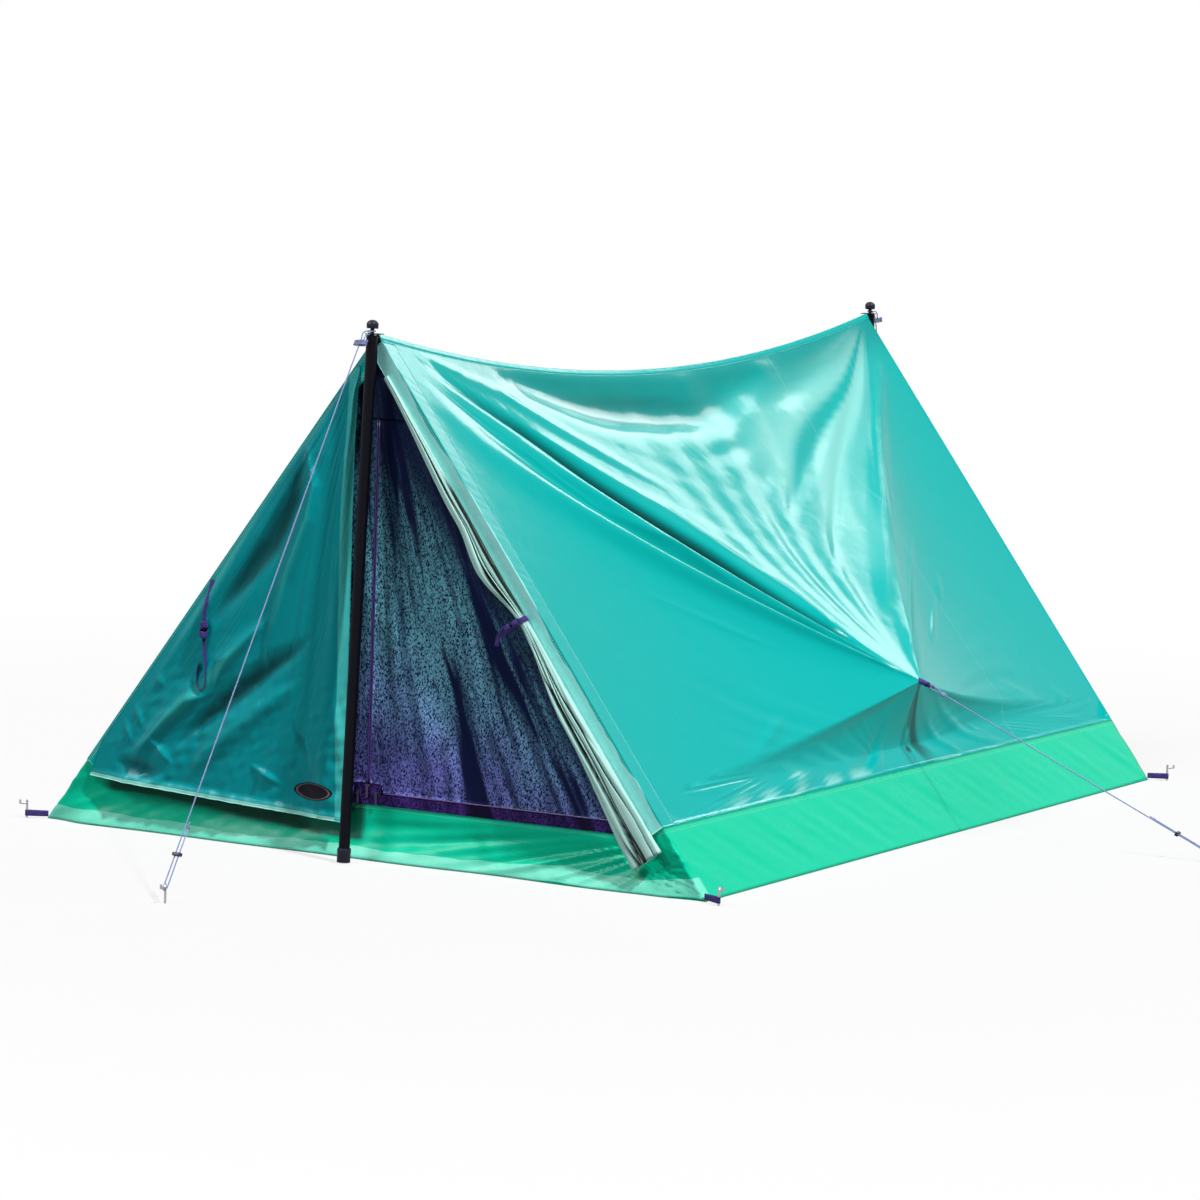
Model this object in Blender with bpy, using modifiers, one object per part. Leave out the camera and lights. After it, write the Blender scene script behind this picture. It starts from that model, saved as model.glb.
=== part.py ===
"""A small ridge tent, pitched.

Two poles stand outside the gables and hold up a sagging ridge. A sloping wall on each side is pulled
out at mid length by a guyline. A tub floor turns up all round. The doorway is split up the middle:
insect mesh doors inside, closed by zips, and storm flaps outside, one shut and one tied back.
X runs across the tent, Y along it with the doorway at -Y, Z up, and the origin is on the ground
under the middle of the floor.
"""

import math

import bmesh
import bpy
from mathutils import Matrix, Vector

# Tent body, in metres
BASE_LENGTH = 2.13
BASE_WIDTH = 1.52
APEX_HEIGHT = 1.022
RIDGE_SAG = 0.10
TUB_HEIGHT = 0.13
SILL_HEIGHT = 0.105
SILL_SET_BACK = 0.012
SILL_CORNER = 0.0633
SILL_ZIP_END = 0.048
SILL_PARK_END = 0.017
DOOR_CORNER_RISE = 0.030

# Sheets and the clearances that touching pieces keep
CLOTH = 0.002
THIN_CLOTH = 0.0015
SEAM_GAP = 0.0004
DOOR_SEAM_GAP = 0.0009
COVER_LIFT = 0.0008

# Side walls: how the cloth is pulled out, and its long pleat
PULL_ABOVE_TUB = 0.136
PULL_BEHIND_MIDDLE = 0.03
PULL_STANDOFF = 0.12
HEM_BAND = 0.05
PLEAT_VALLEY = 0.016
PLEAT_CREST = 0.014
PLEAT_HALF_WIDTH = 0.11
RIDGE_CELLS = 20
HEM_CELLS = 9
WALL_RINGS = 7

# Ridge tape and front hem bindings
TAPE_HALF_WIDTH = 0.012
TAPE_GAUGE = 0.001
BINDING_WIDTH = 0.045
BINDING_GAUGE = 0.0012
LIP_WIDTH = 0.032

# Poles
POLE_RADIUS = 0.011
POLE_WALL = 0.001
POLE_FOOT_AHEAD = 0.070
POLE_TOP_AHEAD = 0.020
POLE_SECTIONS = ("lower", "middle", "upper")
SPIGOT_LENGTH = 0.050
FIT = 0.0003
FOOT_CUP_WALL = 0.002
FOOT_CUP_HEIGHT = 0.028
FOOT_CUP_FLOOR = 0.006
PIN_RADIUS = 0.004
PIN_LENGTH = 0.022
TIP_CAP_RADIUS = 0.0118
TIP_CAP_HEIGHT = 0.017
TIP_CAP_BORE = 0.010
TURN_STEPS = 14

# Apex tabs
TAB_GAUGE = 0.002
TAB_HALF_WIDTH = 0.015
TAB_RIM = 0.0095

# Doorway
GUSSET_FOOT_DROP = 0.1625
GUSSET_TOP_DROP = 0.022
DOOR_TOP_GAP = 0.0015
DOOR_FOLD = 0.007
ZIP_GAUGE = 0.0022
ZIP_HALF_WIDTH = 0.003
ZIP_SLOT = 0.0012
PARK_HALF_WIDTH = 0.029
PARK_HEIGHT = 0.0405
SLIDER_WIDTH = 0.009
SLIDER_LENGTH = 0.012
SLIDER_PLATE = 0.0012
SLIDER_PLAY = 0.0004
PULL_TAB_LENGTH = 0.020
NOTCH_CLEARANCE = 0.0015

# Storm flaps
FLAP_FREE_EDGE = 0.036
FLAP_HEM_AT_DOOR = 0.068
FLAP_HEM_AT_WALL = 0.100
FLAP_TOP_DROP = 0.062
FLAP_FOLD = 0.013
ROLL_START = 0.080
ROLL_FOOT = 0.1236
ROLL_INSET = 0.022
TIE_HEIGHT = 0.515
TIE_WIDTH = 0.011
TIE_SEAT = 0.008
TAPE_TIE_GAUGE = 0.0010

# Rear wall
WINDOW_FOOT = 0.300
WINDOW_TOP = 0.660
WINDOW_FOOT_HALF = 0.240
WINDOW_TOP_HALF = 0.130
WINDOW_OVERLAP = 0.022
MESH_GAUGE = 0.001

# Webbing, cords, stakes and runners
WEBBING_WIDTH = 0.012
WEBBING_GAUGE = 0.001
CORD_RADIUS = 0.00125
CORD_READINGS = 28
STAKE_RADIUS = 0.00225
STAKE_RISE = 0.036
STAKE_HOOK_RADIUS = 0.007
CORNER_STAKE_REACH = 0.045
RUNNER_LENGTH = 0.021
RUNNER_WIDTH = 0.009
RUNNER_DEPTH = 0.005
STRAND_SPACING = 0.008
RUNNER_HOLE_PLAY = 0.0007
PULL_LOOP_LENGTH = 0.028
PULL_EYE_RADIUS = 0.0026

# Where the guylines are pegged
FRONT_PEG = (0.0, -1.735)
REAR_PEG = (0.0, 1.43)
RIGHT_PEG = (1.32, 0.03)
LEFT_PEG = (-1.20, 0.03)
PEG_LINE_HEIGHT = 0.022

# Routes of the guylines, chosen by hand: from the knotted start, round what holds the line up, down
# to the peg, round it and back up to the tail that the runner rides on.
FRONT_GUY_ROUTE = [
    (0.0020, -1.1270, 1.0013), (0.0028, -1.1190, 1.0140), (0.0048, -1.1120, 1.0240),
    (0.0060, -1.1010, 1.0286), (0.0062, -1.0900, 1.0290), (0.0060, -1.0845, 1.0290),
    (0.0043, -1.0806, 1.0290), (0.0000, -1.0788, 1.0290), (-0.0043, -1.0806, 1.0290),
    (-0.0060, -1.0845, 1.0290), (-0.0062, -1.0900, 1.0290), (-0.0060, -1.1010, 1.0286),
    (-0.0048, -1.1120, 1.0240), (-0.0028, -1.1190, 1.0140), (-0.0034, -1.1349, 0.9886),
    (-0.0040, -1.2730, 0.7680), (-0.0040, -1.4270, 0.5220), (-0.0040, -1.5810, 0.2760),
    (-0.0040, -1.7162, 0.0600), (-0.0041, -1.7256, 0.0450), (-0.0041, -1.7350, 0.0300),
    (-0.0030, -1.7381, 0.0262), (0.0000, -1.7393, 0.0248), (0.0030, -1.7381, 0.0262),
    (0.0041, -1.7350, 0.0300), (0.0041, -1.7256, 0.0450), (0.0040, -1.7162, 0.0600),
    (0.0040, -1.6713, 0.1318),
]
REAR_GUY_ROUTE = [
    (0.0020, 1.1270, 1.0013), (0.0028, 1.1190, 1.0140), (0.0048, 1.1120, 1.0240),
    (0.0060, 1.1010, 1.0286), (0.0062, 1.0900, 1.0290), (0.0060, 1.0845, 1.0290),
    (0.0043, 1.0806, 1.0290), (0.0000, 1.0788, 1.0290), (-0.0043, 1.0806, 1.0290),
    (-0.0060, 1.0845, 1.0290), (-0.0062, 1.0900, 1.0290), (-0.0060, 1.1010, 1.0286),
    (-0.0048, 1.1120, 1.0240), (-0.0028, 1.1190, 1.0140), (-0.0034, 1.1280, 0.9854),
    (-0.0040, 1.1968, 0.7680), (-0.0040, 1.2745, 0.5220), (-0.0040, 1.3522, 0.2760),
    (-0.0040, 1.4193, 0.0638), (-0.0041, 1.4247, 0.0469), (-0.0041, 1.4300, 0.0300),
    (-0.0030, 1.4331, 0.0262), (0.0000, 1.4343, 0.0248), (0.0030, 1.4331, 0.0262),
    (0.0041, 1.4300, 0.0300), (0.0041, 1.4247, 0.0469), (0.0040, 1.4193, 0.0638),
    (0.0040, 1.3938, 0.1445),
]
RIGHT_GUY_ROUTE = [
    (0.7217, 0.0318, 0.2874), (0.7110, 0.0360, 0.2922), (0.7035, 0.0402, 0.2955),
    (0.6985, 0.0408, 0.2977), (0.6955, 0.0395, 0.2991), (0.6943, 0.0365, 0.2996),
    (0.6943, 0.0300, 0.2996), (0.6943, 0.0235, 0.2996), (0.6955, 0.0205, 0.2991),
    (0.6985, 0.0192, 0.2977), (0.7035, 0.0198, 0.2955), (0.7110, 0.0240, 0.2922),
    (0.7217, 0.0270, 0.2874), (0.8507, 0.0260, 0.2302), (1.0072, 0.0260, 0.1608),
    (1.1636, 0.0260, 0.0914), (1.2900, 0.0260, 0.0353), (1.3060, 0.0259, 0.0282),
    (1.3200, 0.0259, 0.0220), (1.3230, 0.0270, 0.0207), (1.3241, 0.0300, 0.0202),
    (1.3230, 0.0330, 0.0207), (1.3200, 0.0341, 0.0220), (1.3060, 0.0341, 0.0282),
    (1.2900, 0.0340, 0.0353), (1.2012, 0.0340, 0.0747),
]
LEFT_GUY_ROUTE = [
    (-0.7196, 0.0318, 0.2832), (-0.7093, 0.0360, 0.2888), (-0.7021, 0.0402, 0.2927),
    (-0.6973, 0.0408, 0.2953), (-0.6944, 0.0395, 0.2969), (-0.6933, 0.0365, 0.2975),
    (-0.6933, 0.0300, 0.2975), (-0.6933, 0.0235, 0.2975), (-0.6944, 0.0205, 0.2969),
    (-0.6973, 0.0192, 0.2953), (-0.7021, 0.0198, 0.2927), (-0.7093, 0.0240, 0.2888),
    (-0.7196, 0.0270, 0.2832), (-0.8253, 0.0260, 0.2257), (-0.9502, 0.0260, 0.1578),
    (-1.0751, 0.0260, 0.0899), (-1.1712, 0.0260, 0.0377), (-1.1866, 0.0259, 0.0293),
    (-1.2000, 0.0259, 0.0220), (-1.2030, 0.0270, 0.0207), (-1.2041, 0.0300, 0.0202),
    (-1.2030, 0.0330, 0.0207), (-1.2000, 0.0341, 0.0220), (-1.1866, 0.0341, 0.0293),
    (-1.1712, 0.0340, 0.0377), (-1.0858, 0.0340, 0.0841),
]

HALF_LENGTH = BASE_LENGTH / 2
HALF_WIDTH = BASE_WIDTH / 2
SLOPE_LENGTH = math.hypot(HALF_WIDTH, APEX_HEIGHT)
COS_SLOPE = APEX_HEIGHT / SLOPE_LENGTH
SIN_SLOPE = HALF_WIDTH / SLOPE_LENGTH
SILL_WIDTH = 2 * (HALF_WIDTH * (1.0 - TUB_HEIGHT / APEX_HEIGHT) - SILL_CORNER)
GABLE_PLANE = HALF_LENGTH - SILL_SET_BACK - CLOTH / 2
FLAP_BACK = HALF_LENGTH + SEAM_GAP + BINDING_GAUGE + SEAM_GAP
SILL_FOOT = SILL_HEIGHT + SEAM_GAP
ZIP_LINE = SILL_FOOT + 0.0216
DOOR_FOOT = ZIP_LINE + ZIP_SLOT / 2 + ZIP_HALF_WIDTH + SEAM_GAP
PARK_TOP = SILL_FOOT + PARK_HEIGHT
DOOR_INNER_EDGE = ZIP_SLOT / 2 + ZIP_HALF_WIDTH + SEAM_GAP
TAB_FOOT = APEX_HEIGHT + 0.0005
GUSSET_FOOT = APEX_HEIGHT - GUSSET_FOOT_DROP
GUSSET_TOP = APEX_HEIGHT - GUSSET_TOP_DROP
DOOR_TOP = GUSSET_FOOT - DOOR_TOP_GAP
FLAP_TOP = APEX_HEIGHT - FLAP_TOP_DROP
ROLL_END = SLOPE_LENGTH - ROLL_FOOT
TIE_DISTANCE = (APEX_HEIGHT - TIE_HEIGHT) / COS_SLOPE


def clear_scene():
    """Start from an empty scene."""
    for obj in list(bpy.data.objects):
        bpy.data.objects.remove(obj, do_unlink=True)


def collection(name):
    """A collection of this name, linked to the scene."""
    found = bpy.data.collections.get(name)
    if found is None:
        found = bpy.data.collections.new(name)
        bpy.context.scene.collection.children.link(found)
    return found


def material(name, colour, roughness, metallic=0.0):
    """A plain finish: colour, roughness and metallic value."""
    made = bpy.data.materials.get(name)
    if made is None:
        made = bpy.data.materials.new(name)
        made.use_nodes = True
        shader = made.node_tree.nodes["Principled BSDF"]
        shader.inputs["Base Color"].default_value = (*colour, 1.0)
        shader.inputs["Roughness"].default_value = roughness
        shader.inputs["Metallic"].default_value = metallic
    return made


def taffeta():
    return material("teal_taffeta", (0.0, 0.50, 0.48), 0.30)


def tub_cloth():
    return material("green_tub_cloth", (0.0, 0.75, 0.38), 0.35)


def insect_mesh():
    return material("navy_mesh", (0.03, 0.03, 0.16), 0.80)


def webbing():
    return material("purple_webbing", (0.07, 0.05, 0.30), 0.70)


def pole_steel():
    return material("black_pole", (0.012, 0.012, 0.03), 0.40, 0.6)


def black_plastic():
    return material("black_plastic", (0.02, 0.02, 0.04), 0.45)


def stake_steel():
    return material("stake_steel", (0.60, 0.60, 0.62), 0.30, 1.0)


def guy_cord():
    return material("pale_cord", (0.55, 0.60, 0.80), 0.60)


def zip_coil():
    return material("purple_zip", (0.05, 0.02, 0.22), 0.50)


def add_object(name, data, finish, home="ridge_tent"):
    """Link a mesh or a curve as a named object with its finish."""
    obj = bpy.data.objects.new(name, data)
    data.materials.append(finish)
    collection(home).objects.link(obj)
    return obj


def hang(obj, point):
    """Moves a moving piece's origin on to its joint's axis, its shape staying where it is."""
    obj.data.transform(Matrix.Translation(-point))
    obj.location = point
    return obj


def sheet(name, finish, across, along, place, gauge, offset=-1.0, flip=False, even=False):
    """A cloth of across by along cells: place(i, j) puts each corner, and Solidify gives its gauge."""
    cage = bmesh.new()
    bmesh.ops.create_grid(cage, x_segments=across, y_segments=along, size=1.0)
    low = min(vert.co.x for vert in cage.verts)
    span = max(vert.co.x for vert in cage.verts) - low
    for vert in cage.verts:
        i = round((vert.co.x - low) / span * across)
        j = round((vert.co.y - low) / span * along)
        vert.co = place(i, j)
    bmesh.ops.remove_doubles(cage, verts=cage.verts, dist=0.00002)
    if flip:
        bmesh.ops.reverse_faces(cage, faces=cage.faces)
    mesh = bpy.data.meshes.new(name)
    cage.to_mesh(mesh)
    cage.free()
    mesh.shade_smooth()
    obj = add_object(name, mesh, finish)
    wall = obj.modifiers.new("gauge", "SOLIDIFY")
    wall.thickness = gauge
    wall.offset = offset
    wall.use_even_offset = even
    return obj


def tube(name, finish, points, radius, sides=2):
    """A wire or cord along the points, with filled ends."""
    curve = bpy.data.curves.new(name, "CURVE")
    curve.dimensions = "3D"
    curve.bevel_depth = radius
    curve.bevel_resolution = sides
    curve.use_fill_caps = True
    spline = curve.splines.new("POLY")
    spline.points.add(len(points) - 1)
    for target, point in zip(spline.points, points):
        target.co = (*point, 1.0)
    return add_object(name, curve, finish)


def turned(name, finish, profile, closed=False):
    """A turned piece: the profile, as (radius, height) down its outer side, spun round Z."""
    mesh = bpy.data.meshes.new(name)
    count = len(profile)
    edges = [(k, k + 1) for k in range(count - 1)]
    if closed:
        edges.append((count - 1, 0))
    mesh.from_pydata([(radius, 0.0, height) for radius, height in profile], edges, [])
    obj = add_object(name, mesh, finish)
    spin = obj.modifiers.new("turn", "SCREW")
    spin.steps = TURN_STEPS
    spin.render_steps = TURN_STEPS
    spin.use_merge_vertices = True
    spin.merge_threshold = 0.00005
    spin.use_smooth_shade = True
    return obj


def outline(name, finish, loops, gauge, matrix):
    """A flat piece: the first loop is its edge and the others are holes, laid by the matrix."""
    curve = bpy.data.curves.new(name, "CURVE")
    curve.dimensions = "2D"
    curve.fill_mode = "BOTH"
    curve.extrude = gauge / 2
    for loop in loops:
        spline = curve.splines.new("POLY")
        spline.points.add(len(loop) - 1)
        spline.use_cyclic_u = True
        for target, (x, y) in zip(spline.points, loop):
            target.co = (x, y, 0.0, 1.0)
    obj = add_object(name, curve, finish)
    obj.matrix_world = matrix
    return obj


def box_mesh(name, low, high):
    """A box between two corners, as an object in the cutters collection."""
    cage = bmesh.new()
    bmesh.ops.create_cube(cage, size=1.0)
    size = Vector(high) - Vector(low)
    middle = (Vector(high) + Vector(low)) / 2
    bmesh.ops.scale(cage, vec=size, verts=cage.verts)
    bmesh.ops.translate(cage, vec=middle, verts=cage.verts)
    mesh = bpy.data.meshes.new(name)
    cage.to_mesh(mesh)
    cage.free()
    return mesh


def bar(name, finish, low, high, rounding):
    """A box with softened edges."""
    obj = add_object(name, box_mesh(name, low, high), finish)
    soften = obj.modifiers.new("rounding", "BEVEL")
    soften.width = rounding
    soften.segments = 1
    return obj


def joined_boxes(name, finish, boxes):
    """Boxes that overlap each other, joined into one body."""
    body = add_object(name, box_mesh(name, *boxes[0]), finish)
    for number, corners in enumerate(boxes[1:]):
        tool = add_object(f"{name}_join_{number}", box_mesh(f"{name}_join_{number}", *corners), finish, "cutters")
        tool.hide_render = True
        tool.display_type = "WIRE"
        join = body.modifiers.new(f"join_{number}", "BOOLEAN")
        join.operation = "UNION"
        join.solver = "EXACT"
        join.object = tool
    return body


def ribbon(name, finish, path, across, width, gauge):
    """Flat webbing along a path. across is the direction of its width."""
    side = Vector(across).normalized() * (width / 2)

    def place(i, j):
        return path[j] + side * (2 * i - 1)

    return sheet(name, finish, 1, len(path) - 1, place, gauge, offset=0.0, even=True)


def lofted(name, finish, rings):
    """A closed body through rings of points that all have the same count."""
    cage = bmesh.new()
    rows = [[cage.verts.new(point) for point in ring] for ring in rings]
    count = len(rings[0])
    for near, far in zip(rows, rows[1:]):
        for k in range(count):
            nxt = (k + 1) % count
            cage.faces.new((near[k], near[nxt], far[nxt], far[k]))
    cage.faces.new(list(reversed(rows[0])))
    cage.faces.new(rows[-1])
    bmesh.ops.recalc_face_normals(cage, faces=cage.faces)
    mesh = bpy.data.meshes.new(name)
    cage.to_mesh(mesh)
    cage.free()
    mesh.shade_smooth()
    return add_object(name, mesh, finish)


def blend(points, share):
    """Value at share on a line drawn through (share, value) pairs, eased at each pair."""
    for (start, low), (end, high) in zip(points, points[1:]):
        if share <= end:
            step = (share - start) / (end - start)
            ease = step * step * (3 - 2 * step)
            return low + (high - low) * ease
    return points[-1][1]


def bump(distance, width):
    """A smooth hump, 1 at zero distance."""
    return math.exp(-((distance / width) ** 2))


def smooth_route(route, readings):
    """Evenly spaced points on a smooth curve through the route's own points."""
    points = [Vector(point) for point in route]
    padded = [2 * points[0] - points[1], *points, 2 * points[-1] - points[-2]]
    fine = []
    for k in range(len(points) - 1):
        before, start, end, after = padded[k:k + 4]
        knot_1 = max((start - before).length, 1e-6) ** 0.5
        knot_2 = knot_1 + (end - start).length ** 0.5
        knot_3 = knot_2 + max((after - end).length, 1e-6) ** 0.5
        for step in range(16):
            at = knot_1 + (knot_2 - knot_1) * step / 16
            a_1 = before.lerp(start, at / knot_1)
            a_2 = start.lerp(end, (at - knot_1) / (knot_2 - knot_1))
            a_3 = end.lerp(after, (at - knot_2) / (knot_3 - knot_2))
            b_1 = a_1.lerp(a_2, at / knot_2)
            b_2 = a_2.lerp(a_3, (at - knot_1) / (knot_3 - knot_1))
            fine.append(b_1.lerp(b_2, (at - knot_1) / (knot_2 - knot_1)))
    fine.append(points[-1])
    return thin_out(fine, readings)


def thin_out(fine, readings):
    """Fewer points: close together where the curve turns, and far apart where it runs straight."""
    weights = [0.0]
    for k in range(1, len(fine)):
        step = (fine[k] - fine[k - 1]).length
        turn = 0.0
        if 1 < k < len(fine) - 1:
            turn = (fine[k] - fine[k - 1]).angle(fine[k + 1] - fine[k], 0.0)
        weights.append(weights[-1] + step + 0.25 * turn)
    picked = [fine[0]]
    reach = 1
    for k in range(1, len(fine) - 1):
        if weights[k] >= weights[-1] * reach / (readings - 1):
            picked.append(fine[k])
            reach = int(weights[k] / weights[-1] * (readings - 1)) + 1
    picked.append(fine[-1])
    return picked


# Lines of the tent that several pieces share


def slope_x(height):
    """Half width of the gable at a height, on the outside of the cloth."""
    return HALF_WIDTH * (1.0 - height / APEX_HEIGHT)


def inner_x(height, gap):
    """Half width inside the side walls in the plane of the doors, with a gap square to the wall."""
    top = ridge_z(GABLE_PLANE)
    wide = slope_x(TUB_HEIGHT) * (top - height) / (top - TUB_HEIGHT)
    return wide - (CLOTH + gap) / COS_SLOPE


def ridge_z(y):
    """Height of the sagging ridge."""
    share = min(abs(y) / HALF_LENGTH, 1.0)
    return APEX_HEIGHT - RIDGE_SAG * (1.0 - share * share)


def wall_length(y):
    """Length down the side wall from the ridge to the tub seam."""
    return math.hypot(slope_x(TUB_HEIGHT), ridge_z(y) - TUB_HEIGHT)


def wall_point(side, y, share, lift=0.0):
    """A point of the side wall: share 0 on the ridge, 1 on the tub seam, lifted square to the wall."""
    rise = ridge_z(y) - TUB_HEIGHT
    length = wall_length(y)
    x = share * slope_x(TUB_HEIGHT) + lift * rise / length
    z = ridge_z(y) - share * rise + lift * slope_x(TUB_HEIGHT) / length
    return Vector((side * x, y, z))


def down_slope(side, distance, inward=0.0, y=0.0):
    """A point of the gable plane: a distance down the slope from the apex, and inward of the slope."""
    x = distance * SIN_SLOPE - inward * COS_SLOPE
    z = APEX_HEIGHT - distance * COS_SLOPE - inward * SIN_SLOPE
    return Vector((side * x, y, z))


# Where the moving pieces turn or slide


def door_hinge(side):
    """Middle of the seam that a mesh door swings on."""
    height = (DOOR_FOOT + DOOR_TOP) / 2
    return Vector((side * inner_x(height, DOOR_SEAM_GAP), -GABLE_PLANE, height))


def flap_hinge():
    """Middle of the seam that the shut storm flap swings on."""
    height = (FLAP_HEM_AT_WALL + FLAP_TOP) / 2
    return Vector((-slope_x(height) + 0.005, -FLAP_BACK - THIN_CLOTH / 2, height))


# The side walls


def top_share(y):
    """Where a wall starts below the ridge, so that the two walls don't meet inside."""
    inward = CLOTH * (ridge_z(y) - TUB_HEIGHT) / wall_length(y)
    return (inward + FIT / 2) / slope_x(TUB_HEIGHT)


def wall_border():
    """Corners of a wall's edge as (y, share): ridge, rear hem, tub seam, front hem."""
    foot = 1.0 - SEAM_GAP / wall_length(HALF_LENGTH)
    edge = []
    for k in range(RIDGE_CELLS):
        y = -HALF_LENGTH + BASE_LENGTH * k / RIDGE_CELLS
        edge.append((y, top_share(y)))
    for k in range(HEM_CELLS):
        top = top_share(HALF_LENGTH)
        edge.append((HALF_LENGTH, top + (foot - top) * k / HEM_CELLS))
    for k in range(RIDGE_CELLS):
        edge.append((HALF_LENGTH - BASE_LENGTH * k / RIDGE_CELLS, foot))
    for k in range(HEM_CELLS):
        top = top_share(HALF_LENGTH)
        edge.append((-HALF_LENGTH, foot + (top - foot) * k / HEM_CELLS))
    return edge


def pull_foot():
    """The pull-out's place on the wall as (y, share), before it is pulled."""
    return PULL_BEHIND_MIDDLE, 1.0 - PULL_ABOVE_TUB / wall_length(PULL_BEHIND_MIDDLE)


def pull_tip(side):
    """The point that the side guyline pulls out."""
    y, share = pull_foot()
    return wall_point(side, y, share, PULL_STANDOFF)


def flat_reach(y, share):
    """How far from the pull-out towards an edge point the cloth is drawn: to the flat hem band."""
    start_y, start_share = pull_foot()
    band = HEM_BAND / wall_length(0.0)
    limits = [1.0]
    if y > start_y:
        limits.append((HALF_LENGTH - HEM_BAND - start_y) / (y - start_y))
    if y < start_y:
        limits.append((start_y + HALF_LENGTH - HEM_BAND) / (start_y - y))
    if share > start_share:
        limits.append((1.0 - band - start_share) / (share - start_share))
    if share < start_share:
        limits.append((start_share - band) / (start_share - share))
    return min(limits)


def wall_lift(y, share, reach):
    """How far the pull-out draws the cloth outwards, at a reach of 0 to 1 towards an edge point."""
    at_front = math.hypot(y + HALF_LENGTH, share * wall_length(y))
    at_rear = math.hypot(HALF_LENGTH - y, share * wall_length(y))
    near_seam = bump((y - PULL_BEHIND_MIDDLE) / 0.7, 1.0) if share > 0.99 else 0.0
    sharpness = 2.3 - 0.8 * bump(at_front, 0.3) - 0.8 * bump(at_rear, 0.3) - 1.0 * near_seam
    lift = PULL_STANDOFF * (1.0 - reach) ** sharpness
    along_edge = at_front if share < 0.5 and y > -HALF_LENGTH + 0.001 else -at_front
    pleat = PLEAT_CREST * bump(along_edge - PLEAT_HALF_WIDTH, 0.06)
    pleat += PLEAT_CREST * bump(along_edge + PLEAT_HALF_WIDTH, 0.06)
    pleat -= PLEAT_VALLEY * bump(along_edge, 0.05)
    return lift + pleat * (4.0 * reach * (1.0 - reach)) ** 1.5


def roof_panel(side, name):
    """One side wall, from the ridge to the tub, drawn out to its pull-out."""
    edge = wall_border()
    start_y, start_share = pull_foot()

    def place(i, j):
        y, share = edge[i % len(edge)]
        if j > WALL_RINGS:
            return wall_point(side, y, share)
        reach = (j / WALL_RINGS) ** 1.4
        step = reach * flat_reach(y, share)
        return wall_point(
            side,
            start_y + step * (y - start_y),
            start_share + step * (share - start_share),
            wall_lift(y, share, reach),
        )

    sheet(name, taffeta(), len(edge), WALL_RINGS + 1, place, CLOTH, flip=side < 0)


def ridge_tape():
    """The tape that covers the ridge seam."""
    shares = (-1, 0, 1)

    def place(i, j):
        y = -HALF_LENGTH + BASE_LENGTH * j / RIDGE_CELLS
        side = shares[i]
        if side == 0:
            peak = COVER_LIFT * wall_length(y) / slope_x(TUB_HEIGHT)
            return Vector((0.0, y, ridge_z(y) + peak))
        return wall_point(side, y, TAPE_HALF_WIDTH / wall_length(y), COVER_LIFT)

    sheet("ridge_tape", taffeta(), 2, RIDGE_CELLS, place, TAPE_GAUGE, offset=1.0, even=True)


def front_hem(side, name):
    """The binding folded round a wall's front edge, with a lip in the gable."""
    start = (TAPE_HALF_WIDTH + 0.004) / wall_length(HALF_LENGTH)

    def place(i, j):
        share = start + (1.0 - start) * j / HEM_CELLS
        if i == 0:
            return wall_point(side, -HALF_LENGTH + BINDING_WIDTH, share, COVER_LIFT)
        room = (share * slope_x(TUB_HEIGHT) - ZIP_SLOT) / COS_SLOPE
        inward = min(LIP_WIDTH, room) if i == 2 else 0.0
        corner = wall_point(side, -HALF_LENGTH, share, COVER_LIFT - inward)
        corner.y -= SEAM_GAP
        return corner

    sheet(name, taffeta(), 2, HEM_CELLS, place, BINDING_GAUGE, offset=1.0, flip=side < 0, even=True)


# The tub floor and the two gables


def floor_tub():
    """The floor, turned up on all four sides."""
    columns = (-HALF_WIDTH, -SILL_WIDTH / 2 - 0.01, -0.3, 0.0, 0.3, SILL_WIDTH / 2 + 0.01, HALF_WIDTH)
    rows = [-HALF_LENGTH + BASE_LENGTH * k / 8 for k in range(9)]
    last_i = len(columns) + 1
    last_j = len(rows) + 1

    def place(i, j):
        x = columns[min(max(i - 1, 0), len(columns) - 1)]
        y = rows[min(max(j - 1, 0), len(rows) - 1)]
        if 0 < i < last_i and 0 < j < last_j:
            return Vector((x, y, 0.0))
        if abs(x) < HALF_WIDTH:
            return Vector((x, math.copysign(HALF_LENGTH - SILL_SET_BACK, y), SILL_HEIGHT))
        return Vector((math.copysign(slope_x(TUB_HEIGHT), x), y, TUB_HEIGHT))

    sheet("floor_tub", tub_cloth(), last_i, last_j, place, CLOTH, flip=True, even=True)


def gable_matrix(y):
    """Lays an outline of (x, z) in the plane across the tent at y."""
    return Matrix.Translation((0.0, y, 0.0)) @ Matrix.Rotation(math.radians(90), 4, "X")


def sill_band():
    """The dark strip on the doorway's sill, with the slots that the parked sliders straddle."""
    half = SILL_WIDTH / 2
    slot = ZIP_SLOT / 2
    top = ZIP_LINE - slot
    park = PARK_HALF_WIDTH
    side_slot = SLIDER_WIDTH / 2 + FIT + SLIDER_LENGTH / 2
    corner = TUB_HEIGHT + 0.004
    corner_top = DOOR_FOOT + DOOR_CORNER_RISE - 0.006
    right = [
        (half, SILL_FOOT), (inner_x(corner, SEAM_GAP), corner), (inner_x(corner_top, SEAM_GAP), corner_top),
        (half - SILL_PARK_END, DOOR_FOOT + 0.008), (half - SILL_PARK_END, top), (side_slot, top),
        (side_slot, ZIP_LINE + slot), (park, ZIP_LINE + slot), (park, PARK_TOP),
        (slot, PARK_TOP), (slot, ZIP_LINE + ZIP_HALF_WIDTH + 0.0015),
    ]
    left = [(-x, z) for x, z in reversed(right)]
    outline("sill_band", insect_mesh(), [right + left], THIN_CLOTH, gable_matrix(-GABLE_PLANE))


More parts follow.
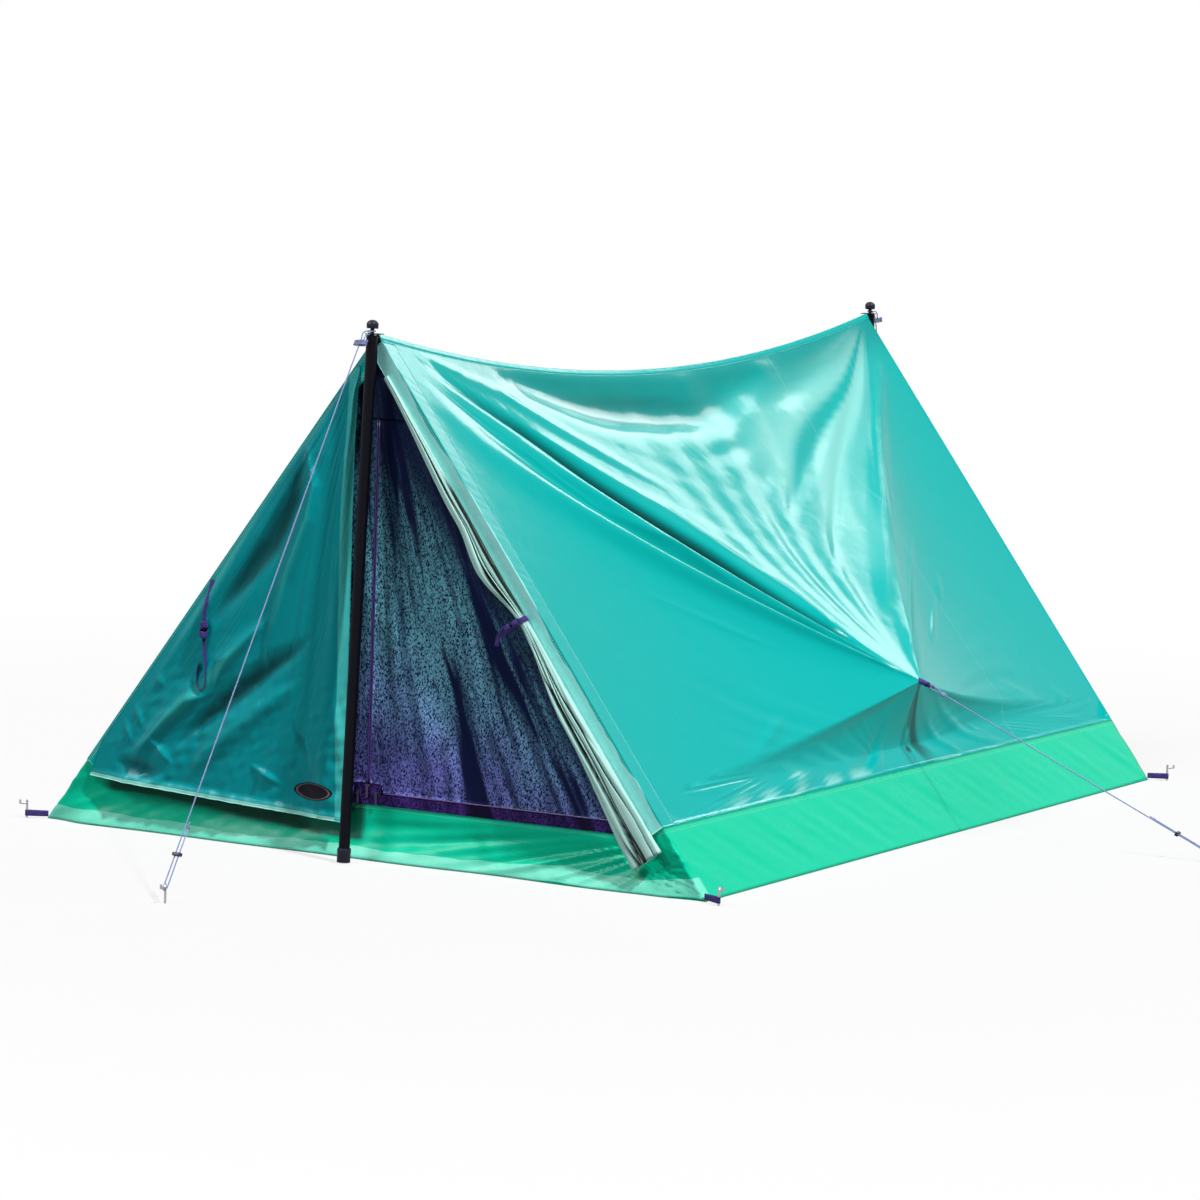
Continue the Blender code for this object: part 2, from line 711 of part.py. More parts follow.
def apex_gusset():
    """The mesh corner that stays fixed above the doors, slotted where the slider ends its run."""
    slot = ZIP_SLOT / 2
    slot_top = GUSSET_FOOT + SLIDER_LENGTH + FIT
    right = [
        (slot, slot_top), (slot, GUSSET_FOOT), (inner_x(GUSSET_FOOT, SEAM_GAP), GUSSET_FOOT),
        (inner_x(GUSSET_TOP, SEAM_GAP), GUSSET_TOP),
    ]
    left = [(-x, z) for x, z in reversed(right)]
    outline("apex_gusset", insect_mesh(), [right + left], THIN_CLOTH, gable_matrix(-GABLE_PLANE))


def mesh_door(side, name):
    """Half of the insect mesh, hung from the slope seam, with long slanting folds."""
    park_edge = PARK_HALF_WIDTH + NOTCH_CLEARANCE
    foot_width = inner_x(DOOR_FOOT, DOOR_SEAM_GAP) - DOOR_INNER_EDGE
    notch = (park_edge - DOOR_INNER_EDGE) / foot_width
    shares = [0.0, notch, notch + 0.006, 0.13, 0.22, 0.32, 0.43, 0.55, 0.68, 0.84, 1.0]
    rows = 12

    def place(i, j):
        foot = PARK_TOP + NOTCH_CLEARANCE if i < 2 else DOOR_FOOT
        if i == len(shares) - 1:
            foot = DOOR_FOOT + DOOR_CORNER_RISE
        up = j / rows
        z = foot + (DOOR_TOP - foot) * up
        edge = inner_x(z, DOOR_SEAM_GAP)
        x = DOOR_INNER_EDGE + shares[i] * (edge - DOOR_INNER_EDGE)
        wave = math.sin(math.tau * (3.2 * shares[i] + 1.1 * up))
        calm = min(1.0, 5.0 * (1.0 - shares[i]), 5.0 * up, 4.0 * (1.0 - up))
        fold = DOOR_FOLD * wave * calm if i > 2 else 0.0
        return Vector((side * x, -GABLE_PLANE + fold, z))

    door = sheet(name, insect_mesh(), len(shares) - 1, rows, place, THIN_CLOTH, offset=0.0, flip=side > 0)
    hang(door, door_hinge(side))


def zip_halves(side, word):
    """The two chains sewn to one mesh door: up its free edge and along its foot."""
    deep = ZIP_GAUGE / 2
    inner = side * ZIP_SLOT / 2
    outer = side * (ZIP_SLOT / 2 + ZIP_HALF_WIDTH)
    low = (min(inner, outer), -GABLE_PLANE - deep, PARK_TOP + 2 * NOTCH_CLEARANCE)
    high = (max(inner, outer), -GABLE_PLANE + deep, DOOR_TOP - 0.001)
    hang(bar(f"centre_zip_{word}", zip_coil(), low, high, 0.0006), door_hinge(side))
    near = side * (PARK_HALF_WIDTH + 3 * NOTCH_CLEARANCE)
    far = side * (SILL_WIDTH / 2 - SILL_ZIP_END)
    foot = ZIP_LINE + ZIP_SLOT / 2
    low = (min(near, far), -GABLE_PLANE - deep, foot)
    high = (max(near, far), -GABLE_PLANE + deep, foot + ZIP_HALF_WIDTH)
    hang(bar(f"sill_zip_{word}", zip_coil(), low, high, 0.0006), door_hinge(side))


def zip_slider(name, x, z, level):
    """A slider: two plates and the web between them, with a bail and a hanging pull tab."""
    half_x = (SLIDER_LENGTH if level else SLIDER_WIDTH) / 2
    half_z = (SLIDER_WIDTH if level else SLIDER_LENGTH) / 2
    web_x = 0.0025 if level else 0.0003
    web_z = 0.0003 if level else 0.0025
    inside = ZIP_GAUGE / 2 + SLIDER_PLAY
    outside = inside + SLIDER_PLATE
    y = -GABLE_PLANE
    boxes = [
        ((x - half_x, y - outside, z - half_z), (x + half_x, y - inside, z + half_z)),
        ((x - half_x, y + inside, z - half_z), (x + half_x, y + outside, z + half_z)),
        ((x - web_x, y - outside + 0.0004, z - web_z), (x + web_x, y + outside - 0.0004, z + web_z)),
        ((x - 0.0012, y - outside - 0.0020, z - 0.003), (x + 0.0012, y - outside + 0.0005, z + 0.003)),
        ((x - 0.0025, y - outside - 0.0026, z - PULL_TAB_LENGTH), (x + 0.0025, y - outside - 0.0014, z + 0.002)),
    ]
    hang(joined_boxes(name, stake_steel(), boxes), Vector((x, y, z)))


def rear_gable():
    """The rear wall with its window hole, the mesh in it and the flap that covers it inside."""
    half = SILL_WIDTH / 2
    corner = TUB_HEIGHT + 0.004
    right = [
        (half, SILL_FOOT), (inner_x(corner, SEAM_GAP), corner),
        (inner_x(GUSSET_TOP, SEAM_GAP), GUSSET_TOP),
    ]
    left = [(-x, z) for x, z in reversed(right)]
    hole = rounded_window(0.0)
    outline("rear_wall", taffeta(), [right + left, hole], THIN_CLOTH, gable_matrix(GABLE_PLANE))
    outline("rear_window_mesh", insect_mesh(), [rounded_window(SEAM_GAP)], MESH_GAUGE, gable_matrix(GABLE_PLANE))


def rounded_window(inset):
    """The window's outline, drawn in by an inset, with rounded corners."""
    foot = (WINDOW_FOOT_HALF - 0.03, WINDOW_FOOT + 0.03)
    top = (WINDOW_TOP_HALF - 0.03, WINDOW_TOP - 0.03)
    radius = 0.03 - inset
    points = []
    for centre, start in ((foot, -90), (top, 15)):
        for step in range(4):
            angle = math.radians(start + 25 * step if start == 15 else start + 33 * step)
            points.append((centre[0] + radius * math.cos(angle), centre[1] + radius * math.sin(angle)))
    return points + [(-x, z) for x, z in reversed(points)]


def rear_window_flap():
    """The cloth that hangs over the window inside, held along its top."""
    top = WINDOW_TOP + WINDOW_OVERLAP
    foot = WINDOW_FOOT - WINDOW_OVERLAP
    back = GABLE_PLANE - THIN_CLOTH / 2 - SEAM_GAP - THIN_CLOTH

    def place(i, j):
        up = j / 6
        z = foot + (top - foot) * up
        half = (WINDOW_FOOT_HALF + (WINDOW_TOP_HALF - WINDOW_FOOT_HALF) * up) + WINDOW_OVERLAP / 2
        across = i / 8
        fold = 0.006 * abs(math.sin(math.pi * 3 * across)) * (1.0 - up)
        return Vector((half * (2 * across - 1), back - fold, z))

    flap = sheet("rear_window_flap", taffeta(), 8, 6, place, THIN_CLOTH, offset=-1.0, flip=False)
    hang(flap, Vector((0.0, back, top)))


# Storm flaps


def left_storm_flap():
    """The storm flap that hangs shut, sewn to the left slope seam."""
    across = 10
    rows = 12

    def edges(up):
        free = Vector((FLAP_FREE_EDGE, 0.0, FLAP_HEM_AT_DOOR + (FLAP_TOP - FLAP_HEM_AT_DOOR) * up))
        foot = FLAP_HEM_AT_WALL
        z = foot + (FLAP_TOP - foot) * up
        tuck = 0.005 + 0.026 * max(0.0, 1.0 - up * rows / 1.0)
        return free, Vector((slope_x(z) - tuck, 0.0, z))

    def place(i, j):
        up = j / rows
        share = i / across
        free, seam = edges(up)
        point = free.lerp(seam, share)
        wave = 0.5 + 0.5 * math.sin(math.tau * (2.6 * share - 1.4 * up) + 0.6)
        calm = min(1.0, 3.0 * (1.0 - share)) * min(1.0, 4.0 * share + 0.15) * min(1.0, 3.0 * (1.0 - up))
        return Vector((-point.x, -FLAP_BACK - FLAP_FOLD * wave * calm, point.z))

    flap = sheet("left_storm_flap", taffeta(), across, rows, place, THIN_CLOTH, offset=1.0, flip=True)
    hang(flap, flap_hinge())


def roll_section(distance):
    """Half width, half depth and stand-off of the tied-back flap, at a distance down the slope."""
    past = distance - TIE_DISTANCE
    start = ROLL_START - TIE_DISTANCE
    end = ROLL_END - TIE_DISTANCE
    half_width = blend([(start, 0.006), (-0.23, 0.015), (-0.13, 0.021), (0.0, 0.009), (0.22, 0.022), (end, 0.036)], past)
    half_depth = blend([(start, 0.004), (-0.23, 0.009), (-0.13, 0.013), (0.0, 0.009), (0.22, 0.017), (end, 0.012)], past)
    stand_off = blend([(start, 0.0), (-0.21, 0.0), (0.0, 0.003), (0.25, 0.0), (end, 0.0)], past)
    return half_width, half_depth, stand_off


def roll_centre(distance):
    """Middle of the tied-back flap."""
    half_width, half_depth, stand_off = roll_section(distance)
    return down_slope(1, distance, ROLL_INSET + half_width, -FLAP_BACK - stand_off - half_depth)


def right_storm_flap():
    """The other storm flap, gathered back along the right slope and tied."""
    inward = Vector((-COS_SLOPE, 0.0, -SIN_SLOPE))
    ahead = Vector((0.0, -1.0, 0.0))
    count = 12
    upper = TIE_DISTANCE - TIE_SEAT - ROLL_START
    lower = ROLL_END - TIE_DISTANCE - TIE_SEAT
    above = [ROLL_START + upper * (1.0 - (1.0 - k / 12) ** 1.3) for k in range(13)]
    below = [ROLL_END - lower * (1.0 - (k / 10) ** 1.3) for k in range(11)]
    rings = []
    for distance in above + below:
        half_width, half_depth, _ = roll_section(distance)
        ring = []
        for k in range(count):
            angle = math.tau * k / count
            lobe = 1.0 - 0.16 * max(0.0, math.sin(angle)) * (1.0 - math.cos(3 * angle + 5.0 * distance))
            ring.append(
                roll_centre(distance)
                + inward * (half_width * lobe * math.cos(angle))
                + ahead * (half_depth * lobe * math.sin(angle))
            )
        rings.append(ring)
    lofted("right_storm_flap", taffeta(), rings)


def right_flap_tie():
    """The tape tied round the gathered flap, its ends left hanging."""
    half_width, half_depth, _ = roll_section(TIE_DISTANCE)
    inward = Vector((-COS_SLOPE, 0.0, -SIN_SLOPE))
    ahead = Vector((0.0, -1.0, 0.0))
    middle = roll_centre(TIE_DISTANCE)
    clear = 2 * SEAM_GAP + TAPE_TIE_GAUGE / 2
    path = [
        middle + inward * 0.052 + ahead * (half_depth + 0.001),
        middle + inward * 0.040 + ahead * (half_depth + 0.004),
        middle + inward * 0.026 + ahead * (half_depth + 0.005),
        middle + inward * 0.012 + ahead * (half_depth + 0.0045),
    ]
    for step in range(13):
        angle = math.radians(100 + 25 * step)
        path.append(
            middle
            + inward * ((half_width + clear) * math.cos(angle))
            + ahead * ((half_depth + clear) * math.sin(angle))
        )
    ribbon("right_flap_tie", webbing(), path, (SIN_SLOPE, 0.0, -COS_SLOPE), TIE_WIDTH, TAPE_TIE_GAUGE)


def left_flap_tie():
    """The loose tape of the shut flap, hanging in an open loop at its end."""
    front = -FLAP_BACK - THIN_CLOTH - SEAM_GAP - 0.004
    ahead = front - FLAP_FOLD
    path = [
        Vector((-0.3640, front, 0.5200)), Vector((-0.3670, front - 0.004, 0.4950)),
        Vector((-0.3715, ahead, 0.4600)), Vector((-0.3730, ahead, 0.4200)),
        Vector((-0.3710, ahead, 0.3800)), Vector((-0.3670, ahead, 0.3500)),
    ]
    for step in range(9):
        angle = math.radians(-22.5 * step)
        path.append(Vector((-0.3770 + 0.0105 * math.cos(angle), ahead, 0.3160 + 0.0150 * math.sin(angle))))
    path.append(Vector((-0.3880, ahead, 0.3400)))
    ribbon("left_flap_tie", webbing(), path, (0.0, 1.0, 0.0), 0.007, TAPE_TIE_GAUGE)


# Poles


def pole(end, word):
    """A three-section pole with its foot, tip and cap, leaning a little towards the tent."""
    foot_y = end * (HALF_LENGTH + POLE_FOOT_AHEAD)
    top_y = end * (HALF_LENGTH + POLE_TOP_AHEAD)
    cup_radius = POLE_RADIUS + FIT + FOOT_CUP_WALL
    lean = math.atan2(POLE_FOOT_AHEAD - POLE_TOP_AHEAD, TAB_FOOT)
    lift = cup_radius * math.sin(lean)
    length = (TAB_FOOT - lift) / math.cos(lean) - FIT - POLE_RADIUS * math.tan(lean)
    stand = bpy.data.objects.new(f"{word}_pole_stand", None)
    collection("ridge_tent").objects.link(stand)
    stand.location = (0.0, foot_y, lift)
    stand.rotation_euler = (math.atan2(foot_y - top_y, TAB_FOOT), 0.0, 0.0)
    pieces = [foot_cup(word, cup_radius)]
    bottom = FOOT_CUP_FLOOR + FIT
    shoulder = 0.002
    section = (length - shoulder - bottom) / len(POLE_SECTIONS)
    for number, place in enumerate(POLE_SECTIONS):
        tube_piece = pole_section(f"{word}_pole_{place}", section - FIT, number > 0)
        tube_piece.location.z = bottom + number * section
        pieces.append(tube_piece)
    tip = pole_tip(word, shoulder)
    tip.location.z = length
    pieces.append(tip)
    cap = tip_cap(word)
    cap.location.z = length + PIN_LENGTH - TIP_CAP_BORE + FIT
    pieces.append(cap)
    for piece in pieces:
        piece.parent = stand


def foot_cup(word, radius):
    """The soft cup that the pole stands in."""
    bore = POLE_RADIUS + FIT
    profile = [
        (bore, FOOT_CUP_HEIGHT), (radius - 0.0005, FOOT_CUP_HEIGHT), (radius, FOOT_CUP_HEIGHT - 0.002),
        (radius, 0.0015), (radius - 0.0015, 0.0), (0.0, 0.0),
    ]
    profile += [(0.0, FOOT_CUP_FLOOR), (bore, FOOT_CUP_FLOOR)]
    return turned(f"{word}_pole_foot", black_plastic(), profile, closed=True)


def pole_section(name, length, plugged):
    """A tube section. All but the lowest have a drawn-in spigot that plugs into the one below."""
    bore = POLE_RADIUS - POLE_WALL
    profile = [(POLE_RADIUS, length), (POLE_RADIUS, 0.0)]
    if plugged:
        spigot = bore - FIT
        profile += [(spigot, 0.0), (spigot, -SPIGOT_LENGTH), (spigot - POLE_WALL, -SPIGOT_LENGTH)]
        profile += [(spigot - POLE_WALL, POLE_WALL), (bore, POLE_WALL + 0.0005)]
    else:
        profile += [(bore, 0.0)]
    profile += [(bore, length)]
    return turned(name, pole_steel(), profile, closed=True)


def pole_tip(word, shoulder):
    """The plug in the top of the pole, with the pin that goes through the tent's tab."""
    plug = POLE_RADIUS - POLE_WALL - FIT
    profile = [
        (0.0, PIN_LENGTH), (PIN_RADIUS - 0.001, PIN_LENGTH), (PIN_RADIUS, PIN_LENGTH - 0.001),
        (PIN_RADIUS, 0.0), (POLE_RADIUS, 0.0), (POLE_RADIUS, -shoulder + FIT), (plug, -shoulder + FIT),
        (plug, -0.030), (0.0, -0.030),
    ]
    return turned(f"{word}_pole_tip", pole_steel(), profile)


def tip_cap(word):
    """The domed cap pushed on the pin."""
    bore = PIN_RADIUS + FIT
    dome = []
    straight = TIP_CAP_HEIGHT - 0.009
    for step in range(5):
        angle = math.radians(90 - 22.5 * step)
        dome.append((TIP_CAP_RADIUS * math.cos(angle), straight + 0.009 * math.sin(angle)))
    dome[0] = (0.0, TIP_CAP_HEIGHT)
    profile = dome + [(TIP_CAP_RADIUS - 0.0008, 0.0), (bore, 0.0), (bore, TIP_CAP_BORE), (0.0, TIP_CAP_BORE)]
    return turned(f"{word}_pole_cap", black_plastic(), profile)


def apex_tab(end, word):
    """The stiff tab at the ridge's end, with the hole that the pole's pin goes through."""
    near = HALF_LENGTH + SEAM_GAP
    hole_at = HALF_LENGTH + POLE_TOP_AHEAD
    far = hole_at + TAB_RIM
    half = TAB_HALF_WIDTH
    border = [(half, near), (half, hole_at)]
    for step in range(1, 8):
        angle = math.radians(22.5 * step)
        border.append((half * math.cos(angle), hole_at + (far - hole_at) * math.sin(angle)))
    border += [(-half, hole_at), (-half, near)]
    radius = PIN_RADIUS + 2 * FIT
    hole = [
        (radius * math.cos(math.tau * k / 16), hole_at + radius * math.sin(math.tau * k / 16)) for k in range(16)
    ]
    turn = Matrix.Identity(4) if end > 0 else Matrix.Rotation(math.pi, 4, "Z")
    middle = Matrix.Translation((0.0, 0.0, TAB_FOOT + TAB_GAUGE / 2))
    outline(f"{word}_apex_tab", webbing(), [border, hole], TAB_GAUGE, middle @ turn)


# Webbing loops, guylines, runners and stakes


def hairpin(start, away, normal, length, radius, leg_gap):
    """A narrow loop: out along away, round an eye of the given radius, and back."""
    away = Vector(away).normalized()
    normal = Vector(normal).normalized()
    eye = start + away * length
    path = [start + normal * leg_gap, start + away * (length * 0.5) + normal * (leg_gap + radius) * 0.5]
    for step in range(9):
        angle = math.radians(90 - 22.5 * step)
        path.append(eye + normal * (radius * math.sin(angle)) + away * (radius * math.cos(angle)))
    path += [start + away * (length * 0.5) - normal * (leg_gap + radius) * 0.5, start - normal * leg_gap]
    return path


def pull_direction(side, peg):
    """Which way a side guyline runs from its pull-out."""
    tip = pull_tip(side)
    return (Vector((peg[0], peg[1], PEG_LINE_HEIGHT)) - tip).normalized()


def pull_loop(side, word, peg):
    """The webbing loop at a side wall's pull-out."""
    away = pull_direction(side, peg)
    normal = away.cross(Vector((0.0, 1.0, 0.0)))
    start = pull_tip(side) + away * 2 * SEAM_GAP
    path = hairpin(start, away, normal, PULL_LOOP_LENGTH, PULL_EYE_RADIUS, WEBBING_GAUGE)
    ribbon(f"{word}_pull_out", webbing(), path, (0.0, 1.0, 0.0), WEBBING_WIDTH, WEBBING_GAUGE)


def stake(name, place, away):
    """The part of a wire stake that stands above the ground: its shank and its hook."""
    away = Vector((away[0], away[1], 0.0)).normalized()
    base = Vector((place[0], place[1], 0.0))
    up = Vector((0.0, 0.0, 1.0))
    points = [base, base + up * (STAKE_RISE / 2), base + up * STAKE_RISE]
    for step in range(1, 6):
        angle = math.radians(36 * step)
        reach = STAKE_HOOK_RADIUS * (1.0 - math.cos(angle))
        points.append(base + away * reach + up * (STAKE_RISE + STAKE_HOOK_RADIUS * math.sin(angle)))
    points.append(base + away * (2 * STAKE_HOOK_RADIUS) + up * (STAKE_RISE - 0.008))
    tube(name, stake_steel(), points, STAKE_RADIUS)


def corner_peg(side, end, word):
    """A stake at a floor corner and the webbing loop that holds the corner to it."""
    low = 0.004
    edge = HALF_LENGTH - SILL_SET_BACK * low / SILL_HEIGHT
    corner = Vector((side * slope_x(low), end * edge, low + WEBBING_WIDTH / 2))
    away = Vector((side * 0.9, end * 0.45, 0.0)).normalized()
    eye = corner + away * CORNER_STAKE_REACH
    stake(f"{word}_corner_stake", (eye.x, eye.y), away)
    radius = STAKE_RADIUS + SEAM_GAP + WEBBING_GAUGE / 2
    start = corner + away * 2 * SEAM_GAP
    normal = Vector((-away.y, away.x, 0.0))
    path = hairpin(start, away, normal, CORNER_STAKE_REACH - 2 * SEAM_GAP, radius, WEBBING_GAUGE)
    ribbon(f"{word}_corner_loop", webbing(), path, (0.0, 0.0, 1.0), WEBBING_WIDTH, WEBBING_GAUGE)


def runner(name, centre, along, across):
    """A line runner: a small plate with a hole for each strand of the line."""
    along = Vector(along).normalized()
    across = Vector(across).normalized()
    upright = along.cross(across)
    turn = Matrix((across, upright, along)).transposed().to_4x4()
    end = RUNNER_WIDTH / 2
    middle = RUNNER_LENGTH / 2 - end
    border = []
    for start, offset in ((-90, middle), (90, -middle)):
        for step in range(7):
            angle = math.radians(start + 30 * step)
            border.append((offset + end * math.cos(angle), end * math.sin(angle)))
    radius = CORD_RADIUS + RUNNER_HOLE_PLAY
    holes = []
    for offset in (-STRAND_SPACING / 2, STRAND_SPACING / 2):
        hole = []
        for k in range(10):
            angle = math.tau * k / 10
            hole.append((offset + radius * math.cos(angle), radius * math.sin(angle)))
        holes.append(hole)
    outline(name, black_plastic(), [border, *holes], RUNNER_DEPTH, Matrix.Translation(centre) @ turn)


def guyline(word, route, peg, tail_share):
    """A guyline with its stake and its runner, which rides on the two strands near the stake."""
    tube(f"{word}_guyline", guy_cord(), smooth_route(route, CORD_READINGS), CORD_RADIUS)
    low = Vector(route[-4])
    high = Vector(route[-1])
    partner = Vector(route[-8])
    across = (low - partner).normalized()
    along = (high - low).normalized()
    seat = (low + partner) / 2 + (high - low) * tail_share
    runner(f"{word}_runner", seat, along, across)
    stake(f"{word}_guy_stake", peg, Vector((-along.x, -along.y)))


def main():
    clear_scene()
    for side, word in ((1, "right"), (-1, "left")):
        roof_panel(side, f"roof_{word}")
        front_hem(side, f"front_hem_{word}")
        mesh_door(side, f"{word}_mesh_door")
        zip_halves(side, word)
    ridge_tape()
    floor_tub()
    sill_band()
    apex_gusset()
    park_z = PARK_TOP - SLIDER_LENGTH / 2 - 0.001
    park_x = SLIDER_WIDTH / 2 + 0.0105 + SLIDER_LENGTH / 2
    zip_slider("centre_zip_slider", 0.0, park_z, level=False)
    zip_slider("right_sill_slider", park_x, ZIP_LINE, level=True)
    zip_slider("left_sill_slider", -park_x, ZIP_LINE, level=True)
    rear_gable()
    rear_window_flap()
    left_storm_flap()
    left_flap_tie()
    right_storm_flap()
    right_flap_tie()
    for end, word in ((-1, "front"), (1, "rear")):
        pole(end, word)
        apex_tab(end, word)
        for side, hand in ((1, "right"), (-1, "left")):
            corner_peg(side, end, f"{word}_{hand}")
    pull_loop(1, "right", RIGHT_PEG)
    pull_loop(-1, "left", LEFT_PEG)
    guyline("front", FRONT_GUY_ROUTE, FRONT_PEG, 0.55)
    guyline("rear", REAR_GUY_ROUTE, REAR_PEG, 0.55)
    guyline("right", RIGHT_GUY_ROUTE, RIGHT_PEG, 0.55)
    guyline("left", LEFT_GUY_ROUTE, LEFT_PEG, 0.55)


main()
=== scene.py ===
"""Looks of a small ridge tent, pitched: cloth walls, tub floor, mesh doors, poles, guylines and stakes.

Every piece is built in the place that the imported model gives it, in metres: X runs across the tent,
Y along it with the doorway at -Y, and Z up from the ground.
"""

import math

import bmesh
import bpy
import numpy as np
from mathutils import Matrix, Vector


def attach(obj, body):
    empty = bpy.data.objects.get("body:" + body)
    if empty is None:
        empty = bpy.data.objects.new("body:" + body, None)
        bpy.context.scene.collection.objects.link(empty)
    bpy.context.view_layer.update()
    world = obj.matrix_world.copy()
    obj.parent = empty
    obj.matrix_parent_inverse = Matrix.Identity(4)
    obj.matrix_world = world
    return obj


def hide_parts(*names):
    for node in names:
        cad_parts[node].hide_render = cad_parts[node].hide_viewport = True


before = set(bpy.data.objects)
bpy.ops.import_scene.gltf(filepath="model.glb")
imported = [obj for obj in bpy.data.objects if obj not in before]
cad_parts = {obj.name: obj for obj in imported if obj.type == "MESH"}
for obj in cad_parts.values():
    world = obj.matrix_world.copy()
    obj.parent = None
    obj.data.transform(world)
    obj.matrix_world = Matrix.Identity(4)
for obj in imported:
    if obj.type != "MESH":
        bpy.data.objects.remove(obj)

bl_info = {
    "name": "Ridge Tent",
    "version": (1, 0, 0),
    "blender": (4, 5, 0),
    "location": "3D View > Sidebar > Ridge Tent",
    "description": "Builds a pitched ridge tent with its poles, guylines and stakes",
    "category": "Add Mesh",
}

# Sizes of the tent, as its solids have them
BASE_LENGTH = 2.13
BASE_WIDTH = 1.52
APEX_HEIGHT = 1.022
RIDGE_SAG = 0.10
TUB_HEIGHT = 0.13
SILL_HEIGHT = 0.105
SILL_SET_BACK = 0.012
SILL_CORNER = 0.0633
SEAM_GAP = 0.0004
DOOR_SEAM_GAP = 0.0009
COVER_LIFT = 0.0008
CLOTH = 0.002
THIN_CLOTH = 0.0015
PULL_ABOVE_TUB = 0.136
PULL_BEHIND_MIDDLE = 0.03
PULL_STANDOFF = 0.12
HEM_BAND = 0.05
PLEAT_VALLEY = 0.016
PLEAT_CREST = 0.014
PLEAT_HALF_WIDTH = 0.11
TAPE_HALF_WIDTH = 0.012
BINDING_WIDTH = 0.045
BINDING_GAUGE = 0.0012
LIP_WIDTH = 0.032
CORD_RADIUS = 0.00125
CORNER_REACH = 0.045
STAKE_EYE = 0.022

# Zips and doors: half the slot between a zip's halves, a half's width, its middle, and the sliders' room
ZIP_SLOT = 0.0006
ZIP_STRIP = 0.003
ZIP_MIDDLE = ZIP_SLOT + 0.0016
PARK_HALF = 0.029
PARK_CLEAR = 0.0015
TOOTH_PITCH = 0.0017

# Shut storm flap: its free edge, its foot there, how much higher the foot is at the seam, and its top
FLAP_EDGE = 0.036
FLAP_FOOT = 0.068
FLAP_SLANT = 0.032
FLAP_TOP = APEX_HEIGHT - 0.062

# Rear window: its foot and top, half its width at each, the radius of its corners, and its middle as (x, z)
WINDOW_FOOT = 0.300
WINDOW_TOP = 0.660
WINDOW_FOOT_HALF = 0.240
WINDOW_TOP_HALF = 0.130
WINDOW_CORNER = 0.03
WINDOW_MIDDLE = np.array([0.0, 0.46])

# Poles: how far past the ridge's end their feet and the tabs' holes lie, and how their sections fit
POLE_FOOT_OUT = 0.070
HOLE_OUT = 0.020
POLE_RADIUS = 0.011
POLE_FIT = 0.0003
FOOT_WALL = 0.002
TIP_COLLAR = 0.002
FOOT_SEAT = 0.0063
PIN_LENGTH = 0.022
CAP_BORE = 0.010

# Places and lengths that follow from these
HALF_LENGTH = BASE_LENGTH / 2
HALF_WIDTH = BASE_WIDTH / 2
SLOPE_LENGTH = math.hypot(HALF_WIDTH, APEX_HEIGHT)
COS_SLOPE = APEX_HEIGHT / SLOPE_LENGTH
SIN_SLOPE = HALF_WIDTH / SLOPE_LENGTH
FOOT_X = HALF_WIDTH * (1.0 - TUB_HEIGHT / APEX_HEIGHT)
SILL_WIDTH = 2 * (FOOT_X - SILL_CORNER)
GABLE_PLANE = HALF_LENGTH - SILL_SET_BACK - CLOTH / 2
FLAP_BACK = HALF_LENGTH + SEAM_GAP + BINDING_GAUGE + SEAM_GAP
SILL_FOOT = SILL_HEIGHT + SEAM_GAP
ZIP_LINE = SILL_FOOT + 0.0216
DOOR_FOOT = ZIP_LINE + ZIP_SLOT + ZIP_STRIP + SEAM_GAP
DOOR_INNER_EDGE = ZIP_SLOT + ZIP_STRIP + SEAM_GAP
PARK_TOP = SILL_FOOT + 0.0405
GUSSET_FOOT = APEX_HEIGHT - 0.1625
GUSSET_TOP = APEX_HEIGHT - 0.022
DOOR_TOP = GUSSET_FOOT - 0.0015
TAB_FOOT = APEX_HEIGHT + 0.0005
TIE_DISTANCE = (APEX_HEIGHT - 0.515) / COS_SLOPE
ROLL_START = 0.080
ROLL_END = SLOPE_LENGTH - 0.1236
ROLL_INSET = 0.022
DOOR_FOLD = 0.007
FLAP_FOLD = 0.013

# Ways from the right slope into the doorway's opening, out of the doorway, and up
INWARD = np.array([-COS_SLOPE, 0.0, -SIN_SLOPE])
AHEAD = np.array([0.0, -1.0, 0.0])
UP = np.array([0.0, 0.0, 1.0])

# The two sides and the two ends: the way each lies from the middle, and its word
SIDES = ((1, "right"), (-1, "left"))
ENDS = ((-1, "front"), (1, "rear"))

# Where the random draws of each side wall's small folds start
WALL_SEEDS = {"right": 20, "left": 50}


# Where the guylines run: from the knot, round what they hold, down to the stake and back to the tail


def there_and_back(half, turned):
    """Points on one side of a line, and then their mirror images in reverse; the last one lies on it."""
    return half + [turned(*point) for point in reversed(half[:-1])]


def over_middle(x, y, z):
    """A point on the other side of the ridge's line."""
    return -x, y, z


def over_pull(x, y, z):
    """A point on the other side of the pull-outs' line."""
    return x, 2 * PULL_BEHIND_MIDDLE - y, z


POLE_LOOP = [(0.0020, -1.1270, 1.0013)] + there_and_back([
    (0.0028, -1.1190, 1.0140), (0.0048, -1.1120, 1.0240), (0.0060, -1.1010, 1.0286), (0.0062, -1.0900, 1.0290),
    (0.0060, -1.0845, 1.0290), (0.0043, -1.0806, 1.0290), (0.0000, -1.0788, 1.0290),
], over_middle)

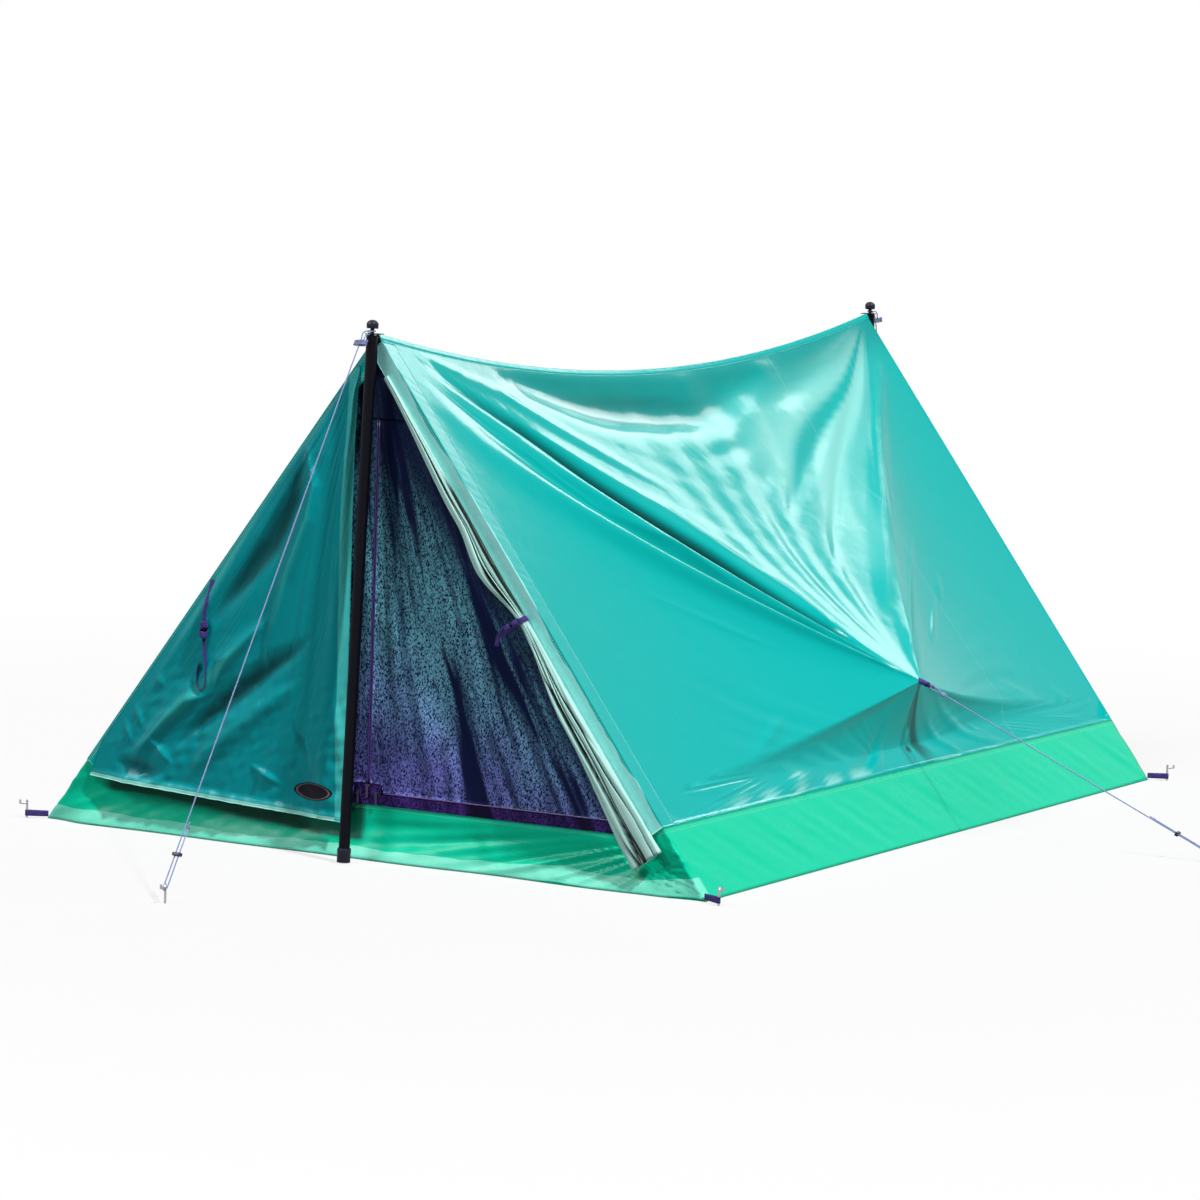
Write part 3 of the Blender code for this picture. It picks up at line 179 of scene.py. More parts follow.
# For each line: its route, and the place in it where the line leaves the knot
GUYLINES = {
    "front": (POLE_LOOP + [
        (-0.0034, -1.1349, 0.9886), (-0.0040, -1.2730, 0.7680), (-0.0040, -1.4270, 0.5220), (-0.0040, -1.5810, 0.2760),
    ] + there_and_back([
        (-0.0040, -1.7162, 0.0600), (-0.0041, -1.7256, 0.0450), (-0.0041, -1.7350, 0.0300), (-0.0030, -1.7381, 0.0262),
        (0.0000, -1.7393, 0.0248),
    ], over_middle) + [(0.0040, -1.6713, 0.1318)], 13),
    "rear": ([(x, -y, z) for x, y, z in POLE_LOOP] + [
        (-0.0034, 1.1280, 0.9854), (-0.0040, 1.1968, 0.7680), (-0.0040, 1.2745, 0.5220), (-0.0040, 1.3522, 0.2760),
    ] + there_and_back([
        (-0.0040, 1.4193, 0.0638), (-0.0041, 1.4247, 0.0469), (-0.0041, 1.4300, 0.0300), (-0.0030, 1.4331, 0.0262),
        (0.0000, 1.4343, 0.0248),
    ], over_middle) + [(0.0040, 1.3938, 0.1445)], 13),
    "right": ([(0.7217, 0.0318, 0.2874)] + there_and_back([
        (0.7110, 0.0360, 0.2922), (0.7035, 0.0402, 0.2955), (0.6985, 0.0408, 0.2977), (0.6955, 0.0395, 0.2991),
        (0.6943, 0.0365, 0.2996), (0.6943, 0.0300, 0.2996),
    ], over_pull) + [
        (0.7217, 0.0270, 0.2874), (0.8507, 0.0260, 0.2302), (1.0072, 0.0260, 0.1608), (1.1636, 0.0260, 0.0914),
    ] + there_and_back([
        (1.2900, 0.0260, 0.0353), (1.3060, 0.0259, 0.0282), (1.3200, 0.0259, 0.0220), (1.3230, 0.0270, 0.0207),
        (1.3241, 0.0300, 0.0202),
    ], over_pull) + [(1.2012, 0.0340, 0.0747)], 12),
    "left": ([(-0.7196, 0.0318, 0.2832)] + there_and_back([
        (-0.7093, 0.0360, 0.2888), (-0.7021, 0.0402, 0.2927), (-0.6973, 0.0408, 0.2953), (-0.6944, 0.0395, 0.2969),
        (-0.6933, 0.0365, 0.2975), (-0.6933, 0.0300, 0.2975),
    ], over_pull) + [
        (-0.7196, 0.0270, 0.2832), (-0.8253, 0.0260, 0.2257), (-0.9502, 0.0260, 0.1578), (-1.0751, 0.0260, 0.0899),
    ] + there_and_back([
        (-1.1712, 0.0260, 0.0377), (-1.1866, 0.0259, 0.0293), (-1.2000, 0.0259, 0.0220), (-1.2030, 0.0270, 0.0207),
        (-1.2041, 0.0300, 0.0202),
    ], over_pull) + [(-1.0858, 0.0340, 0.0841)], 12),
}

# The guylines' stakes: place on the ground, and the way the hook points
STAKES = {
    "front": ((0.0, -1.735), (0.0, -1.0)), "rear": ((0.0, 1.43), (0.0, 1.0)),
    "right": ((1.32, 0.03), (1.0, 0.0)), "left": ((-1.20, 0.03), (-1.0, 0.0)),
}


# Settings that a user would change


class TentClothSettings(bpy.types.PropertyGroup):
    """Colours and folds of the cloth."""

    wall_colour: bpy.props.FloatVectorProperty(
        name="Wall colour", description="Colour of the coated wall cloth", subtype="COLOR",
        size=3, min=0.0, max=1.0, default=(0.0, 0.50, 0.48),
    )
    tub_colour: bpy.props.FloatVectorProperty(
        name="Tub colour", description="Colour of the floor cloth", subtype="COLOR",
        size=3, min=0.0, max=1.0, default=(0.0, 0.70, 0.42),
    )
    mesh_colour: bpy.props.FloatVectorProperty(
        name="Mesh colour", description="Colour of the insect mesh", subtype="COLOR",
        size=3, min=0.0, max=1.0, default=(0.003, 0.009, 0.060),
    )
    gauge: bpy.props.FloatProperty(
        name="Cloth gauge", description="Thickness of the drawn cloth", default=0.0008,
        min=0.0004, max=0.002, subtype="DISTANCE", unit="LENGTH",
    )
    fold_depth: bpy.props.FloatProperty(
        name="Fold depth", description="Share of the full depth of the small folds", default=1.0,
        min=0.0, max=1.5, subtype="FACTOR",
    )


class TentRiggingSettings(bpy.types.PropertyGroup):
    """Poles, cords and stakes."""

    cord_colour: bpy.props.FloatVectorProperty(
        name="Guyline colour", description="Colour of the guylines", subtype="COLOR",
        size=3, min=0.0, max=1.0, default=(0.34, 0.44, 0.80),
    )
    tape_colour: bpy.props.FloatVectorProperty(
        name="Tape colour", description="Colour of the webbing and the tapes", subtype="COLOR",
        size=3, min=0.0, max=1.0, default=(0.085, 0.045, 0.42),
    )
    cord_diameter: bpy.props.FloatProperty(
        name="Guyline diameter", description="Diameter of the guylines", default=2 * CORD_RADIUS,
        min=0.0015, max=0.003, subtype="DISTANCE", unit="LENGTH",
    )


class TentStageSettings(bpy.types.PropertyGroup):
    """Floor, lamps and camera."""

    sun_strength: bpy.props.FloatProperty(
        name="Key light", description="Strength of the key light", default=2.85, min=0.0, max=6.0,
    )
    front_strength: bpy.props.FloatProperty(
        name="Front light", description="Strength of the softer light from the front and the left",
        default=1.0, min=0.0, max=6.0,
    )
    fill_level: bpy.props.FloatProperty(
        name="Fill light", description="Brightness of the surroundings as they light the tent",
        default=0.09, min=0.0, max=1.0,
    )
    sheen_level: bpy.props.FloatProperty(
        name="Sheen light", description="Radiance of the panel behind the tent that the gloss shows",
        default=7.6, min=0.0, max=40.0,
    )
    front_sheen_level: bpy.props.FloatProperty(
        name="Front sheen light", description="Radiance of the panel in front of the tent that the gloss shows",
        default=18.0, min=0.0, max=60.0,
    )
    lens: bpy.props.FloatProperty(
        name="Lens", description="Focal length of the camera", default=136.14, min=20.0, max=300.0,
        subtype="DISTANCE_CAMERA",
    )


# Materials


def arithmetic(operation):
    """Both forms of an operator on values: with the value first, and with it last."""

    def forward(self, other):
        return self.math(operation, self, other)

    def reflected(self, other):
        return self.math(operation, other, self)

    return forward, reflected


class Value:
    """One output of a material, on which arithmetic adds Math nodes."""

    def __init__(self, finish, socket):
        self.finish = finish
        self.socket = socket

    def math(self, operation, *terms):
        """A Math node of these terms."""
        node = self.finish.add("ShaderNodeMath", {"operation": operation}, terms)
        return Value(self.finish, node.outputs[0])

    __add__, __radd__ = arithmetic("ADD")
    __sub__, __rsub__ = arithmetic("SUBTRACT")
    __mul__, __rmul__ = arithmetic("MULTIPLY")
    __truediv__, __rtruediv__ = arithmetic("DIVIDE")

    def sine(self):
        return self.math("SINE", self)

    def size(self):
        return self.math("ABSOLUTE", self)

    def above(self, low, high):
        """0 below low, 1 above high, eased between them."""
        node = self.finish.add("ShaderNodeMapRange", {"interpolation_type": "SMOOTHSTEP"},
                               {"Value": self, "From Min": low, "From Max": high})
        return Value(self.finish, node.outputs["Result"])


class Nodes:
    """A tree that nodes are added to."""

    def __init__(self, tree):
        self.tree = tree

    def add(self, kind, settings=None, inputs=()):
        """A node of this kind: its settings first, then its inputs by place or by name."""
        node = self.tree.nodes.new(kind)
        for key, value in (settings or {}).items():
            setattr(node, key, value)
        pairs = inputs.items() if isinstance(inputs, dict) else enumerate(inputs)
        for key, value in pairs:
            self.feed(node.inputs[key], value)
        return node

    def feed(self, socket, value):
        """Link a socket to another one, or give it a value."""
        if isinstance(value, Value):
            self.tree.links.new(value.socket, socket)
        elif isinstance(value, bpy.types.NodeSocket):
            self.tree.links.new(value, socket)
        elif isinstance(value, (tuple, list)) and socket.type == "RGBA" and len(value) == 3:
            socket.default_value = (*value, 1.0)
        else:
            socket.default_value = value


class Finish(Nodes):
    """A material that is being made from nodes."""

    def __init__(self, name):
        self.material = bpy.data.materials.new(name)
        self.material.use_nodes = True
        super().__init__(self.material.node_tree)
        self.shader = self.tree.nodes["Principled BSDF"]

    def place(self, scale=(1.0, 1.0, 1.0)):
        """The place in the piece's own space, scaled."""
        at = self.add("ShaderNodeTexCoord").outputs["Object"]
        return self.add("ShaderNodeMapping", None, {"Vector": at, "Scale": scale}).outputs["Vector"]

    def cut(self):
        """The place on the flat cloth: across it and along it."""
        return self.parts(self.add("ShaderNodeTexCoord").outputs["UV"])[:2]

    def parts(self, vector):
        """The three parts of a vector."""
        return [Value(self, socket) for socket in self.add("ShaderNodeSeparateXYZ", None, [vector]).outputs]

    def noise(self, at, scale, detail=3.0, roughness=0.5):
        """Soft noise from 0 to 1."""
        inputs = {"Vector": at, "Scale": scale, "Detail": detail, "Roughness": roughness}
        return Value(self, self.add("ShaderNodeTexNoise", None, inputs).outputs["Fac"])

    def join(self, x, y, z):
        """A vector from its three parts."""
        return self.add("ShaderNodeCombineXYZ", None, [x, y, z]).outputs[0]

    def attribute(self, name):
        """What the mesh says at each of its points."""
        return Value(self, self.add("ShaderNodeAttribute", {"attribute_name": name}).outputs["Fac"])

    def mix(self, factor, first, second):
        """A colour between two."""
        return self.add("ShaderNodeMix", {"data_type": "RGBA"}, {0: factor, 6: first, 7: second}).outputs[2]

    def bump(self, height, distance, strength, normal=None):
        """The surface's direction, tilted as a height says."""
        inputs = {"Height": height, "Distance": distance, "Strength": strength}
        if normal is not None:
            inputs["Normal"] = normal
        return self.add("ShaderNodeBump", None, inputs).outputs["Normal"]

    def done(self, **sockets):
        """The material, with the shader's own sockets fed; spaces in their names are written as underscores."""
        for key, value in sockets.items():
            self.feed(self.shader.inputs[key.replace("_", " ")], value)
        return self.material


def shade(colour, factor):
    """A colour made darker or lighter."""
    return tuple(min(1.0, part * factor) for part in colour)


def coated_cloth(name, colour, pale, gloss, thread=1500.0, across_seams=(), along_seams=(), edges=(),
                 edges_ahead_of=None, shine=0.055):
    """Coated taffeta: fine square weave, faint clouds, crinkles, stitching on seams.

    across_seams and along_seams are the places on the cut, in metres, of lines of stitches, and edges
    are strips of painted highlight: the axis, where a strip starts and ends, and its paler colour.
    edges_ahead_of is the Y behind which there are none. The cloth takes painted shade, darkest in deep
    folds and where other pieces would shade it, by its attribute "shaded", and painted highlight on
    crests and puckers, in the colour pale that the stitches also have, by its attribute of painted highlight."""
    finish = Finish(name)
    at = finish.place()
    across, along = finish.cut()
    clouds = finish.noise(at, 2.6, 4.0, 0.55)
    grain = finish.noise(at, 420.0, 2.0, 0.6)
    crinkle = finish.noise(at, 38.0, 5.0, 0.6)
    weave = (across * thread).sine() * (along * thread).sine()
    seam = 0.0
    for line, places in ((across, across_seams), (along, along_seams)):
        for place in places:
            seam = line.math("MAXIMUM", seam, 1.0 - (line - place).size().above(0.0005, 0.0012))
    stitch = ((along + across) * 1250.0).sine().above(-0.2, 0.3) * seam
    tone = (clouds - 0.5) * 0.22 + (grain - 0.5) * 0.10 + 0.5
    base = finish.mix(tone, shade(colour, 0.86), shade(colour, 1.14))
    # Strips of painted highlight, paler than the cloth, mottled by the crinkles
    for axis, start, end, strip in edges:
        place = (clouds - 0.5) * abs(end) * 0.5 + (across, along)[axis]
        inside = place.above(start, start + 0.0015) * (1.0 - place.above(end, end + 0.0015))
        if edges_ahead_of is not None:
            inside = inside * (1.0 - finish.parts(at)[1].above(edges_ahead_of, edges_ahead_of + 0.01))
        base = finish.mix(inside * (crinkle * 0.5 + 0.62), base, strip)
    # Painted highlight on crests and puckers, then painted shade in deep folds and under other pieces
    base = finish.mix(finish.attribute("rubbed"), base, pale)
    base = finish.mix(finish.attribute("shaded"), base, shade(colour, 0.03))
    base = finish.mix(stitch * 0.55, base, pale)
    fine = finish.bump(weave * 0.12 + (grain - 0.5) * 0.35 + stitch * 2.0, 0.00012, 0.5)
    rumples = (crinkle - 0.5) + (finish.noise(at, 9.0, 3.0) - 0.5) * 3.0
    return finish.done(
        Base_Color=base, Roughness=gloss + (clouds - 0.5) * 0.10 + (crinkle - 0.5) * 0.08,
        Normal=finish.bump(rumples, 0.0012, 0.35, fine), IOR=1.5, Specular_IOR_Level=shine,
    )


def insect_mesh(name, colour, glint_colour, low_glint_colour, glint=0.9):
    """Fine knitted mesh with painted glints: its colour is paler where its threads would catch the light.

    The painted glints fade towards the top and in streaks that fan out from the apex, as painted shade,
    and beside the slope, as a painted shadow of the gathered flap."""
    finish = Finish(name)
    at = finish.place()
    x, y, z = finish.parts(at)
    across, along = finish.cut()
    cross = (across * 2600.0).sine().size() * (along * 2600.0).sine().size()
    holes = cross.above(0.55, 0.85)
    # Painted shade in streaks that fan out from the apex
    fan = (x + 0.06) / (APEX_HEIGHT + 0.16 - z)
    strips = finish.noise(finish.join(fan * 12.0, y, z * 1.6), 1.0, 3.0, 0.6).above(0.40, 0.52)
    fine = finish.noise(finish.join(fan * 40.0, y * 4.0, z * 4.0), 1.0, 3.0, 0.6).above(0.34, 0.58)
    patches = finish.noise(at, 5.0, 3.0, 0.6).above(0.22, 0.50)
    grains = finish.noise(finish.place((1.0, 1.0, 0.6)), 330.0, 3.0, 0.75).above(0.44, 0.53)
    # Painted shade towards the top, and a painted shadow of the gathered flap beside the slope
    painted_roll_shadow = (z * (HALF_WIDTH / APEX_HEIGHT) + x).above(0.60, 0.67)
    lit = (1.0 - z.above(0.48, 0.84) * 0.75) * (1.0 - painted_roll_shadow * 0.85)
    glints = grains * strips * (fine * 0.6 + 0.4) * (patches * 0.6 + 0.4) * lit
    base = finish.mix(holes * 0.7, colour, shade(colour, 0.25))
    drifted = finish.noise(at, 7.0, 3.0) * 0.24 + z + x * 0.25
    # The painted glints are bluer higher up and more violet low down
    base = finish.mix(glints * glint, base, finish.mix(drifted.above(0.26, 0.66), low_glint_colour, glint_colour))
    return finish.done(
        Base_Color=base, Roughness=0.62 - glints * 0.2, Normal=finish.bump(cross, 0.0002, 0.5),
        Specular_IOR_Level=0.06,
    )


def woven_tape(name, colour, edge):
    """Narrow woven tape: ribs across it, a paler thread here and there, a mottled tone."""
    finish = Finish(name)
    across, along = finish.cut()
    ribs = (along * 5200.0).sine()
    twill = ((along + across) * 3600.0).sine()
    dust = finish.noise(finish.place(), 160.0, 4.0, 0.7)
    base = finish.mix(dust.above(0.35, 0.75) * 0.7, shade(colour, 0.25), colour)
    base = finish.mix(twill.above(0.2, 0.9) * 0.35, base, edge)
    return finish.done(
        Base_Color=base, Roughness=0.55 + (dust - 0.5) * 0.25,
        Normal=finish.bump(ribs * 0.5 + twill * 0.4 + dust * 0.3, 0.00018, 0.7), Specular_IOR_Level=0.15,
    )


def braided_cord(name, colour):
    """Braided cord with a darker fleck in the braid."""
    finish = Finish(name)
    across, along = finish.cut()
    left = (along * 2100.0 + across * math.tau * 4.0).sine()
    right = (along * 2100.0 - across * math.tau * 4.0).sine()
    fuzz = finish.noise(finish.place(), 900.0, 2.0)
    base = finish.mix((left * right).above(0.35, 0.8) * 0.6, colour, shade(colour, 0.30))
    base = finish.mix((fuzz - 0.3) * 0.4, base, shade(colour, 0.6))
    braid = left.math("MAXIMUM", left, right)
    return finish.done(Base_Color=base, Roughness=0.55 + fuzz * 0.2, Normal=finish.bump(braid, 0.0003, 0.8))


def painted_steel(name, colour):
    """Dark painted tube, with fine orange peel and worn places."""
    finish = Finish(name)
    peel = finish.noise(finish.place(), 700.0, 2.0)
    rub = finish.noise(finish.place((1.0, 1.0, 0.12)), 90.0, 5.0, 0.7).above(0.60, 0.80)
    return finish.done(
        Base_Color=finish.mix(rub * 0.4, colour, (0.03, 0.03, 0.06)),
        Roughness=0.36 + rub * 0.2 + (peel - 0.5) * 0.08, Normal=finish.bump(peel, 0.00006, 0.6),
        Specular_IOR_Level=0.10,
    )


def moulded_plastic(name, colour):
    """Moulded plastic with a fine spark texture."""
    finish = Finish(name)
    at = finish.place()
    dust = finish.noise(at, 60.0, 4.0, 0.7)
    return finish.done(
        Base_Color=finish.mix(dust * 0.3, colour, shade(colour, 2.4)), Roughness=0.42 + (dust - 0.5) * 0.2,
        Normal=finish.bump(finish.noise(at, 1400.0, 2.0), 0.00008, 0.6), IOR=1.5, Specular_IOR_Level=0.25,
    )


def bright_wire(name, colour, drawn=0.08):
    """Drawn steel: long faint scratches and dull patches."""
    finish = Finish(name)
    scratch = finish.noise(finish.place((1.0, 1.0, drawn)), 1500.0, 3.0, 0.6)
    dull = finish.noise(finish.place(), 70.0, 4.0, 0.6)
    return finish.done(
        Base_Color=finish.mix(dull, shade(colour, 0.75), colour), Metallic=1.0,
        Roughness=0.22 + dull * 0.18 + scratch * 0.08, Normal=finish.bump(scratch, 0.00006, 0.5),
    )


def zip_teeth(name, colour):
    """Nylon coil of a zip."""
    finish = Finish(name)
    fleck = finish.noise(finish.place(), 520.0, 3.0, 0.7)
    base = finish.mix(fleck.above(0.40, 0.70), shade(colour, 0.35), shade(colour, 1.5))
    return finish.done(Base_Color=base, Roughness=0.35 + fleck * 0.15, Coat_Weight=0.3, Coat_Roughness=0.2)


def label_cloth(name):
    """The blank oval label: dark, with a dim stitched ring just inside its edge."""
    finish = Finish(name)
    base = finish.mix(finish.attribute("border"), (0.006, 0.006, 0.012), (0.26, 0.17, 0.20))
    grain = finish.bump(finish.noise(finish.place(), 900.0, 2.0), 0.0001, 0.6)
    return finish.done(Base_Color=base, Roughness=0.6, Normal=grain, Specular_IOR_Level=0.1)


FINISHES = {}


def finishes():
    """All the materials by name, made once."""
    if not FINISHES:
        cloth = bpy.context.scene.tent_cloth
        rigging = bpy.context.scene.tent_rigging
        wall = tuple(cloth.wall_colour)
        # mint and white are the colours of the stitches and of the painted highlights on the walls and the bindings
        mint = (0.35, 0.85, 0.80)
        white = (0.75, 1.0, 0.98)
        bound = (0.004, 0.0505, 0.0545, 0.070, 0.0735)
        violet = (0.12, 0.05, 0.40)
        FINISHES.update({
            "wall": coated_cloth("wall_taffeta", wall, mint, 0.14),
            "side": coated_cloth("side_wall_taffeta", wall, mint, 0.14, across_seams=(0.547, 0.553)),
            "binding": coated_cloth("plain_binding_taffeta", wall, white, 0.26, across_seams=bound),
            # The lip's paler strip is a painted highlight
            "lip": coated_cloth("binding_taffeta", wall, white, 0.26, across_seams=bound,
                                edges=((0, 0.0455, 0.2, (0.38, 0.97, 0.94)),), shine=0.12),
            # The shut flap is the wall's cloth painted darker and bluer, as painted shade; its paler strips along the
            # hem and the free edge are painted highlights
            "flap": coated_cloth("flap_taffeta", (0.0, 0.37, 0.42), (0.10, 0.80, 0.68), 0.22,
                                 across_seams=(0.010, 0.013), along_seams=(0.010, 0.013), shine=0.09,
                                 edges=((1, -0.1, 0.0065, (0.40, 0.97, 0.84)), (0, -0.1, 0.020, (0.08, 0.68, 0.66)))),
            # The paler band at the foot of the tub's front is a painted highlight
            "tub": coated_cloth("tub_cloth", tuple(cloth.tub_colour), (0.25, 0.85, 0.60), 0.26, 1900.0,
                                along_seams=(0.005, 0.009), edges=((1, 0.100, 0.134, (0.24, 1.0, 0.76)),),
                                edges_ahead_of=-1.045, shine=0.08),
            # The gathered flap shows the paler inner side of its cloth, painted paler still as painted light
            "roll": coated_cloth("roll_taffeta", (0.55, 1.0, 0.88), (0.85, 1.0, 0.96), 0.26, shine=0.08),
            "band": insect_mesh("sill_cloth", (0.008, 0.004, 0.03), violet, violet, 0.8),
            "mesh": insect_mesh("insect_mesh", tuple(cloth.mesh_colour), (0.26, 0.80, 1.0), (0.30, 0.30, 1.0)),
            "tape": woven_tape("woven_tape", tuple(rigging.tape_colour), (0.30, 0.26, 0.72)),
            "dark_tape": woven_tape("dark_webbing", (0.012, 0.010, 0.04), (0.05, 0.05, 0.14)),
            "cord": braided_cord("guyline_braid", tuple(rigging.cord_colour)),
            "pole": painted_steel("pole_paint", (0.003, 0.003, 0.008)),
            "plastic": moulded_plastic("black_moulding", (0.012, 0.012, 0.026)),
            "steel": bright_wire("stake_wire", (0.62, 0.62, 0.64)),
            "dark_metal": bright_wire("slider_metal", (0.08, 0.07, 0.13), 1.0),
            "zip": zip_teeth("zip_coil", (0.10, 0.035, 0.36)),
            "label": label_cloth("oval_label"),
        })
    return FINISHES


# Building pieces


def new_piece(name, mesh, finish, *nodes, body="tent"):
    """Link a finished mesh as a piece that rides on a body, and stands for CAD nodes."""
    mesh.name = name
    mesh.materials.clear()
    mesh.materials.append(finishes()[finish])
    piece = bpy.data.objects.new(name, mesh)
    bpy.context.scene.collection.objects.link(piece)
    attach(piece, body)
    if nodes:
        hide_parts(*nodes)
    return piece


def unit(vectors):
    """Vectors of length 1."""
    vectors = np.asarray(vectors, dtype=float)
    return vectors / np.maximum(np.linalg.norm(vectors, axis=-1, keepdims=True), 1e-12)


def stacked(*parts):
    """Points from arrays of their coordinates."""
    return np.stack(np.broadcast_arrays(*parts), axis=-1)


def walked(points):
    """How far each point of a line lies along it, or each row of a grid on average."""
    steps = np.linalg.norm(np.diff(points, axis=0), axis=-1)
    return np.concatenate([[0.0], np.cumsum(steps.reshape(len(steps), -1).mean(axis=1))])


def grid_normals(grid, wrap):
    """Directions square to a grid of points; wrap says that its columns close on themselves."""
    along = np.gradient(grid, axis=0)
    if wrap:
        across = (np.roll(grid, -1, axis=1) - np.roll(grid, 1, axis=1)) / 2
    else:
        across = np.gradient(grid, axis=1)
    return unit(np.cross(along, across))


def grid_quads(rows, columns, wrap):
    """The corners of the faces between the points of a grid, which are counted row by row."""
    i, j = np.meshgrid(np.arange(rows - 1), np.arange(columns if wrap else columns - 1), indexing="ij")
    i = i.ravel() * columns
    j = j.ravel()
    k = (j + 1) % columns
    return np.stack([i + j, i + columns + j, i + columns + k, i + k], axis=1)


def cloth_gauge():
    """How thick the drawn cloth is."""
    return bpy.context.scene.tent_cloth.gauge


def cloth_mesh(grid, outward, uv=None, gauge=None, wrap=False, inner=None, **attributes):
    """A closed cloth from a grid of points on its outer face; outward is a rough direction it faces."""
    rows, columns = grid.shape[:2]
    normals = grid_normals(grid, wrap)
    if wrap:
        for tip, beside in ((0, 1), (-1, -2)):
            if np.ptp(grid[tip], axis=0).max() < 0.00001:
                normals[tip] = unit(normals[beside].mean(axis=0))
    flip = np.sum(normals * np.asarray(outward)) < 0
    if flip:
        normals = -normals
    back = grid - normals * (gauge or cloth_gauge()) if inner is None else inner
    count = rows * columns
    front = grid_quads(rows, columns, wrap)
    if flip:
        front = front[:, ::-1]
    near = np.arange(columns if wrap else columns - 1)
    far = (near + 1) % columns
    edges = [(far, near), (count - columns + near, count - columns + far)]
    if not wrap:
        side = np.arange(rows - 1) * columns
        edges += [(side, side + columns), (side + 2 * columns - 1, side + columns - 1)]
    rims = [np.stack([near, far, far + count, near + count], axis=1) for near, far in edges]
    faces = np.concatenate([front, front[:, ::-1] + count] + [rim[:, ::-1] if flip else rim for rim in rims])
    if uv is None:
        uv = np.stack(np.meshgrid(walked(grid.swapaxes(0, 1)), walked(grid)), axis=-1)
    mesh = bpy.data.meshes.new("cloth")
    mesh.vertices.add(2 * count)
    mesh.vertices.foreach_set("co", np.concatenate([grid, back]).astype(np.float32).ravel())
    mesh.loops.add(faces.size)
    mesh.loops.foreach_set("vertex_index", faces.astype(np.int32).ravel())
    mesh.polygons.add(len(faces))
    mesh.polygons.foreach_set("loop_start", np.arange(0, faces.size, 4, dtype=np.int32))
    mesh.update(calc_edges=True)
    map_mesh(mesh, np.tile(uv.reshape(-1, 2), (2, 1))[faces.ravel()])
    for key, value in attributes.items():
        add_attribute(mesh, key, np.tile(np.broadcast_to(value, (rows, columns)).ravel(), 2))
    mesh.shade_smooth()
    return mesh


def map_mesh(mesh, places):
    """Give a mesh its UV map, one place for each corner."""
    layer = mesh.uv_layers.new(name="cut")
    layer.data.foreach_set("uv", places.astype(np.float32).ravel())


def add_attribute(mesh, key, values):
    """Give each point of a mesh a value."""
    layer = mesh.attributes.new(key, "FLOAT", "POINT")
    layer.data.foreach_set("value", values.astype(np.float32))


def remade(mesh, change):
    """A mesh after a change in edit form."""
    cage = bmesh.new()
    cage.from_mesh(mesh)
    change(cage)
    cage.to_mesh(mesh)
    cage.free()
    return mesh


def merged(mesh):
    """A mesh with the points joined that share a place, as at the middle of a fan."""
    return remade(mesh, lambda cage: bmesh.ops.remove_doubles(cage, verts=cage.verts, dist=0.000002))


def faced_out(cage):
    """Turn all faces outwards."""
    bmesh.ops.recalc_face_normals(cage, faces=cage.faces)


def ring_mesh(rings, middle, across, seam=None):
    """A body through rings of points with filled ends; middle is the line through the rings' middles.

    across is the U of a ring's points, and seam the U where it closes on its first one; V is in metres."""
    rows, count = rings.shape[:2]
    pairs = [(a, (a + 1) % count) for a in range(count)]
    tail = (rows - 1) * count
    quads = grid_quads(rows, count, True)[:, [0, 3, 2, 1]]
    faces = quads.tolist() + [(rows * count, b, a) for a, b in pairs]
    faces += [(rows * count + 1, tail + a, tail + b) for a, b in pairs]
    mesh = bpy.data.meshes.new("rings")
    mesh.from_pydata(np.concatenate([rings.reshape(-1, 3), middle[:1], middle[-1:]]).tolist(), [], faces)
    reach = walked(middle)
    flat = np.stack(np.meshgrid(across, reach), axis=-1).reshape(-1, 2)
    flat = np.concatenate([flat, [[0.0, 0.0], [0.0, reach[-1]]]])
    corner = np.zeros(len(mesh.loops), dtype=np.int32)
    mesh.loops.foreach_get("vertex_index", corner)
    places = flat[corner]
    if seam is not None:
        number = np.arange(len(corner))
        closing = (number < quads.size) & np.isin(number % 4, (1, 2)) & (places[:, 0] == 0.0)
        places[closing, 0] = seam
    map_mesh(mesh, places)
    return mesh


def tube_mesh(path, radius, sides):
    """A round cord along points, with its UV map in turns and metres."""
    tangents = unit(np.gradient(path, axis=0))
    frame_x = np.zeros_like(path)
    start = UP if abs(tangents[0][2]) < 0.9 else np.array([1.0, 0.0, 0.0])
    frame_x[0] = unit(start - tangents[0] * np.dot(start, tangents[0]))
    for k in range(1, len(path)):
        frame_x[k] = unit(frame_x[k - 1] - tangents[k] * np.dot(frame_x[k - 1], tangents[k]))
    frame_y = np.cross(tangents, frame_x)
    turns = np.linspace(0.0, math.tau, sides, endpoint=False)[:, None]
    ring = frame_x[:, None] * np.cos(turns) + frame_y[:, None] * np.sin(turns)
    mesh = ring_mesh(path[:, None] + ring * radius, path, np.arange(sides) / sides, 1.0)
    mesh.shade_smooth()
    return mesh


def tape_mesh(path, across, width, gauge, fine=4):
    """Flat tape along a path; across is the direction of its width, one or one for each point."""
    path = smooth_line(path, len(path) * fine)
    across = np.asarray(across, dtype=float)
    if across.ndim == 2:
        spots = np.linspace(0.0, len(across) - 1.0, len(path))
        across = np.stack([np.interp(spots, np.arange(len(across)), across[:, k]) for k in range(3)], axis=1)
    side = np.broadcast_to(unit(across), path.shape)
    tangents = unit(np.gradient(path, axis=0))
    side = unit(side - tangents * np.sum(side * tangents, axis=1, keepdims=True))
    normal = np.cross(tangents, side)
    half = width / 2
    upper = [(-half, 0.0), (-half * 0.9, gauge / 2), (-half * 0.4, gauge / 2 * 1.15)]
    upper += [(-x, y) for x, y in reversed(upper)]
    section = upper + [(x, -y) for x, y in upper[4:0:-1]]
    return loft_mesh(np.stack([path + side * x + normal * y for x, y in section], axis=1))


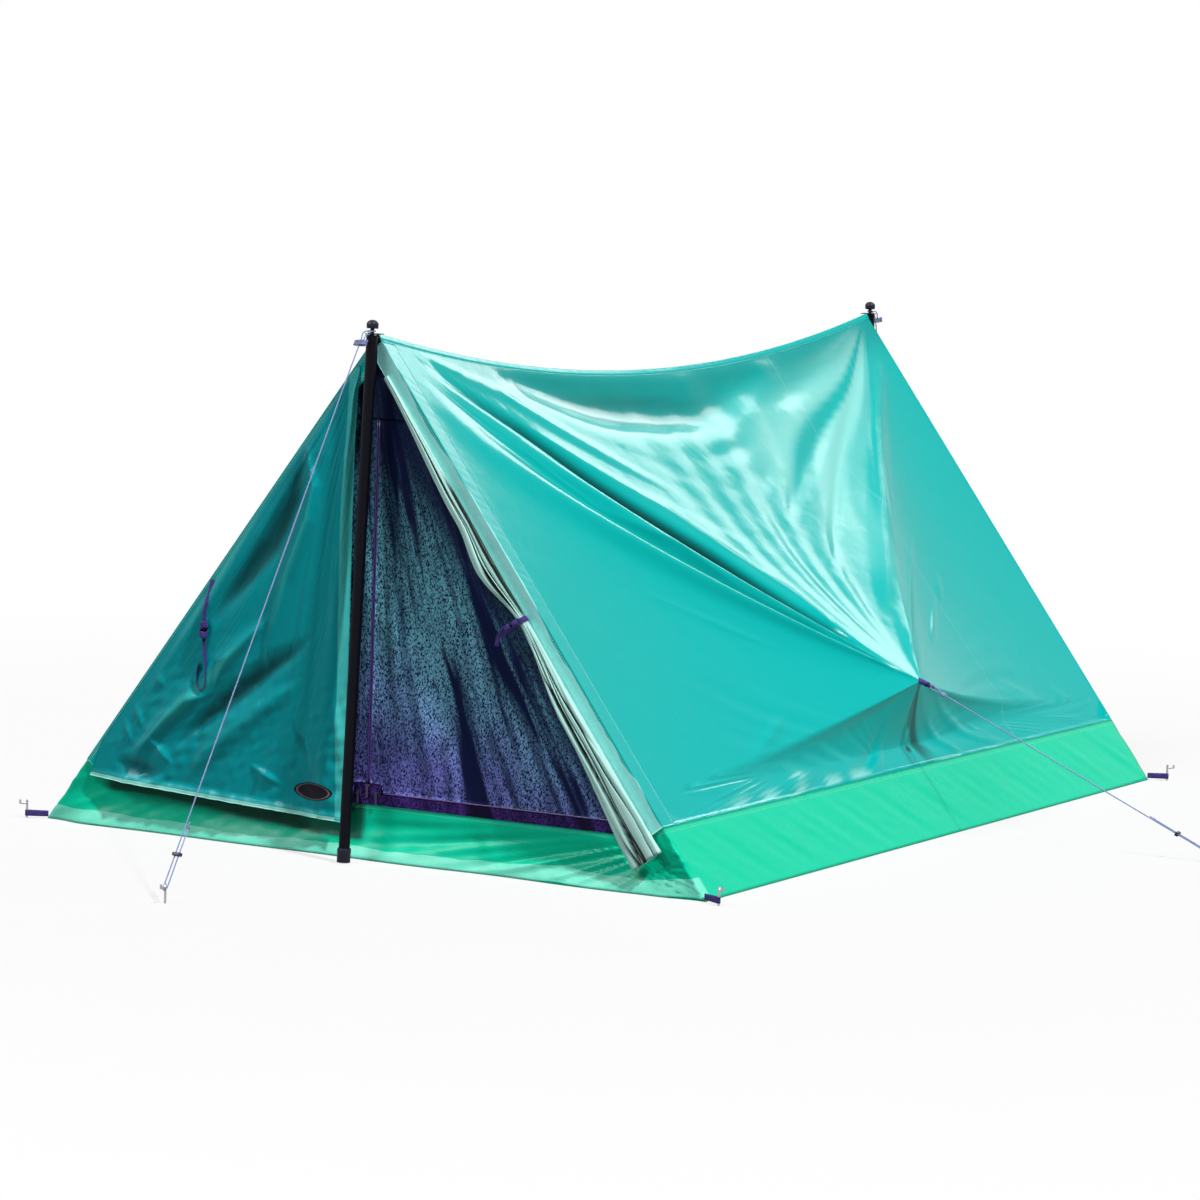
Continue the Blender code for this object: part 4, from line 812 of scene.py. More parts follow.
def loft_mesh(rings, **attributes):
    """A closed body through rings of points, with its UV map in metres."""
    mesh = ring_mesh(rings, rings.mean(axis=1), walked(rings.swapaxes(0, 1)))
    for key, value in attributes.items():
        add_attribute(mesh, key, np.append(np.broadcast_to(value, rings.shape[:2]).ravel(), [0.0, 0.0]))
    remade(mesh, faced_out)
    mesh.shade_smooth()
    return mesh


def curve_points(route, steps=16):
    """A smooth curve through a route's points."""
    points = [np.asarray(point, dtype=float) for point in route]
    padded = [2 * points[0] - points[1], *points, 2 * points[-1] - points[-2]]
    fine = []
    for k in range(len(points) - 1):
        before, start, end, after = padded[k:k + 4]
        knot_1 = max(np.linalg.norm(start - before), 1e-6) ** 0.5
        knot_2 = knot_1 + max(np.linalg.norm(end - start), 1e-6) ** 0.5
        knot_3 = knot_2 + max(np.linalg.norm(after - end), 1e-6) ** 0.5
        for step in range(steps):
            at = knot_1 + (knot_2 - knot_1) * step / steps
            a_1 = before + (start - before) * at / knot_1
            a_2 = start + (end - start) * (at - knot_1) / (knot_2 - knot_1)
            a_3 = end + (after - end) * (at - knot_2) / (knot_3 - knot_2)
            b_1 = a_1 + (a_2 - a_1) * at / knot_2
            b_2 = a_2 + (a_3 - a_2) * (at - knot_1) / (knot_3 - knot_1)
            fine.append(b_1 + (b_2 - b_1) * (at - knot_1) / (knot_2 - knot_1))
    fine.append(points[-1])
    return np.array(fine)


def smooth_line(route, readings):
    """Evenly spaced points on the smooth curve through a route."""
    fine = curve_points(route, 24)
    reach = walked(fine)
    spots = np.linspace(0.0, reach[-1], readings)
    return np.stack([np.interp(spots, reach, fine[:, k]) for k in range(3)], axis=1)


def thin_out(fine, readings):
    """Fewer points: close together where the curve turns, and far apart where it runs straight."""
    steps = np.linalg.norm(np.diff(fine, axis=0), axis=1)
    ways = unit(np.diff(fine, axis=0))
    turns = np.arccos(np.clip(np.sum(ways[:-1] * ways[1:], axis=1), -1.0, 1.0))
    weights = np.concatenate([[0.0], np.cumsum(steps + 0.25 * np.concatenate([turns, [0.0]]))])
    spots = np.linspace(0.0, weights[-1], readings)
    picked = np.unique(np.searchsorted(weights, spots).clip(0, len(fine) - 1))
    return fine[picked]


# Lines of the tent that several pieces share


def slope_x(height):
    """Half width of the gable's outline at a height."""
    return HALF_WIDTH * (1.0 - height / APEX_HEIGHT)


def inner_x(height, gap):
    """Half width inside the side walls in the plane of the doors, with a gap square to the wall."""
    top = APEX_HEIGHT - RIDGE_SAG * (1.0 - (GABLE_PLANE / HALF_LENGTH) ** 2)
    wide = FOOT_X * (top - height) / (top - TUB_HEIGHT)
    return wide - (CLOTH + gap) / COS_SLOPE


def ridge_z(y):
    """Height of the sagging ridge."""
    share = np.minimum(np.abs(y) / HALF_LENGTH, 1.0)
    return APEX_HEIGHT - RIDGE_SAG * (1.0 - share * share)


def wall_length(y):
    """Length of a side wall from the ridge down to the tub seam."""
    return np.hypot(FOOT_X, ridge_z(y) - TUB_HEIGHT)


def wall_points(side, y, share, lift):
    """Points of a side wall: share 0 on the ridge, 1 on the tub seam, lifted square to the wall."""
    y, share, lift = np.broadcast_arrays(y, share, lift)
    rise = ridge_z(y) - TUB_HEIGHT
    length = wall_length(y)
    x = share * FOOT_X + lift * rise / length
    z = ridge_z(y) - share * rise + lift * FOOT_X / length
    return stacked(side * x, y, z)


def bump(distance, width):
    """A smooth hump of 1 that fades with the distance."""
    return np.exp(-((distance / width) ** 2))


def eased(value, low, high):
    """0 below low and 1 above high, eased between them."""
    step = np.clip((value - low) / (high - low), 0.0, 1.0)
    return step * step * (3.0 - 2.0 * step)


def waves(seed, count, low, high):
    """Seeded numbers for small folds: rates, phases and weights."""
    source = np.random.default_rng(seed)
    rates = np.exp(source.uniform(math.log(low), math.log(high), count))
    return rates, source.uniform(0.0, math.tau, count), source.uniform(0.4, 1.0, count)


def ripple(value, seed, count, low, high):
    """Uneven but repeatable ripples of a value, about -1 to 1."""
    total = np.zeros_like(np.asarray(value, dtype=float))
    rates, phases, weights = waves(seed, count, low, high)
    for rate, phase, weight in zip(rates, phases, weights):
        total += weight * np.sin(value * rate * math.tau + phase)
    return total / weights.sum()


def creases(y, down, folds):
    """Small folds drawn on a cloth: each is a line, a depth, a width, and its sharpness."""
    total = np.zeros(np.broadcast(y, down).shape)
    for line, depth, width, sharp in folds:
        best = np.full(total.shape, 1e9)
        spot = np.zeros(total.shape)
        lengths = [math.dist(a, b) for a, b in zip(line, line[1:])]
        passed = 0.0
        for (y_0, d_0), (y_1, d_1), length in zip(line, line[1:], lengths):
            part = ((y - y_0) * (y_1 - y_0) + (down - d_0) * (d_1 - d_0)) / (length * length)
            part = np.clip(part, 0.0, 1.0)
            gap = np.hypot(y - y_0 - part * (y_1 - y_0), down - d_0 - part * (d_1 - d_0))
            nearer = gap < best
            best = np.where(nearer, gap, best)
            spot = np.where(nearer, (passed + part * length) / sum(lengths), spot)
            passed += length
        swell = np.sin(math.pi * np.clip(spot, 0.02, 0.98)) ** 0.7
        total += depth * swell * np.exp(-((best / (width * (0.4 + 0.6 * swell))) ** sharp))
    return total


# Guylines and what is on them


def lashing(start, along, across, turns, length, gap, cord):
    """Turns of cord wrapped round the line at its knot, as points."""
    along = unit(along)
    across = unit(across - along * np.dot(across, along))
    upright = np.cross(along, across)
    spots = np.linspace(0.0, 1.0, turns * 14)[:, None]
    angle = spots * turns * math.tau
    ring = across * np.cos(angle) * (gap + cord) + upright * np.sin(angle) * cord * 2.05
    return start + along * (length * spots) + ring


def stopper(end, along, cord):
    """A small overhand knot at a cord's end, as points, with a short free tip."""
    along = unit(along)
    side = unit(np.cross(along, [0.31, 0.42, 0.85]))
    upright = np.cross(along, side)
    angle = np.linspace(0.0, math.tau * 1.55, 34)[:, None]
    wide = cord * (1.55 + 0.35 * np.sin(1.5 * angle))
    ring = side * (np.cos(angle) * wide) + upright * (np.sin(angle) * wide)
    knot = end + along * (np.linspace(-1.2, 2.2, 34) * cord)[:, None] + ring
    tip = knot[-1] + along * (cord * np.array([[1.5], [3.5], [6.0]])) + upright * cord * 0.4
    return np.concatenate([knot, tip])


def guyline(word, route, wraps_from):
    """One guyline: knotted at the tent, round its stake, back up through the runner to a stopper knot."""
    cord = bpy.context.scene.tent_rigging.cord_diameter / 2
    path = thin_out(curve_points(route), 64)
    line = new_piece(f"{word}_guyline_braid", tube_mesh(path, cord, 12), "cord", f"{word}_guyline")
    route = np.array(route)
    away = route[wraps_from + 1] - route[wraps_from]
    across = route[0] - route[wraps_from - 1]
    middle = (route[0] + route[wraps_from - 1]) / 2 + unit(away) * 0.001
    wraps = lashing(middle, away, across, 4, 0.011, np.linalg.norm(across) / 2, cord * 0.95)
    knot = new_piece(f"{word}_line_knot", tube_mesh(wraps, cord * 0.9, 8), "cord")
    tail = stopper(route[-1], route[-1] - route[-2], cord)
    stop = new_piece(f"{word}_tail_knot", tube_mesh(tail, cord * 0.92, 8), "cord")
    give_finish(f"{word}_runner", "plastic")


def give_finish(node, finish):
    """A CAD node keeps its shape and takes the full finish."""
    for slot in bpy.data.objects[node].material_slots:
        slot.material = finishes()[finish]


def deselect():
    """Leaves edit mode and selects nothing."""
    if bpy.context.object and bpy.context.object.mode != "OBJECT":
        bpy.ops.object.mode_set(mode="OBJECT")
    bpy.ops.object.select_all(action="DESELECT")


def edit(piece):
    """Opens a piece for editing with nothing selected."""
    bpy.context.view_layer.objects.active = piece
    bpy.ops.object.mode_set(mode="EDIT")
    bpy.ops.mesh.select_mode(type="FACE")
    bpy.ops.mesh.select_all(action="DESELECT")


def pick_faces(piece, test):
    """Selects the faces whose middle and direction pass a test."""
    bpy.ops.object.mode_set(mode="OBJECT")
    for face in piece.data.polygons:
        face.select = bool(test(face.center, face.normal))
    bpy.ops.object.mode_set(mode="EDIT")


def finish_edit(angle):
    """Leaves edit mode with the faces turned outwards and the shading smooth below an angle."""
    bpy.ops.mesh.select_all(action="SELECT")
    bpy.ops.mesh.remove_doubles(threshold=0.00001)
    bpy.ops.mesh.normals_make_consistent(inside=False)
    bpy.ops.object.mode_set(mode="OBJECT")
    applied()
    bpy.ops.object.shade_smooth_by_angle(angle=math.radians(angle))
    bpy.ops.object.select_all(action="DESELECT")


def named(name):
    """The active object, with its name."""
    piece = bpy.context.object
    piece.name = name
    return piece


def applied():
    """Makes the active object's place, turn and size part of its mesh."""
    bpy.ops.object.transform_apply(location=True, rotation=True, scale=True)


def extrude(x, y, z):
    """Draws out what is selected."""
    bpy.ops.mesh.extrude_region_move(TRANSFORM_OT_translate={"value": (x, y, z)})


def laid(pattern, matrix):
    """A copy of a pattern's mesh, laid by the matrix."""
    mesh = pattern.data.copy()
    mesh.transform(matrix)
    return mesh


def wire_stake():
    """A wire stake at the origin, its hook towards +X: a circle drawn up, spun over and drawn down."""
    deselect()
    bpy.ops.mesh.primitive_circle_add(vertices=16, radius=0.00225, fill_type="NGON", location=(0.0, 0.0, 0.0))
    piece = named("wire_stake")
    edit(piece)
    bpy.ops.mesh.select_all(action="SELECT")
    for rise in (0.018, 0.018):
        extrude(0.0, 0.0, rise)
    bpy.ops.mesh.spin(steps=14, angle=math.pi, center=(0.007, 0.0, 0.036), axis=(0.0, 1.0, 0.0))
    for drop in (-0.0070, -0.0010):
        extrude(0.0, 0.0, drop)
    bpy.ops.transform.resize(value=(0.72, 0.72, 1.0))
    finish_edit(50.0)
    return piece


def corner_place(side, end):
    """A floor corner and the way its loop runs to the stake."""
    low = 0.004
    edge = HALF_LENGTH - SILL_SET_BACK * low / SILL_HEIGHT
    corner = Vector((side * slope_x(low), end * edge, low + 0.006))
    return corner, Vector((side * 0.9, end * 0.45, 0.0)).normalized()


# Side walls


# Each fold of a side wall: its line as (y, distance below the ridge), its depth, width and sharpness
WALL_FOLDS = [
    ([(-0.99, 0.005), (-0.68, 0.084), (-0.49, 0.18), (-0.235, 0.31)], 0.0050, 0.014, 1.6),
    ([(-0.95, 0.032), (-0.727, 0.129), (-0.546, 0.229), (-0.31, 0.371), (-0.174, 0.506), (-0.089, 0.61),
      (0.012, 0.89)], 0.0040, 0.007, 1.3),
    ([(-0.896, 0.065), (-0.685, 0.177), (-0.528, 0.297), (-0.368, 0.416), (-0.268, 0.497), (-0.071, 0.715),
      (-0.023, 0.853)], -0.0280, 0.025, 1.8),
    ([(-0.848, 0.179), (-0.746, 0.247), (-0.621, 0.366), (-0.457, 0.471), (-0.34, 0.589), (-0.193, 0.709),
      (-0.054, 0.836), (0.019, 0.89)], 0.0040, 0.007, 1.3),
    ([(-0.643, 0.566), (-0.452, 0.663), (-0.307, 0.746)], 0.0015, 0.008, 2.0),
    ([(-0.422, 0.88), (-0.601, 0.962)], 0.0040, 0.010, 2.0),
    ([(-0.805, 0.999), (-0.658, 1.047)], 0.0050, 0.014, 2.0),
    ([(-0.553, 1.029), (-0.425, 1.02)], 0.0080, 0.020, 2.0),
    ([(-0.081, 0.941), (-0.119, 0.988), (-0.263, 1.038)], -0.0060, 0.012, 2.0),
    ([(-0.055, 0.950), (-0.090, 0.995), (-0.225, 1.045)], 0.0040, 0.010, 2.0),
    ([(0.134, 0.948), (0.273, 1.038)], 0.0050, 0.012, 2.0),
    ([(0.16, 0.917), (0.298, 0.974), (0.45, 1.047)], 0.0050, 0.012, 2.0),
    ([(0.361, 0.976), (0.468, 1.048)], 0.0040, 0.010, 2.0),
    ([(0.579, 0.897), (0.788, 1.014)], 0.0030, 0.008, 2.0),
    ([(0.556, 0.919), (0.917, 1.091)], 0.0030, 0.008, 2.0),
    ([(0.6, 1.0), (0.624, 1.06)], 0.0030, 0.008, 2.0),
    ([(0.84, 0.96), (0.975, 1.099)], 0.0030, 0.008, 2.0),
    ([(0.616, 0.542), (0.358, 0.678), (0.078, 0.831)], 0.0040, 0.012, 2.0),
    ([(0.644, 0.634), (0.564, 0.701)], 0.0040, 0.008, 2.0),
    ([(0.543, 0.689), (0.333, 0.797)], 0.0040, 0.008, 2.0),
    ([(1.039, 0.096), (0.564, 0.437), (0.156, 0.722)], 0.0080, 0.030, 2.0),
    ([(1.042, 0.038), (0.767, 0.182), (0.511, 0.329), (0.153, 0.57)], -0.0050, 0.018, 2.0),
    ([(0.921, 0.146), (0.706, 0.297)], -0.0030, 0.008, 2.0),
    ([(0.779, 0.141), (0.426, 0.284), (0.17, 0.408)], -0.0060, 0.025, 2.0),
    ([(0.81, 0.056), (0.611, 0.103), (0.39, 0.134)], -0.0060, 0.030, 2.0),
    ([(0.011, 0.241), (0.272, 0.208)], -0.0030, 0.018, 2.0),
    ([(-0.009, 0.167), (0.204, 0.163)], -0.0020, 0.010, 2.0),
    ([(0.289, 0.252), (0.153, 0.333)], -0.0030, 0.014, 2.0),
    ([(-0.620, 0.040), (-0.300, 0.085), (0.140, 0.105), (0.450, 0.060)], -0.0260, 0.055, 2.6),
    ([(-0.839, 0.311), (-0.801, 0.367)], 0.0015, 0.006, 2.0),
    ([(-0.9, 0.222), (-0.89, 0.291)], 0.0015, 0.006, 2.0),
]


def graded(start, end, spacing):
    """Positions from start to just before end, as far apart as spacing says at each."""
    way = 1.0 if end > start else -1.0
    spots = [start]
    while (end - spots[-1]) * way > spacing(spots[-1]):
        spots.append(spots[-1] + way * spacing(spots[-1]))
    last = spots[-1] + way * spacing(spots[-1])
    return start + (np.array(spots) - start) * (end - start) / (last - start)


def top_share(y):
    """Where a wall starts below the ridge, so that the two walls don't meet inside."""
    return (CLOTH * (ridge_z(y) - TUB_HEIGHT) / wall_length(y) + 0.00015) / FOOT_X


def wall_border():
    """The edge of a wall as (y, share): ridge, rear hem, tub seam and front hem, closest near the apexes."""
    hem = float(wall_length(HALF_LENGTH))
    ridge = graded(-HALF_LENGTH, HALF_LENGTH, lambda y: 0.0055 + 0.010 * float(
        eased(min(abs(y + HALF_LENGTH), abs(y - HALF_LENGTH)), 0.20, 0.50)))
    down = graded(0.0, hem, lambda d: 0.0060 + 0.011 * float(eased(d, 0.15, 0.45))) / hem
    seam = graded(HALF_LENGTH, -HALF_LENGTH, lambda y: 0.0135)
    foot = 1.0 - SEAM_GAP / hem
    top = float(top_share(HALF_LENGTH))
    front = 1.0 - graded(0.0, hem, lambda d: 0.017 - 0.011 * float(eased(d, hem - 0.45, hem - 0.15))) / hem
    y = np.concatenate([ridge, np.full(len(down), HALF_LENGTH), seam, np.full(len(front), -HALF_LENGTH)])
    share = np.concatenate([top_share(ridge), top + (foot - top) * down, np.full(len(seam), foot),
                            top + (foot - top) * front])
    return y, share


def pull_foot():
    """The pull-out's place on the wall as (y, share), before it is pulled."""
    return PULL_BEHIND_MIDDLE, 1.0 - PULL_ABOVE_TUB / float(wall_length(PULL_BEHIND_MIDDLE))


def flat_reach(y, share):
    """How far from the pull-out towards each edge point the cloth is drawn: to the flat hem band."""
    start_y, start_share = pull_foot()
    band = HEM_BAND / float(wall_length(0.0))
    limits = [np.ones_like(y)]
    with np.errstate(divide="ignore", invalid="ignore"):
        limits.append(np.where(y > start_y, (HALF_LENGTH - HEM_BAND - start_y) / (y - start_y), 1.0))
        limits.append(np.where(y < start_y, (start_y + HALF_LENGTH - HEM_BAND) / (start_y - y), 1.0))
        limits.append(np.where(share > start_share, (1.0 - band - start_share) / (share - start_share), 1.0))
        limits.append(np.where(share < start_share, (start_share - band) / (start_share - share), 1.0))
    return np.minimum.reduce(limits)


def wall_lift(y, share, reach):
    """How far the pull-out draws the cloth outwards, at a reach of 0 to 1 towards an edge point."""
    at_front = np.hypot(y + HALF_LENGTH, share * wall_length(y))
    at_rear = np.hypot(HALF_LENGTH - y, share * wall_length(y))
    near_seam = np.where(share > 0.99, bump(y - PULL_BEHIND_MIDDLE, 0.7), 0.0)
    sharpness = 2.3 - 0.8 * bump(at_front, 0.3) - 0.8 * bump(at_rear, 0.3) - near_seam
    lift = PULL_STANDOFF * (1.0 - reach) ** sharpness
    along_edge = np.where((share < 0.5) & (y > -HALF_LENGTH + 0.001), at_front, -at_front)
    pleat = PLEAT_CREST * (bump(along_edge - PLEAT_HALF_WIDTH, 0.06) + bump(along_edge + PLEAT_HALF_WIDTH, 0.06))
    pleat = pleat - PLEAT_VALLEY * bump(along_edge, 0.05)
    return lift + pleat * (4.0 * reach * (1.0 - reach)) ** 1.5


def apex_streaks(from_apex, down, seed):
    """Fine taut wrinkles that fan out of one end of the ridge towards the pull-out."""
    angle = np.arctan2(down, from_apex)
    far = np.hypot(down, from_apex)
    near_line = bump(angle - 0.50, 0.30)
    fade = eased(far, 0.05, 0.25) * (1.0 - eased(far, 0.9, 1.35))
    bend = 0.012 * np.sin(far * 9.0 + seed)
    return ripple(angle + bend, seed, 9, 7.0, 34.0) * near_line * fade


def seam_puckers(y, above, seed, depth):
    """Short puckers where the cloth is gathered on a seam, nothing on the seam itself."""
    near = eased(above, 0.0, 0.012) * (1.0 - eased(above, 0.012, 0.055))
    return depth * near * ripple(y, seed, 10, 14.0, 60.0)


def side_wall(side, seed):
    """One side wall: pulled out at its middle, with its long pleat and the folds that fan out of it."""
    folds = bpy.context.scene.tent_cloth.fold_depth
    edge_y, edge_share = wall_border()
    start_y, start_share = pull_foot()
    rings = 66
    reach = ((np.arange(rings + 1) / rings) ** 1.25)[:, None]
    step = reach * flat_reach(edge_y, edge_share)
    lift = wall_lift(edge_y[None], edge_share[None], reach)
    y = start_y + step * (edge_y - start_y)
    share = start_share + step * (edge_share - start_share)
    band = np.linspace(0.0, 1.0, 6)[1:, None]
    y = np.concatenate([y, y[-1:] + band * (edge_y - y[-1:])])
    share = np.concatenate([share, share[-1:] + band * (edge_share - share[-1:])])
    lift = np.concatenate([lift, np.zeros((5, len(edge_y)))])
    down = share * wall_length(y)
    above = wall_length(y) - down
    calm = eased(HALF_LENGTH - np.abs(y), 0.046, 0.085) * eased(down, 0.013, 0.040) * eased(above, 0.0, 0.020)
    shift = 0.0 if side > 0 else 0.02
    drawn = creases(y - shift, down * (1.0 + shift), WALL_FOLDS)
    # Painted shade: darkest in the long valley, lighter in the other deep folds, and a band of it below the front half
    # of the ridge
    valley = creases(y - shift, down * (1.0 + shift), WALL_FOLDS[2:3])
    shaded = 0.35 * eased(-drawn, 0.010, 0.024) + 0.60 * eased(-valley, 0.003, 0.015)
    shaded = shaded + 0.26 * (1.0 - eased(down, 0.03, 0.12)) * eased(y, -0.95, -0.60)
    drawn = drawn + 0.0010 * apex_streaks(y + HALF_LENGTH, down, seed)
    drawn = drawn + 0.0009 * apex_streaks(HALF_LENGTH - y, down, seed + 1)
    wedge = np.arctan2(above, np.abs(y - start_y) + 0.02)
    inside = (1.0 - eased(wedge, 0.30, 0.55)) * eased(np.abs(y - start_y), 0.06, 0.16)
    inside = inside * (1.0 - eased(np.abs(y - start_y), 0.52, 0.80))
    drawn = drawn + 0.0022 * inside * ripple(wedge * 1.4 + y * 0.6, seed + 2, 7, 3.0, 9.0)
    drawn = drawn + seam_puckers(y, down - 0.012, seed + 3, 0.0009)
    drawn = drawn + seam_puckers(y, above, seed + 4, 0.0016)
    up_angle = np.arctan2(y - start_y, start_share * wall_length(y) - down)
    far = np.hypot(y - start_y, start_share * wall_length(y) - down)
    fan = (1.0 - eased(np.abs(up_angle + 0.08), 0.52, 0.78)) * eased(far, 0.06, 0.35)
    fan = fan * ripple(up_angle + 0.10 * np.sin(far * 6.0), seed + 7, 8, 1.6, 6.0)
    drawn = drawn + (0.0028 + 0.0014 * eased(y, 0.0, 0.4)) * fan
    # Painted shade in a fan of streaks below the pull-out
    below = down - start_share * wall_length(y)
    from_pull = np.arctan2(y - start_y, below)
    under = (1.0 - eased(np.abs(from_pull - 0.55), 0.45, 0.75)) * (1.0 - eased(far, 0.10, 0.19))
    under = under * eased(below, 0.0, 0.02)
    shaded = shaded + 0.75 * under * eased(ripple(from_pull, seed + 9, 6, 1.0, 3.5), -0.15, 0.25)
    # Painted highlight: glints on the puckers along the tub seam, from near the front to the middle of the wall
    puffs = eased(ripple(y, seed + 8, 8, 2.0, 9.0), 0.0, 0.30) * (1.0 - eased(above, 0.010, 0.034))
    rubbed = 0.75 * puffs * eased(above, 0.0, 0.004) * eased(y, -0.86, -0.74) * (1.0 - eased(y, 0.0, 0.10))
    # Painted highlight: light islands in a fan out of the rear end of the ridge
    turned = np.arctan2(HALF_LENGTH - y, down)
    from_rear = np.hypot(HALF_LENGTH - y, down)
    panel = eased(turned, 0.80, 0.85) * (1.0 - eased(turned, 1.28, 1.50))
    panel = panel * eased(from_rear, 0.04, 0.14) * (1.0 - eased(from_rear, 0.78, 1.05))
    panel = panel * eased(ripple(turned + 0.05 * np.sin(from_rear * 8.0), seed + 10, 8, 2.0, 8.0), -0.30, 0.12)
    rubbed = rubbed + 0.70 * panel
    clouds = ripple(y + 0.4 * down, seed + 5, 5, 1.2, 3.5) * ripple(down - 0.3 * y, seed + 6, 5, 1.2, 3.5)
    drawn = drawn + 0.0020 * clouds
    grid = wall_points(side, y, share, lift + folds * calm * drawn)
    return merged(cloth_mesh(grid, (side * 0.8, 0.0, 0.6), stacked(y, down), wrap=True,
                             shaded=np.clip(shaded, 0.0, 0.9), rubbed=rubbed))


def ridge_cover():
    """The tape over the ridge seam, a little puckered by its stitches."""
    y = np.linspace(-HALF_LENGTH, HALF_LENGTH, 300)[:, None]
    lift = COVER_LIFT + cloth_gauge()
    spread = np.array([-12.0, -11.0, -9.0, -6.0, -3.0, -1.2, 0.0, 1.2, 3.0, 6.0, 9.0, 11.0, 12.0]) / 1000.0
    side = np.where(spread < 0.0, -1.0, 1.0)[None]
    puckers = 0.00035 * ripple(y + spread * 0.4, 71, 9, 20.0, 90.0)
    settled = 1.0 - 0.75 * eased(np.abs(spread), 0.0088, 0.0120)[None]
    grid = wall_points(1.0, y, np.abs(spread)[None] / wall_length(y), (lift + puckers) * settled)
    peak = lift * wall_length(y) / FOOT_X
    ease = bump(spread, 0.0016)[None]
    grid[..., 0] = grid[..., 0] * side * (1.0 - ease)
    grid[..., 2] = grid[..., 2] * (1.0 - ease) + (ridge_z(y) + peak * 0.92) * ease
    return cloth_mesh(grid, UP, stacked(spread + TAPE_HALF_WIDTH, y))


def hem_binding(side):
    """The binding folded round a wall's front edge, with the lip that lies in the gable."""
    gauge = 0.0010
    share = np.linspace((TAPE_HALF_WIDTH + 0.004) / float(wall_length(HALF_LENGTH)), 1.0, 260)[:, None]
    top = COVER_LIFT + gauge
    round_off = 0.0012
    band = np.linspace(BINDING_WIDTH, 0.002, 12)
    turn = np.linspace(0.0, math.pi / 2, 6)
    lip = np.linspace(0.03, 1.0, 16)
    front = -HALF_LENGTH - SEAM_GAP - gauge
    y = np.concatenate([-HALF_LENGTH + band, front + round_off * (1.0 - np.sin(turn)), np.full(16, front)])[None]
    room = np.minimum(LIP_WIDTH, (share * FOOT_X - 0.0012) / COS_SLOPE)
    lift = np.concatenate([
        np.broadcast_to(top, (len(share), 12)),
        np.broadcast_to((top - round_off * (1.0 - np.cos(turn)))[None], (len(share), 6)),
        (top - round_off) + (COVER_LIFT - room - top + round_off) * lip[None],
    ], axis=1)
    along = share * float(wall_length(HALF_LENGTH))
    flat = [BINDING_WIDTH - band, BINDING_WIDTH + 0.001 * turn, BINDING_WIDTH + 0.002 + LIP_WIDTH * lip]
    flat = np.concatenate(flat)[None]
    puckers = 0.00030 * ripple(along + flat * 0.5, 81 + side, 10, 30.0, 120.0)
    inner = eased(flat, BINDING_WIDTH + 0.004, BINDING_WIDTH + 0.012)
    outer = 1.0 - eased(flat, BINDING_WIDTH - 0.010, BINDING_WIDTH - 0.002)
    grid = wall_points(side, np.maximum(y, -HALF_LENGTH), share, lift + puckers * outer)
    grid[..., 1] = y - np.abs(puckers) * 0.7 * inner
    outward = np.where((flat < BINDING_WIDTH)[..., None], (side * 0.8, 0.0, 0.6), AHEAD)
    return cloth_mesh(grid, outward, stacked(flat, along), gauge)


# Tub floor


def tub_lines():
    """Base and rim of the tub all round, with the way that each place faces."""
    sill = SILL_WIDTH / 2 + 0.01
    back = HALF_LENGTH - SILL_SET_BACK
    quarter = [
        ((-HALF_WIDTH, -HALF_LENGTH, 0.0), (-FOOT_X, -HALF_LENGTH, TUB_HEIGHT), 16),
        ((-sill, -HALF_LENGTH, 0.0), (-sill, -back, SILL_HEIGHT), 190),
        ((sill, -HALF_LENGTH, 0.0), (sill, -back, SILL_HEIGHT), 16),
        ((HALF_WIDTH, -HALF_LENGTH, 0.0), (FOOT_X, -HALF_LENGTH, TUB_HEIGHT), 190),
    ]
    marks = quarter + [
        ((-b[0], -b[1], b[2]), (-r[0], -r[1], r[2]), count) for b, r, count in quarter
    ]
    base = []
    rim = []
    for number, (low, high, count) in enumerate(marks):
        next_low, next_high, _ = marks[(number + 1) % len(marks)]
        part = np.linspace(0.0, 1.0, count, endpoint=False)[:, None]
        base.append(np.array(low) + part * (np.array(next_low) - np.array(low)))
        rim.append(np.array(high) + part * (np.array(next_high) - np.array(high)))
    base = np.concatenate(base)
    rim = np.concatenate(rim)
    way = np.roll(base, -3, axis=0) - np.roll(base, 3, axis=0)
    out = unit(np.stack([way[:, 1], -way[:, 0], np.zeros(len(way))], axis=1))
    return base, rim, out


